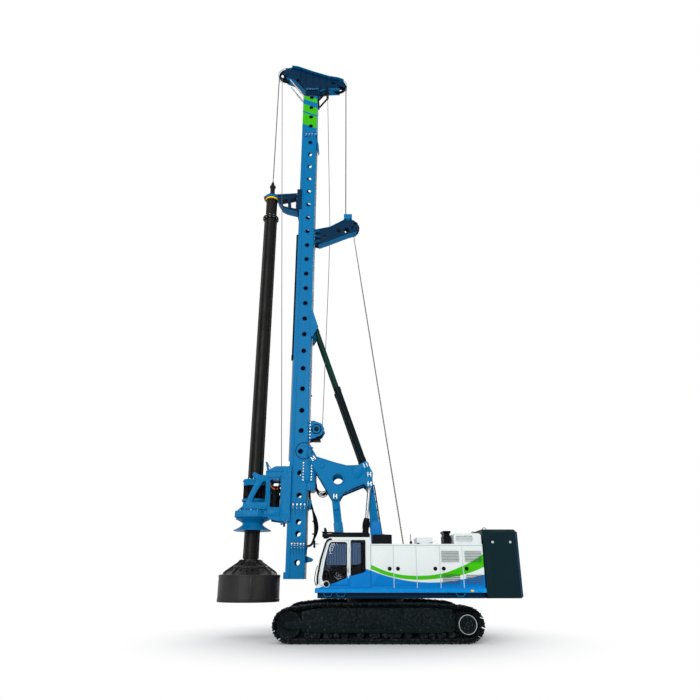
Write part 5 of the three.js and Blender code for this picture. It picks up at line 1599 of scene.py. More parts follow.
        # Painted shade: black panes behind the quarter glass where the blind doesn't reach, for the dark
        # inside of the cab.
        shade_panes = [plate([(0.395, 2.18), (0.53, 2.15), (0.53, 3.04), (0.395, 3.04)], 1.535, 1.545, ease=0.002),
                 plate([(0.53, 2.15), (0.855, 2.07), (0.855, 2.27), (0.53, 2.38)], 1.535, 1.545, ease=0.002)]
        piece("quarter_mask", "upperstructure", "rubber", shade_panes)

    def outside(self):
        bars = [box(0.26, 1.56, y - 0.018, y + 0.018, 3.300, 3.352,
                    0.004) for y in (0.80, 0.95, 1.10, 1.25, 1.40)]
        bars += [box(0.216, 1.855, y, y + 0.018, 3.215, 3.33, 0.006) for y in (0.664, 1.578)]
        bars += [box(x, x + 0.03, 0.68, 1.56, 3.295, 3.312, 0.004) for x in (0.55, 0.90, 1.25)]
        bars += [rod((1.58, y, 3.24), (1.84, y, 3.40), 0.018, 12) for y in (0.74, 1.50)]
        bars += [box(1.70, 1.86, 0.68, 1.56, 3.375, 3.392, 0.004),
                 rod((0.24, 1.57, 3.30), (1.86, 1.57, 3.385), 0.02, 12)]
        bars += [box(1.56, 1.86, y, y + 0.03, 3.34, 3.39, 0.006) for y in (0.66, 1.54)]
        eased("cab_roof_guard", "upperstructure", "dark", 0.006, bars)
        lamps, lenses = [], []
        for y in (0.78, 1.44):
            lamps += [box(1.73, 1.80, y - 0.07, y + 0.07, 3.415, 3.53, 0.012),
                      rod((1.765, y, 3.385), (1.765, y, 3.42), 0.015)]
            lenses.append(box(1.798, 1.808, y - 0.06, y + 0.06, 3.425, 3.52, 0.004))
        lamps += [turned([(0, 0), (0.075, 0), (0.085, 0.012), (0.085, 0.02), (0.072, 0.026), (0, 0.02)],
                         (1.69, 1.618, 1.72),
                         (0, 1, 0), 32)]
        lamps += [rod((1.97, 1.60, 2.99), (2.12, 1.66, 2.99), 0.013, 12),
                  rod((2.10, 1.655, 2.90), (2.10, 1.655, 3.10), 0.012)]
        lamps.append(plate(rounded([(2.075, 2.85), (2.145, 2.87), (2.145, 3.12), (2.085, 3.10)],
                                   0.02), 1.58, 1.76))
        lamps += [rod((1.965, y, 1.78), (1.90, y + 0.10, 2.65), 0.010, 10) for y in (0.95, 1.25)]
        lamps += [box(0.90, 1.40, 0.68, 0.72, 3.21, 3.24, 0.01),
                  rod((0.34, 1.50, 3.19), (0.34, 1.50, 3.30), 0.05, 24, 0.01)]
        piece("cab_fittings", "upperstructure", "plastic", lamps)
        piece("lamp_lenses", "upperstructure", "lens", lenses)
        piece("lamp_ring", "upperstructure", "white", ring((1.69, 1.6, 1.72), (0, 1, 0), 0.085, 0.105, 0.028))
        glass = plate(rounded([(2.070, 2.87), (2.074, 2.87), (2.074, 3.09), (2.070, 3.09)], 0.001), 1.60,
                      1.74, ease=0.001)
        piece("mirror_glass", "upperstructure", "mirror", glass)
        rail = [hose([(2.00, 1.60, 1.66), (2.055, 1.62, 1.72), (2.052, 1.62, 2.10), (1.99, 1.60, 2.30)],
                     0.014, 10, 3)]
        piece("cab_grab_rail", "upperstructure", "dark", rail)


class RIG_OT_seat(bpy.types.Operator):
    """Make the operator's padded seat on its hard base"""

    bl_idname = "rig.seat"
    bl_label = "Operator's seat"

    def execute(self, context):
        y = 1.12
        cushion = [(0.66, 2.015), (1.22, 2.015), (1.245, 2.07), (1.20, 2.115), (0.66, 2.10)]
        back = [(0.555, 2.09), (0.685, 2.09), (0.60, 2.73), (0.505, 2.835), (0.455, 2.75)]
        self.pad("seat_cushion", cushion, y - 0.24, y + 0.24)
        self.pad("seat_back", back, y - 0.23, y + 0.23)
        rests = [plate(rounded([(0.70, 2.16), (1.30, 2.19), (1.33, 2.24), (0.72, 2.235)], 0.02), y0,
                       y0 + 0.085, ease=0.02)
                 for y0 in (y - 0.352, y + 0.267)]
        base = [box(0.74, 1.10, y - 0.16, y + 0.16, 1.652, 1.98, 0.02),
                box(0.68, 1.12, y - 0.22, y + 0.22, 1.965, 2.012, 0.015)]
        base += [plate([(0.64, 1.97), (0.70, 1.97), (0.76, 2.20), (0.70, 2.22)], y0,
                       y0 + 0.04) for y0 in (y - 0.33, y + 0.29)]
        piece("seat_base", "upperstructure", "plastic", rests, base, slot="seat_cloth",
              replaces=["operator_seat"])
        return {"FINISHED"}

    def pad(self, name, outline, y0, y1):
        """A padded block, swollen by the pressure of its filling."""
        mesh = plate(rounded(outline, 0.03), y0, y1, ease=0.02)
        made = piece(name, "upperstructure", "seat", self.inflated(mesh))

    def inflated(self, mesh):
        holder = put("pad", mesh)
        remesh = holder.modifiers.new("voxels", "REMESH")
        remesh.mode = "VOXEL"
        remesh.voxel_size = 0.006
        start = baked(holder)
        rest = [vertex.co.copy() for vertex in start.vertices]
        soft = put("soft", start)
        cloth = soft.modifiers.new("cloth", "CLOTH")
        cloth.settings.use_pressure = True
        cloth.settings.uniform_pressure_force = 4
        cloth.settings.effector_weights.gravity = 0
        cloth.settings.quality = 4
        cloth.point_cache.frame_start, cloth.point_cache.frame_end = 1, 20
        scene = bpy.context.scene
        for step in range(1, 21):
            scene.frame_set(step)
        swollen = baked(soft)
        scene.frame_set(1)
        cap = 0.014
        for vertex, home in zip(swollen.vertices, rest):
            shift = vertex.co - home
            if shift.length > cap:
                vertex.co = home + shift.normalized() * cap
        smooth = put("smooth", swollen)
        smooth.modifiers.new("finer", "SUBSURF").levels = 1
        return baked(smooth)


# ---------------------------------------------------------------- luffing gear
REAR_FOOT, REAR_HEAD = (-0.127, 2.823), (0.179, 5.506)
FRONT_FOOT, FRONT_HEAD = (1.137, 2.003), (1.443, 4.686)
LUFF_FOOT, LUFF_EYE = (0.487, 1.800), (0.174, 5.142)
TILT_FOOT, TILT_EYE = (0.332, 5.814), (2.340, 11.600)
MAST_PIVOT = (2.295, 6.100)
CYLINDER_Y = 0.38


def along(start, end, distance):
    """The (x, z) point a distance from start towards end."""
    line = Vector(end) - Vector(start)
    return Vector(start) + line.normalized() * distance


def sleeve(start, end, y, s0, s1, radius, sides=40, ease=0.008):
    """A round bar in the plane at y, from s0 to s1 along the line from start to end."""
    a, b = along(start, end, s0), along(start, end, s1)
    return rod((a.x, y, a.y), (b.x, y, b.y), radius, sides, ease)


def beside(start, end, distance, offset):
    """The point a distance along a line and an offset to its front side."""
    line = (Vector(end) - Vector(start)).normalized()
    return along(start, end, distance) + Vector((line.y, -line.x)) * offset


def arm_strip(start, end, s0, s1, w0, w1, y0, y1, corner=0.02):
    """A flat plate along an arm, its half width going from w0 to w1."""
    points = [beside(start, end, s0, w0), beside(start, end, s1, w1), beside(start, end, s1, -w1),
              beside(start, end, s0, -w0)]
    return plate(rounded([tuple(p) for p in points], corner), y0, y1)


class RIG_OT_luffing(bpy.types.Operator):
    """Make the luffing arms, the triangle frame and the four cylinders"""

    bl_idname = "rig.luffing"
    bl_label = "Luffing gear"

    def execute(self, context):
        self.arms()
        self.triangle()
        self.cylinders()
        return {"FINISHED"}

    def arms(self):
        front = both_sides(lambda: joined(
            arm_strip(FRONT_FOOT, FRONT_HEAD, 0.10, 1.80, 0.165, 0.165, 0.505, 0.528),
            arm_strip(FRONT_FOOT, FRONT_HEAD, 0.10, 1.80, 0.165, 0.165, 0.352, 0.368),
            arm_strip(FRONT_FOOT, FRONT_HEAD, 2.05, 2.46, 0.12, 0.10, 0.512, 0.530),
            ring((*FRONT_HEAD[:1], 0.515, FRONT_HEAD[1]), (0, 1, 0), 0.085, 0.145, 0.018)))
        eyes = [beside(FRONT_FOOT, FRONT_HEAD, 2.24, offset) for offset in (-0.048, 0.048)]
        eased("front_arm", "front_arm", "blue", 0.008, front)
        dots = both_sides(lambda: joined(*[across(p.x, p.y, 0.525, 0.536, 0.026, 20) for p in eyes]))
        piece("front_arm_eyes", "front_arm", "dark", dots)
        low_box = arm_strip(REAR_FOOT, REAR_HEAD, 0.0, 1.02, 0.21, 0.185, -0.232, 0.232, 0.03)
        piece("rear_arm_box", "rear_arm", "deck", low_box)
        rear = both_sides(lambda: arm_strip(REAR_FOOT, REAR_HEAD, 1.1, 2.5, 0.085, 0.05, 0.212, 0.226))
        clips = []
        for s in (1.15, 1.45, 1.75, 2.05, 2.35):
            p = beside(REAR_FOOT, REAR_HEAD, s, -0.20 + 0.03 * s)
            clips += [box(p.x - 0.05, p.x + 0.03, y - 0.02, y + 0.02, p.y - 0.02, p.y + 0.02,
                          0.004) for y in (-0.10, 0.10)]
        eased("rear_arm", "rear_arm", "blue", 0.008, rear + clips)
        lines = []
        for y in (-0.12, -0.08, 0.08, 0.12):
            path = [beside(REAR_FOOT, REAR_HEAD, s, -0.235 + 0.03 * s) for s in (0.30, 0.8, 1.3, 1.8, 2.3)]
            lines.append(hose([(p.x, y, p.y) for p in path], 0.018, 10, 4))
        piece("rear_arm_hoses", "rear_arm", "rubber", lines)

    def triangle(self):
        y = 0.600
        pads = []
        for x, z in (REAR_HEAD, FRONT_HEAD, TILT_FOOT, MAST_PIVOT):
            pads.append(ring((x, y - 0.005, z), (0, 1, 0), 0.062, 0.125, 0.03, 40))
        pads.append(turned([(0, 0), (0.135, 0), (0.135, 0.014), (0.125, 0.020), (0.085, 0.020),
                            (0.08, 0.014), (0, 0.014)],
                           (1.979, y - 0.003, 5.861), (0, 1, 0), 48))
        pads.append(ring((1.354, y - 0.006, 5.342), (0, 1, 0), 0.195, 0.245, 0.026, 56))
        link = rounded([(0.800, 5.640), (0.86, 5.70), (0.29, 6.02), (0.19, 5.93), (0.21, 5.76), (0.62, 5.33),
                        (0.78, 5.42)], 0.05)
        raised = inset(link[::-1] if area(link) < 0 else link, 0.05)
        pads += [plate(link, y - 0.01, y + 0.022), plate(raised, y + 0.015, y + 0.036)]
        lug = rounded([(0.06, 5.36), (0.05, 5.08), (0.12, 5.02), (0.24, 5.02), (0.30, 5.10),
                       (0.31, 5.36), (0.24, 5.46),
                       (0.12, 5.46)], 0.04)
        pads.append(plate(lug, y - 0.01, y + 0.03))
        edge = [(2.425, 6.31), (2.265, 6.18), (1.455, 5.925), (1.024, 5.815), (0.642, 5.825), (0.33, 5.895)]
        under = [(0.40, 5.20), (1.18, 4.885), (1.31, 4.68)]
        front = [(1.565, 4.66), (2.395, 6.02)]
        for line in (edge, under, front):
            pads.append(ribbon(line, 0.016, y - 0.004, y + 0.012))
        for side in SIDES:
            meshes = [mesh.copy() for mesh in pads]
            piece("triangle_pads_" + side_name(side), "triangle_frame", "blue", on_side(side, meshes))
            self.keepers(side)
        frame_tube = [across(1.979, 5.861, -0.54, 0.54, 0.137, 48)]
        webs = [ribbon([(1.02, 5.80), (0.66, 5.80)], 0.02, -0.54, 0.54),
                ribbon([(1.20, 4.90), (0.42, 5.22)], 0.02, -0.54, -0.30),
                ribbon([(1.20, 4.90), (0.42, 5.22)], 0.02, 0.30, 0.54)]
        eased("triangle_frame", "triangle_frame", "blue", 0.008, frame_tube + webs)

    def keepers(self, side):
        """The bright pin keepers: two short bars with a bolt at each end."""
        bars = []
        for x, z, lean in ((2.285, 6.103, 35), (0.316, 5.848, 20), (0.17, 5.155, 0), (1.444, 4.706, 0),
                           (0.179, 5.506, 0)):
            y = 0.634 if (x, z) == (0.17, 5.155) else 0.626
            turn = Matrix.Translation((x, y, z)) @ Matrix.Rotation(math.radians(lean), 4, "Y")
            for shift in (-0.055, 0.055):
                bars.append(moved(box(shift - 0.020, shift + 0.020, -0.006, 0.012, -0.085, 0.085,
                                      0.005), turn))
                bars.append(moved(turned([(0, 0), (0.022, 0), (0.022, 0.016), (0, 0.016)],
                                         (shift, 0.010, 0.06), (0, 1, 0), 6), turn))
                bars.append(moved(turned([(0, 0), (0.022, 0), (0.022, 0.016), (0, 0.016)],
                                         (shift, 0.010, -0.06), (0, 1, 0), 6), turn))
            bars.append(moved(box(-0.05, 0.05, -0.004, 0.008, -0.018, 0.018, 0.004), turn))
        piece("pin_keepers_" + side_name(side), "triangle_frame", "steel", on_side(side, bars))

    def cylinders(self):
        luff = both_sides(lambda: joined(
            sleeve(LUFF_FOOT, LUFF_EYE, CYLINDER_Y, 0.17, 1.86, 0.1085),
            sleeve(LUFF_FOOT, LUFF_EYE, CYLINDER_Y, 0.30, 0.38, 0.118)))
        eased("luff_barrels", "luff_barrels", "dark", 0.006, luff)
        gland = both_sides(lambda: joined(
            sleeve(LUFF_FOOT, LUFF_EYE, CYLINDER_Y, 1.84, 2.06, 0.128),
            sleeve(LUFF_FOOT, LUFF_EYE, CYLINDER_Y, 2.06, 2.155, 0.100)))
        piece("luff_glands", "luff_barrels", "rubber", gland)
        tilt = both_sides(lambda: joined(
            sleeve(TILT_FOOT, TILT_EYE, CYLINDER_Y, 0.20, 3.345, 0.1305),
            sleeve(TILT_FOOT, TILT_EYE, CYLINDER_Y, 3.16, 3.33, 0.142),
            sleeve(TILT_FOOT, TILT_EYE, CYLINDER_Y, 0.22, 0.36, 0.142),
            sleeve(TILT_FOOT, TILT_EYE, CYLINDER_Y + 0.13, 0.40, 3.0, 0.014, 12)))
        eased("mast_cylinder_barrels", "mast_cylinder_barrels", "barrel", 0.008, tilt)
        luff_length = (Vector(LUFF_EYE) - Vector(LUFF_FOOT)).length
        tilt_length = (Vector(TILT_EYE) - Vector(TILT_FOOT)).length
        for name, side in (("left", 1), ("right", -1)):
            y = side * CYLINDER_Y
            eased("luff_rod_" + name, "luff_rods", "chrome", 0.005,
                  [sleeve(LUFF_FOOT, LUFF_EYE, y, 0.78, luff_length - 0.10, 0.0552),
                   sleeve(LUFF_FOOT, LUFF_EYE, y, luff_length - 0.17, luff_length - 0.085, 0.072)])
            eased("mast_cylinder_rod_" + name, "mast_cylinder_rods", "tilt_rod", 0.006,
                  [sleeve(TILT_FOOT, TILT_EYE, y, 0.86, tilt_length - 0.12, 0.0952),
                   sleeve(TILT_FOOT, TILT_EYE, y, tilt_length - 0.25, tilt_length - 0.11, 0.106)])


def area(points):
    """Twice the signed area of an outline; it is positive when the outline runs anticlockwise."""
    return sum(a[0] * b[1] - b[0] * a[1] for a, b in zip(points, points[1:] + points[:1]))


# ---------------------------------------------------------------- mast and head
MAST_REAR, MAST_FRONT, MAST_HALF = 2.505, 3.08, 0.45
MAST_MIDDLE = 2.79
HOLE_HEIGHTS = {
    "mast_lower": (2.418, 3.403, 3.819),
    "mast_middle": (4.763, 5.585, 6.408, 7.214, 8.018, 8.910, 9.773, 10.527, 11.273, 11.977, 12.691,
                    13.398, 14.105,
                    14.822, 15.528, 16.239, 16.949, 17.663, 18.375, 19.073, 19.778, 20.475, 21.184),
    "mast_upper": (22.182, 22.738, 23.327, 23.964),
}


class RIG_OT_mast(bpy.types.Operator):
    """Make the three lengths of the mast with their holes, flanges, clamps and rails"""

    bl_idname = "rig.mast"
    bl_label = "Mast"

    def execute(self, context):
        for node, heights in HOLE_HEIGHTS.items():
            cutters = [across(MAST_MIDDLE, z, -0.6, 0.6, sizes().hole, 32, 0.001) for z in heights]
            rims = both_sides(lambda: self.hole_rims(heights))
            strips = both_sides(lambda: self.corner_strips(node))
            eased(node, "mast", "mast", 0.006, rims + strips, cutters)
        for side in SIDES:
            self.flanges(side)
            self.clamp(side)
        self.rear_fittings()
        return {"FINISHED"}

    def hole_rims(self, heights):
        rim = ring((0, 0, 0), (0, 1, 0), sizes().hole, sizes().hole + 0.022, 0.012, 32)
        return repeated(copies_at_points, "mast", rim,
                        points=[(MAST_MIDDLE, MAST_HALF - 0.002, z) for z in heights])

    def corner_strips(self, node):
        low, high = span(node)
        gap = 0.08 if node == "mast_middle" else 0.02
        return joined([box(x, x + 0.045, MAST_HALF - 0.01, MAST_HALF + 0.012, low.z + gap,
                           high.z - gap, 0.003)
                       for x in (MAST_REAR + 0.004, MAST_FRONT - 0.05)])

    def flanges(self, side):
        """Bolted joints: a ledge round the side with gussets above and below it."""
        parts = []
        for z, count, reach in ((2.96, 5, 0.30), (4.34, 4, 0.34), (21.60, 4, 0.24)):
            parts.append(box(2.49, 3.07, 0.44, 0.50, z - 0.035, z - 0.003, 0.004))
            parts.append(box(2.49, 3.07, 0.44, 0.50, z + 0.003, z + 0.035, 0.004))
            for i in range(count + 1):
                x = 2.52 + i * 0.51 / count
                gusset = [(0.44, z - reach), (0.458, z - reach), (0.49, z - 0.12), (0.49, z + 0.12),
                          (0.458, z + reach),
                          (0.44, z + reach)]
                parts.append(upright(gusset, x, x + 0.018))
            places = line_of((2.57, side * 0.475, z + 0.035), (3.0, side * 0.475, z + 0.035), count)
            bolt("mast", places, (0, 0, 1))
            bolt("mast", [place - Vector((0, 0, 0.07)) for place in places], (0, 0, -1))
            bolt("mast", [Vector((place.x, side * MAST_HALF, z + 0.10)) for place in places], (0, side, 0))
        piece(f"mast_flanges_{side_name(side)}", "mast", "blue", on_side(side, parts))

    def clamp(self, side):
        """The hinge's bolted clamp and the round boss above it."""
        outline = rounded([(2.24, 5.26), (2.66, 5.22), (2.74, 5.40), (2.74, 5.96), (2.62, 6.12), (2.30, 6.12),
                           (2.22, 5.98)], 0.09)
        parts = [plate(outline, 0.42, 0.466)]
        parts.append(plate(rounded([(2.40, 5.30), (2.60, 5.30), (2.60, 6.02), (2.40, 6.02)], 0.03),
                           0.455, 0.488))
        # Painted shade: a thin ring in the shade-dark blue round the edge of the boss above the clamp.
        piece(f"clamp_ring_{side_name(side)}", "mast", "navy",
              on_side(side, [ring((2.66, 0.444, 6.43), (0, 1, 0), 0.30, 0.33, 0.018, 48)]), slot="dark_paint")
        parts.append(plate([(2.30, 6.50), (2.70, 6.62), (2.71, 6.65), (2.30, 6.56)], 0.45, 0.475))
        piece(f"mast_clamp_{side_name(side)}", "mast", "blue", on_side(side, parts))
        for x in (2.35, 2.66):
            bolt("mast", [(x, side * 0.468, 5.324 + i * 0.107) for i in range(7)], (0, side, 0))

    def rear_fittings(self):
        """The small box behind the lower joint, the foot bracket, pipes and the cable stops."""
        blue = [
            box(2.355, 2.51, -0.20, 0.20, 4.30, 4.66, 0.03),
            plate(rounded([(2.51, 2.66), (2.30, 2.58), (2.235, 2.53), (2.30, 2.46), (2.51, 2.42)],
                          0.02), 0.10, 0.16),
            plate(rounded([(2.51, 2.66), (2.30, 2.58), (2.235, 2.53), (2.30, 2.46), (2.51, 2.42)], 0.02),
                  -0.16, -0.10),
            across(2.30, 2.53, -0.18, 0.18, 0.035),
            plate(rounded([(2.51, 3.02), (2.44, 2.90), (2.47, 2.70), (2.51, 2.66)], 0.02), 0.28, 0.32),
            box(2.47, 2.51, 0.02, 0.10, 8.9, 9.02), box(2.43, 2.51, 0.00, 0.12, 8.70, 8.76),
            plate(rounded([(2.51, 21.64), (2.40, 21.2), (2.36, 20.7), (2.39, 20.6), (2.43, 20.75),
                           (2.51, 21.1)], 0.03),
                  0.18, 0.30),
        ]
        piece("mast_fittings", "mast", "blue", blue)
        pipes = [rod((2.485, y, 2.9), (2.485, y, 21.5), 0.016, 10) for y in (-0.12, -0.06, 0.2)]
        pipes += [box(2.462, 2.51, -0.15, 0.23, z, z + 0.05,
                      0.004) for z in (4.9 + i * 1.63 for i in range(11))]
        piece("mast_pipes", "mast", "steel", pipes, slot="dark_paint")
        lamp = [turned([(0, 0), (0.026, 0), (0.03, 0.01), (0.03, 0.03), (0.02, 0.04), (0, 0.04)],
                       (2.93, 0.45, 3.06), (0, 1, 0))]
        piece("mast_warning_lamp", "mast", "orange", lamp)


def side_name(side):
    return "left" if side > 0 else "right"


class RIG_OT_winch(bpy.types.Operator):
    """Make the auxiliary winch with its wound drum and the crowd cylinder"""

    bl_idname = "rig.winch"
    bl_label = "Winch and crowd cylinder"

    def execute(self, context):
        x, z = 2.208, 7.298
        hubs = both_sides(lambda: joined(
            ring((x, 0.335, z), (0, 1, 0), 0.10, 0.16, 0.03, 40),
            turned([(0, 0), (0.10, 0), (0.095, 0.02), (0.05, 0.035), (0, 0.035)], (x, 0.34, z),
                   (0, 1, 0), 32)))
        eased("aux_winch", "mast", "blue", 0.01, hubs)
        for side in SIDES:
            bolt("mast", line_of((2.455, side * 0.345, 6.95), (2.455, side * 0.345, 7.57), 6), (0, side, 0))
        motor = [across(x, z, 0.345, 0.43, 0.08), *both_sides(lambda: across(x, z, 0.335, 0.352, 0.20, 40)),
                 across(2.30, 7.02, -0.25, 0.25, 0.05),
                 box(2.05, 2.33, -0.20, 0.20, 6.88, 6.95, 0.02)]
        piece("winch_motor", "mast", "dark", motor)
        coils = [(0.165, -0.25)]
        for i in range(20):
            y = -0.24 + i * 0.025
            coils += [(0.176, y), (0.185, y + 0.012), (0.176, y + 0.023)]
        coils += [(0.165, 0.25), (0.0, 0.25), (0.0, -0.25)]
        drum = turned(coils + coils[:1], (0, 0, 0), (0, 1, 0), 48)
        piece("winch_rope_turns", "aux_winch_drum", "rope", shifted(drum, x, 0, z))
        ends = both_sides(lambda: ring((x, 0.254, z), (0, 1, 0), 0.10, 0.228, 0.030, 48))
        eased("aux_winch_drum", "aux_winch_drum", "dark", 0.004, ends)
        barrel = [rod((3.215, 0, 10.35), (3.215, 0, 16.30), 0.1055, 40, 0.01),
                  rod((3.215, 0, 10.28), (3.215, 0, 10.50), 0.122, 40, 0.01)]
        barrel += [box(3.08, 3.22, -0.16, 0.16, z0, z0 + 0.05, 0.006) for z0 in (10.72, 10.84, 15.92, 16.04)]
        eased("crowd_barrel", "mast", "dark", 0.006, barrel)
        return {"FINISHED"}


def rope_wheel(node, x, z, radius, holes):
    """A grooved wheel whose web is cut by round holes."""
    groove = [(radius - 0.085, -0.04), (radius - 0.03, -0.058), (radius - 0.006, -0.06), (radius, -0.05),
              (radius - 0.036, -0.012), (radius - 0.04, 0.0), (radius - 0.036, 0.012), (radius, 0.05),
              (radius - 0.006, 0.06), (radius - 0.03, 0.058), (radius - 0.085, 0.04), (radius - 0.085, -0.04)]
    rim = shifted(turned(groove, (0, 0, 0), (0, 1, 0), 56), x, 0, z)
    middle = (radius - 0.085 + 0.09) / 2
    size = (radius - 0.085 - 0.09) / 2 * 0.92
    openings = [ring_of(x + middle * math.cos(t), z + middle * math.sin(t), size, 20)
                for t in (2 * math.pi * i / holes for i in range(holes))]
    web = plate(ring_of(x, z, radius - 0.075, 48), -0.013, 0.013, openings, 0.003)
    hub = [across(x, z, -0.084, 0.084, 0.092), across(x, z, -0.15, 0.15, 0.045)]
    piece(node + "_wheel", node, "dark", rim, web, hub, replaces=[node])


class RIG_OT_head(bpy.types.Operator):
    """Make the mast head, the rope bracket and their rope wheels"""

    bl_idname = "rig.head"
    bl_label = "Mast head"

    def execute(self, context):
        self.cathead()
        self.rope_bracket()
        rope_wheel("head_sheave_front", 4.10, 25.83, 0.42, 6)
        rope_wheel("head_sheave_rear", 1.49, 25.10, 0.40, 6)
        rope_wheel("bracket_sheave", 0.79, 16.67, 0.32, 5)
        return {"FINISHED"}

    def cathead(self):
        holes = [across(x, z, -0.3, 0.3, r, 24, 0.001) for x, z, r in (
            (1.38, 24.85, 0.19), (3.55, 25.42, 0.09), (4.27, 25.56, 0.22), (3.30, 25.10, 0.07),
            (1.76, 25.24, 0.09))]
        top = [(1.22, 25.345), (1.50, 25.475), (1.95, 25.565), (2.75, 25.87), (3.56, 26.225), (3.86, 26.27)]
        low_rear = [(1.42, 24.80), (2.00, 24.78), (2.44, 24.66)]
        low_front = [(3.12, 24.62), (3.70, 25.33), (4.12, 25.52)]
        parts = [ribbon(top, 0.035, -0.27, 0.27), ribbon(low_rear, 0.03, -0.22, 0.22),
                 ribbon(low_front, 0.03, -0.22, 0.22)]
        ribs = []
        for x0, z0, x1, z1 in ((1.75, 24.80, 1.75, 25.48), (2.05, 24.80, 2.10, 25.60),
                               (2.35, 24.70, 2.45, 25.72),
                               (2.75, 24.65, 2.80, 25.86), (3.15, 24.66, 3.15, 26.02),
                               (3.45, 25.05, 3.42, 26.14)):
            rib = [(x0 - 0.015, z0), (x0 + 0.015, z0), (x1 + 0.015, z1), (x1 - 0.015, z1)]
            ribs += both_sides(lambda: plate(rib, 0.12, 0.19, ease=0.003))
        ledge = [box(2.47, 3.10, -0.46, 0.46, 24.53, 24.57, 0.006)]
        for i in range(6):
            x = 2.53 + i * 0.10
            rib = [(0.355, 24.11), (0.45, 24.11), (0.45, 24.16), (0.40, 24.53), (0.355, 24.53)]
            ledge += both_sides(lambda: upright(rib, x, x + 0.02))
        for x, z, lean in ((1.40, 25.42, 0.10), (3.98, 26.20, 0.12)):
            parts += [rod((x, y, z - 0.14), (x - lean, y, z + 0.07), 0.018, 10) for y in (-0.16, 0.16)]
        piece("cathead_flanges", "mast", "blue", parts, ledge[:1])
        # The head's webs and ribs are painted shade: the same blue as the flanges, darkened for the shade
        # between them.
        eased("cathead", "mast", "navy", 0.008, ribs + ledge[1:], holes)
        for side in SIDES:
            bolt("mast", line_of((2.56, side * 0.42, 24.57), (3.03, side * 0.42, 24.57), 6), (0, 0, 1))
            bolt("mast", line_of((2.56, side * 0.42, 24.53), (3.03, side * 0.42, 24.53), 6), (0, 0, -1))
        struts = [rod((3.16, y, 24.20), (3.92, y, 25.34), 0.030, 16) for y in (-0.24, 0.24)]
        struts += [rod((3.34, y, 24.47), (3.60, y, 24.86), 0.044, 16) for y in (-0.24, 0.24)]
        piece("head_struts", "mast", "steel", struts, slot="rod_chrome")
        dark = [rod((2.43, y, 24.02), (2.02, y, 24.62), 0.045, 20) for y in (-0.24, 0.24)]
        dark += [box(1.98, 2.10, -0.30, 0.30, 24.58, 24.78, 0.02),
                 rod((2.46, -0.3, 23.95), (2.46, 0.3, 23.95), 0.03)]
        piece("head_cylinders", "mast", "dark", dark)
        guards = []
        for x, z, r, start, end in ((4.10, 25.83, 0.455, -40, 120), (1.49, 25.10, 0.435, 60, 215)):
            bow = arc(x, z, r, start, end, 14)
            guards += both_sides(lambda: hose([(px, 0.085, pz) for px, pz in bow], 0.012, 8, 1))
        piece("rope_guards", "mast", "blue", guards)

    def rope_bracket(self):
        holes = [across(x, z, -0.3, 0.3, r, 24, 0.001) for x, z, r in (
            (2.05, 16.20, 0.075), (1.06, 16.50, 0.12), (0.66, 16.86, 0.06))]
        top = [(2.49, 16.505), (1.80, 16.665), (1.40, 16.905), (1.15, 17.06)]
        low = [(2.30, 15.705), (1.90, 15.865), (1.00, 16.26), (0.62, 16.38)]
        parts = [ribbon(top, 0.025, -0.17, 0.17), ribbon(low, 0.025, -0.17, 0.17)]
        parts.append(box(2.475, 2.503, -0.30, 0.30, 15.70, 16.54, 0.006))
        for z in (15.86, 16.12, 16.38):
            rib = [(2.49, z - 0.012), (2.49, z + 0.012), (2.25, z + 0.012), (2.25, z - 0.012)]
            parts += both_sides(lambda: plate(rib, 0.11, 0.26, ease=0.003))
        parts += [box(0.81, 1.18, -0.16, 0.16, 17.10, 17.355, 0.015),
                  box(0.90, 1.09, -0.15, 0.15, 17.02, 17.06, 0.006)]
        piece("bracket_flanges", "mast", "blue", parts)
        # The bracket's web is painted shade: the blue darkened for the shade between its flanges.
        eased("rope_bracket", "mast", "navy", 0.008, (), holes)
        rollers = [across(1.42, 16.50, -0.16, 0.16, 0.095), across(0.56, 16.50, -0.11, 0.11, 0.05),
                   across(2.33, 15.78, -0.12, 0.12, 0.07)]
        piece("bracket_rollers", "mast", "dark", rollers)
        for side in SIDES:
            bolt("mast", [(2.475, side * 0.27, 15.76 + i * 0.18) for i in range(5)], (-1, 0, 0))


def ribbon(points, thick, y0, y1):
    """A flange that follows a line of (x, z) points."""
    upper = [(x, z + thick / 2) for x, z in points]
    lower = [(x, z - thick / 2) for x, z in reversed(points)]
    return plate(lower[::-1] + upper[::-1], y0, y1, ease=0.004)


# ---------------------------------------------------------------- drive, kelly and bucket
KELLY_X = 4.52
BORE = 0.3125


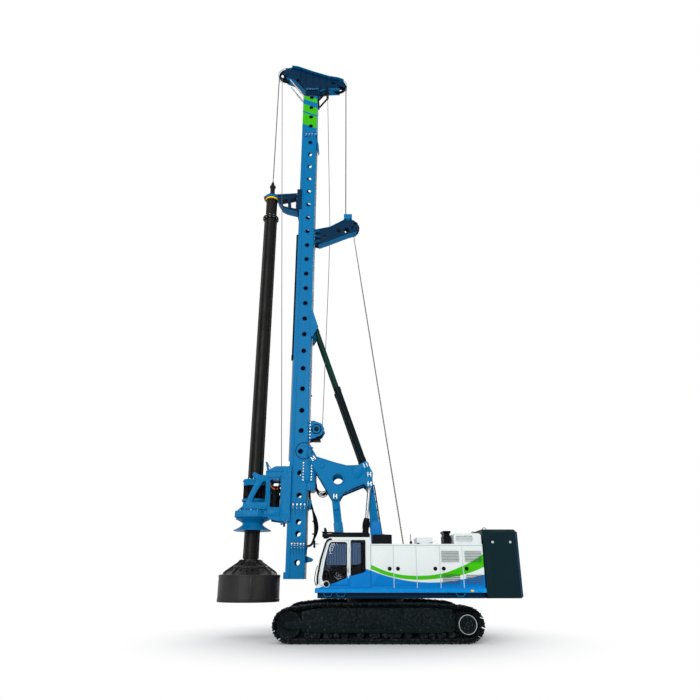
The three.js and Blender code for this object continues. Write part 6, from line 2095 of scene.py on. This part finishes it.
class RIG_OT_drive(bpy.types.Operator):
    """Make the carriage, the rotary drive with its damper and the drive sleeve"""

    bl_idname = "rig.drive"
    bl_label = "Rotary drive"

    def execute(self, context):
        self.gearbox()
        self.damper()
        self.motors()
        self.side_frames()
        self.carriage()
        self.sleeve()
        return {"FINISHED"}

    def gearbox(self):
        case = turned([(BORE, 3.95), (0.62, 3.95), (0.695, 3.985), (0.70, 4.02), (0.70, 4.20),
                       (0.685, 4.225), (0.60, 4.24),
                       (0.52, 4.27), (0.50, 4.30), (0.44, 4.40), (0.41, 4.57), (BORE, 4.57), (BORE, 3.95)],
                      (0, 0, 0), (0, 0, 1), 8)
        case = moved(case, Matrix.Translation((KELLY_X, 0, 0)) @ Matrix.Rotation(math.radians(22.5), 4, "Z"))
        block = [box(3.392, 4.15, -0.455, 0.455, 3.97, 4.26, 0.02),
                 box(3.392, 3.74, -0.40, 0.40, 4.24, 4.28, 0.012)]
        ribs = round_about(plate([(0.50, 4.24), (0.66, 4.24), (0.50, 4.37), (0.44, 4.42), (0.42, 4.36)],
                                 -0.012, 0.012),
                           10, (KELLY_X, 0, 0), finish="blue")
        piece("gearbox", "carriage", "blue", case, block, ribs, replaces=["rotary_drive"])
        bolt_circle("carriage", (KELLY_X, 0, 4.228), (0, 0, 1), 0.60, 16)

    def damper(self):
        """Upper and lower ring with black rollers standing between them."""
        rings = [
            turned([(BORE, 4.57), (0.455, 4.57), (0.462, 4.58), (0.462, 4.64), (0.45, 4.655), (BORE, 4.655),
                    (BORE, 4.57)],
                   (KELLY_X, 0, 0), sides=56),
            turned([(BORE, 5.15), (0.438, 5.15), (0.44, 5.16), (0.44, 5.28), (0.462, 5.30), (0.462, 5.36),
                    (0.445, 5.385),
                    (0.35, 5.389), (BORE, 5.38), (BORE, 5.15)], (KELLY_X, 0, 0), sides=56)]
        piece("damper_rings", "carriage", "blue", rings)
        roll = turned([(0, 4.65), (0.07, 4.65), (0.078, 4.67), (0.078, 4.72), (0.066, 4.735), (0.078, 4.75),
                       (0.078, 5.05),
                       (0.066, 5.065), (0.078, 5.08), (0.078, 5.13), (0.07, 5.152), (0, 5.152)],
                      (0.355, 0, 0), sides=14)
        rolls = round_about(roll, 14, (KELLY_X, 0, 0), finish="rubber")
        liner = turned([(BORE, 4.65), (0.335, 4.65), (0.335, 5.155), (BORE, 5.155), (BORE, 4.65)],
                       (KELLY_X, 0, 0), sides=40)
        piece("damper_rolls", "carriage", "rubber", rolls, liner)
        bolt_circle("carriage", (KELLY_X, 0, 5.388), (0, 0, 1), 0.40, 16)

    def motors(self):
        x, y = 3.72, 0.28
        dark = []
        for side in SIDES:
            dark += [rod((x, side * y, 4.24), (x, side * y, 4.34), 0.165, 36, 0.01),
                     rod((x, side * y, 4.34), (x, side * y, 4.52), 0.15, 36, 0.01),
                     rod((x, side * y, 4.52), (x, side * y, 4.86), 0.138, 36, 0.02),
                     rod((x, side * y, 4.86), (x, side * y, 5.10), 0.11, 28, 0.02),
                     box(x - 0.13, x + 0.10, side * y - 0.07, side * y + 0.07, 4.94, 5.12, 0.012),
                     rod((x - 0.05, side * (y + 0.06), 4.98), (x - 0.05, side * (y + 0.15), 4.98), 0.03, 12)]
            fins = [ring((x, side * y, z), (0, 0, 1), 0.13, 0.152, 0.012,
                         36) for z in (4.58, 4.64, 4.70, 4.76)]
            dark += fins
        piece("drive_motors", "carriage", "dark", dark)
        orange, black = [], []
        for side in SIDES:
            orange.append(hose([(3.98, side * 0.18, 5.34), (3.90, side * 0.34, 5.20),
                                (3.80, side * 0.40, 5.04),
                                (3.66, side * 0.40, 4.99), (3.56, side * 0.36, 5.06)], 0.020, 12))
            black.append(hose([(3.52, side * 0.34, 5.42), (3.56, side * 0.40, 5.10),
                               (3.60, side * 0.42, 4.80),
                               (3.66, side * 0.39, 4.55), (3.70, side * 0.34, 4.42)], 0.026, 12))
            black.append(hose([(3.50, side * 0.20, 5.42), (3.52, side * 0.26, 5.15),
                               (3.58, side * 0.24, 5.02)], 0.022, 12))
        piece("drive_orange_hose", "carriage", "orange", orange)
        piece("drive_black_hoses", "carriage", "rubber", black)

    def side_frames(self):
        """The open triangular frames beside the damper, their eyes, and the post with its cable."""
        outer = rounded([(3.92, 4.27), (4.86, 4.27), (4.87, 4.36), (4.78, 4.43), (4.40, 5.33),
                         (4.55, 5.46), (4.56, 5.56),
                         (4.46, 5.61), (4.28, 5.50), (4.06, 5.50), (3.92, 5.42)], 0.05)
        opening = rounded([(4.03, 4.52), (4.52, 4.52), (4.44, 4.74), (4.17, 5.24), (4.09, 5.29),
                           (4.03, 5.24)], 0.06)
        lip = inset(opening, -0.035)
        parts = [plate(outer, 0.485, 0.535, [opening], 0.008), plate(lip, 0.53, 0.552, [opening], 0.006),
                 plate(rounded([(3.96, 4.25), (4.84, 4.25), (4.80, 4.36), (3.96, 4.36)], 0.03), 0.53, 0.56),
                 ring((4.485, 0.48, 5.535), (0, 1, 0), 0.028, 0.062, 0.066, 24),
                 box(3.93, 4.70, 0.40, 0.50, 4.24, 4.30, 0.01)]
        for side in SIDES:
            meshes = [mesh.copy() for mesh in parts]
            piece("damper_frame_" + side_name(side), "carriage", "blue", on_side(side, meshes))
        cable = hose([(4.12, 0.05, 6.06), (4.05, 0.10, 5.98), (3.99, 0.16, 5.88), (3.93, 0.20, 5.82),
                      (3.88, 0.20, 5.74)],
                     0.012, 10)
        piece("post_cable", "carriage", "rubber", cable)
        post = [box(3.86, 4.00, 0.14, 0.26, 5.65, 5.76, 0.012)]
        piece("cable_box", "carriage", "blue", post)

    def carriage(self):
        rails = [box(3.226, 3.30, -0.552, 0.552, z0, z1, 0.012) for z0,
                 z1 in ((5.55, 5.83), (5.10, 5.22), (3.83, 4.05))]
        columns = both_sides(lambda: joined(
            box(3.31, 3.47, 0.44, 0.535, 3.83, 5.80, 0.02),
            plate(rounded([(3.36, 3.71), (3.44, 3.71), (3.44, 3.86), (3.36, 3.86)], 0.01), 0.40, 0.46),
            *[box(3.40, 4.04, 0.52, 0.548, z, z + 0.03, 0.004) for z in (5.40, 5.62)],
            *[box(3.46, 3.50, 0.50, 0.545, z, z + 0.16, 0.01) for z in (4.30, 5.24)],
            plate(rounded([(3.47, 4.02), (3.90, 4.02), (3.92, 4.22), (3.47, 4.26)], 0.03), 0.515, 0.545)))
        window = plate(rounded([(3.485, 4.33), (3.86, 4.33), (3.88, 5.34), (3.485, 5.34)], 0.05), -0.7, 0.7)
        eased("carriage", "carriage", "blue", 0.01, rails + columns, [window])
        eye = [rod((3.215, 0, 6.03), (3.215, 0, 11.6), 0.0705, 36),
               ring((3.215, 0, 6.02), (0, 0, 1), 0.06, 0.088, 0.10)]
        eased("crowd_rod", "carriage", "chrome", 0.006, eye)

    def sleeve(self):
        profile = [(BORE, 3.545), (0.60, 3.535), (0.690, 3.524), (0.695, 3.535), (0.690, 3.548),
                   (0.60, 3.59), (0.48, 3.66),
                   (0.40, 3.715), (0.372, 3.757), (0.39, 3.80), (0.46, 3.85), (0.56, 3.90), (0.635, 3.932),
                   (0.64, 3.948),
                   (BORE, 3.949), (BORE, 3.545)]
        skirt = turned(profile, (KELLY_X, 0, 0), sides=64)
        piece("drive_skirt", "drive_sleeve", "blue", skirt, replaces=["drive_sleeve"])


class RIG_OT_kelly(bpy.types.Operator):
    """Make the kelly bar with its drive ribs, its top ring and the guide on the mast"""

    bl_idname = "rig.kelly"
    bl_label = "Kelly bar and guide"

    def execute(self, context):
        tube = turned([(0, 2.531), (0.262, 2.531), (0.262, 17.10), (0.30, 17.11), (0.352, 17.125),
                       (0.36, 17.14), (0.36, 17.20),
                       (0.35, 17.222), (0.275, 17.235), (0.252, 17.26), (0.252, 18.13), (0.272, 18.145),
                       (0.272, 18.152),
                       (0, 18.152)], (KELLY_X, 0, 0), sides=56)
        rib = joined(box(0.245, 0.2865, -0.030, 0.030, 2.56, 17.06, 0.006))
        ribs = round_about(rib, 6, (KELLY_X, 0, 0), finish="kelly")
        steps = round_about(box(0.235, 0.285, -0.075, 0.075, 2.56, 2.72, 0.01), 6, (KELLY_X, 0, 0),
                            finish="kelly")
        swivel = [
            rod((KELLY_X, 0, 18.15), (KELLY_X, 0, 18.485), 0.13, 36, 0.004),
            turned([(0, 18.48), (0.15, 18.48), (0.155, 18.49), (0.155, 18.53), (0.112, 18.60), (0.108, 18.62),
                    (0.108, 18.86),
                    (0.125, 18.885), (0.14, 18.93), (0.142, 18.97), (0.0, 18.97)], (KELLY_X, 0, 0), sides=36),
            plate(rounded([(4.44, 18.90), (4.60, 18.90), (4.60, 19.06), (4.555, 19.20), (4.485, 19.20),
                           (4.44, 19.06)], 0.05),
                  -0.055, -0.022),
            plate(rounded([(4.44, 18.90), (4.60, 18.90), (4.60, 19.06), (4.555, 19.20), (4.485, 19.20),
                           (4.44, 19.06)], 0.05),
                  0.022, 0.055),
            across(KELLY_X, 19.12, -0.08, 0.08, 0.035)]
        piece("kelly_tube", "kelly", "kelly", tube, ribs, steps, swivel, replaces=["kelly_bar"])
        top = turned([(0.24, 18.15), (0.296, 18.15), (0.30, 18.156), (0.30, 18.228), (0.294, 18.2345),
                      (0.24, 18.2345),
                      (0.24, 18.15)], (KELLY_X, 0, 0), sides=48)
        piece("kelly_top_ring", "kelly", "yellow", top)
        bolt_circle("kelly", (KELLY_X, 0, 17.23), (0, 0, 1), 0.318, 12)
        bolt_circle("kelly", (KELLY_X, 0, 17.118), (0, 0, -1), 0.325, 12)
        self.guide()
        return {"FINISHED"}

    def guide(self):
        head = turned([(0.136, 18.2355), (0.32, 18.2355), (0.33, 18.245), (0.33, 18.34), (0.318, 18.356),
                       (0.20, 18.365),
                       (0.185, 18.40), (0.136, 18.41), (0.136, 18.2355)], (KELLY_X, 0, 0), sides=48)
        flanges = [ribbon([(3.31, 18.452), (3.80, 18.42), (4.40, 18.385)], 0.022, -0.21, 0.21),
                   ribbon([(3.31, 17.43), (3.78, 17.56), (4.00, 17.68), (4.22, 18.06)], 0.022, -0.21, 0.21)]
        ribs = both_sides(lambda: plate([(3.66, 17.62), (3.70, 17.62), (3.74, 18.26),
                                         (3.70, 18.26)], 0.165, 0.20))
        piece("guide_flanges", "kelly_guide", "blue", head, flanges)
        # The guide's web is painted shade: the blue darkened for the shade between its flanges.
        eased("kelly_guide", "kelly_guide", "navy", 0.008, ribs)
        for side in SIDES:
            bolt("kelly_guide", [(3.312, side * 0.40, z) for z in (17.5, 17.75, 18.0, 18.25)], (1, 0, 0))


class RIG_OT_bucket(bpy.types.Operator):
    """Make the drilling bucket with its cone, ribs, hinge and bottom gate"""

    bl_idname = "rig.bucket"
    bl_label = "Drilling bucket"

    def execute(self, context):
        shell = turned([(1.075, 1.167), (1.102, 1.167), (1.105, 1.172), (1.105, 1.225), (1.094, 1.235),
                        (1.094, 1.94),
                        (1.105, 1.95), (1.105, 2.005), (1.10, 2.01), (0.99, 2.03), (0.935, 2.07),
                        (0.90, 2.095), (0.36, 2.44),
                        (0.355, 2.50), (0.375, 2.51), (0.375, 2.529), (0.0, 2.529), (0.0, 2.47),
                        (0.33, 2.47), (0.34, 2.42),
                        (0.88, 2.07), (0.93, 2.03), (0.98, 2.0), (1.075, 1.985), (1.075, 1.167)],
                       (KELLY_X, 0, 0), sides=96)
        gusset = [(0.34, 2.42), (0.93, 2.055), (0.985, 2.035), (0.975, 2.09), (0.90, 2.155),
                  (0.46, 2.45), (0.42, 2.51),
                  (0.34, 2.51)]
        ribs = round_about(plate(gusset, -0.016, 0.016, ease=0.004), 12, (KELLY_X, 0, 0), finish="bucket")
        collars = turned([(0.60, 2.27), (0.655, 2.24), (0.685, 2.245), (0.685, 2.285), (0.63, 2.32),
                          (0.60, 2.27)],
                         (KELLY_X, 0, 0), sides=64)
        lugs = round_about(box(0.335, 0.375, -0.07, 0.07, 2.40, 2.528, 0.01), 4, (KELLY_X, 0, 0),
                           finish="bucket")
        parts = [shell, ribs, collars, lugs]
        spin = Matrix.Translation((KELLY_X, 0, 0))
        for degrees in (102.5, 282.5):
            turn = spin @ Matrix.Rotation(math.radians(degrees), 4, "Z")
            parts += [moved(box(1.085, 1.1045, -0.035, 0.035, 1.235, 1.94, 0.004), turn),
                      moved(box(1.08, 1.1046, -0.012, 0.012, 1.22, 1.95, 0.004), turn),
                      moved(box(1.05, 1.104, -0.075, 0.075, 1.30, 1.38, 0.012), turn),
                      moved(box(1.05, 1.104, -0.075, 0.075, 1.78, 1.86, 0.012), turn)]
        for degrees in (30, 150, 210, 330):
            turn = spin @ Matrix.Rotation(math.radians(degrees), 4, "Z")
            parts.append(moved(box(1.05, 1.1045, -0.06, 0.06, 1.168, 1.30, 0.012), turn))
        piece("bucket_shell", "kelly", "bucket", parts, replaces=["drill_bucket"])
        # Painted shade: thin dark discs on the cone stand for its holes, whose insides lie in shade; the cone
        # is not cut.
        holes = []
        for i in range(12):
            turn = spin @ Matrix.Rotation(math.radians(30 * i + 15), 4, "Z")
            tilt = Matrix.Translation((0.80, 0, 2.163)) @ Matrix.Rotation(math.radians(32.6), 4, "Y")
            holes.append(moved(turned([(0, 0), (0.052, 0), (0.052, 0.004), (0, 0.004)], (0, 0, 0),
                                      sides=24), turn @ tilt))
        piece("bucket_vents", "kelly", "rubber", holes, slot="dark_paint")
        teeth = []
        for degrees in (8, 188):
            for i in range(6):
                turn = spin @ Matrix.Rotation(math.radians(degrees), 4, "Z")
                teeth.append(moved(box(0.22 + i * 0.14, 0.28 + i * 0.14, 0.30, 0.38, 1.126, 1.150,
                                       0.006), turn))
        eased("bucket_gate", "bucket_gate", "bucket", 0.006, teeth)
        return {"FINISHED"}


class RIG_OT_ropes(bpy.types.Operator):
    """Run the main rope over the head to the kelly and the bracket, and the two thin ropes"""

    bl_idname = "rig.ropes"
    bl_label = "Ropes"

    def execute(self, context):
        front, rear, low = (4.10, 25.83, 0.405), (1.49, 25.10, 0.385), (0.79, 16.67, 0.305)
        over = arc(*front, 0, 105, 10) + arc(*rear, 105, 180, 8)
        main = [(KELLY_X - 0.015, over[0][1] - 0.05), *over, (1.10, 22.0), (1.095, 16.80)]
        radius = sizes().rope
        lines = [hose([(x, 0, z) for x, z in main], radius, 10, 1)]
        falls = [(KELLY_X, 19.425 + i * 0.48) for i in range(13)] + [(over[0][0], over[0][1])]
        down = piece("kelly_rope", None, "rope", hose([(x, 0, z) for x, z in falls], radius, 10, 1))
        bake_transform(down)
        under = arc(*low, 0, -98, 8)
        tail = [(1.095, 16.80), *under, *self.to_roof(under[-1])]
        lines.append(hose([(x, 0, z) for x, z in tail], radius, 10, 1))
        piece("main_rope", "mast", "rope", lines)
        thin = sizes().aux_rope
        piece("rear_thin_rope", "mast", "rope", hose(
            [(2.03, 0.10, 24.75), (1.80, 0.10, 16.3), (1.84, 0.08, 13.9), (1.99, 0.05, 7.35)], thin, 8, 1))
        high, foot = Vector((4.34, 0.20, 25.45)), Vector((3.50, 0.36, 5.82))
        line = [tuple(foot.lerp(high, i / 24)) for i in range(25)]
        front_rope = piece("front_thin_rope", None, "rope", hose(line, thin, 8, 1))
        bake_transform(front_rope)
        socket = [turned([(0.03, 18.98), (0.05, 18.98), (0.052, 19.10), (0.030, 19.30),
                          (0.022, 19.42), (0.0, 19.42),
                          (0.0, 18.98), (0.03, 18.98)], (KELLY_X, 0, 0), sides=24)]
        piece("rope_socket", "kelly", "steel", socket)
        return {"FINISHED"}

    def to_roof(self, start):
        end = (-1.08, 2.93)
        return [tuple(Vector(start).lerp(Vector(end), t)) for t in (0.25, 0.5, 0.75, 1.0)]


class RIG_OT_hoses(bpy.types.Operator):
    """Run the hose loops between the triangle frame and the mast, and the bundle down the mast's back"""

    bl_idname = "rig.hoses"
    bl_label = "Hoses"

    def execute(self, context):
        radius = sizes().hose
        loops = []
        for i, y in enumerate((-0.40, -0.30, -0.20, 0.20, 0.30, 0.40)):
            sag = 0.07 * (i % 3)
            path = [(2.20, 5.30), (2.15, 5.06 - sag), (1.98, 4.92 - sag), (1.80, 4.98 - sag),
                    (1.66, 5.16), (1.62, 5.40)]
            loops.append(hose([(x, y, z) for x, z in path], radius * 0.7, 10))
        loops = piece("tilt_hose_loops", None, "rubber", loops)
        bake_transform(loops)
        bundle = []
        for i in range(5):
            y = -0.10 + 0.05 * i
            lean = 0.045 * (i % 3)
            path = [(2.44, 4.95), (2.40, 4.62), (2.30, 4.28), (2.235 - lean, 3.9), (2.20 - lean, 3.56),
                    (2.24, 3.22), (2.33, 3.04),
                    (2.50, 2.98)]
            bundle.append(hose([(x, y * 1.2, z) for x, z in path], radius + 0.012, 10))
        bundle += [box(2.19, 2.30, -0.14, 0.14, z, z + 0.035, 0.008) for z in (3.40, 3.85)]
        piece("mast_hose_bundle", "mast", "rubber", bundle)
        foot = []
        for y in (-0.44, 0.44):
            path = [(0.62, 1.60), (0.66, 1.84), (0.74, 2.06), (0.86, 2.20), (0.98, 2.34), (1.06, 2.60)]
            foot.append(hose([(x, y * 0.62, z) for x, z in path], radius, 10))
        foot = piece("arm_foot_hoses", None, "rubber", foot)
        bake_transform(foot)
        return {"FINISHED"}


# ---------------------------------------------------------------- bolts
class RIG_OT_bolts(bpy.types.Operator):
    """Put a washer and a hexagonal head on every bolt place, one piece for each body"""

    bl_idname = "rig.bolts"
    bl_label = "Bolts"

    def execute(self, context):
        for body, places in BOLTS.items():
            points = bpy.data.meshes.new("bolt places")
            points.from_pydata([place for place, _ in places], [], [])
            aims = points.attributes.new("aim", "FLOAT_VECTOR", "POINT")
            aims.data.foreach_set("vector", [part for _, aim in places for part in aim])
            heads = grown(bolt_heads, "steel", points, Radius=sizes().bolt)
            piece(body + "_bolts", body, "track" if body == "undercarriage" else "steel", heads)
        return {"FINISHED"}


# ---------------------------------------------------------------- panel and run
OPERATORS = (RIG_OT_stage, RIG_OT_undercarriage, RIG_OT_house, RIG_OT_doors, RIG_OT_cab, RIG_OT_seat,
             RIG_OT_luffing,
             RIG_OT_mast, RIG_OT_winch, RIG_OT_head, RIG_OT_drive, RIG_OT_kelly, RIG_OT_bucket,
             RIG_OT_ropes, RIG_OT_hoses,
             RIG_OT_bolts)


class RIG_PT_panel(bpy.types.Panel):
    """Sizes and colours of the rig, and the steps that build it"""

    bl_idname = "RIG_PT_panel"
    bl_label = "Rotary Piling Rig"
    bl_space_type = "VIEW_3D"
    bl_region_type = "UI"
    bl_category = "Piling Rig"

    def draw(self, context):
        for group in (sizes(), paint()):
            column = self.layout.column(align=True)
            for name in group.__annotations__:
                column.prop(group, name)
        for operator in OPERATORS:
            self.layout.operator(operator.bl_idname)


CLASSES = (RigPaint, RigSizes, *OPERATORS, RIG_PT_panel)


def register():
    for made in CLASSES:
        bpy.utils.register_class(made)
    bpy.types.Scene.rig_paint = PointerProperty(type=RigPaint)
    bpy.types.Scene.rig_sizes = PointerProperty(type=RigSizes)


def unregister():
    del bpy.types.Scene.rig_sizes
    del bpy.types.Scene.rig_paint
    for made in reversed(CLASSES):
        bpy.utils.unregister_class(made)


def main():
    register()
    for operator in OPERATORS:
        group, name = operator.bl_idname.split(".")
        getattr(getattr(bpy.ops, group), name)()
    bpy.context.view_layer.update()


if __name__ == "__main__":
    main()
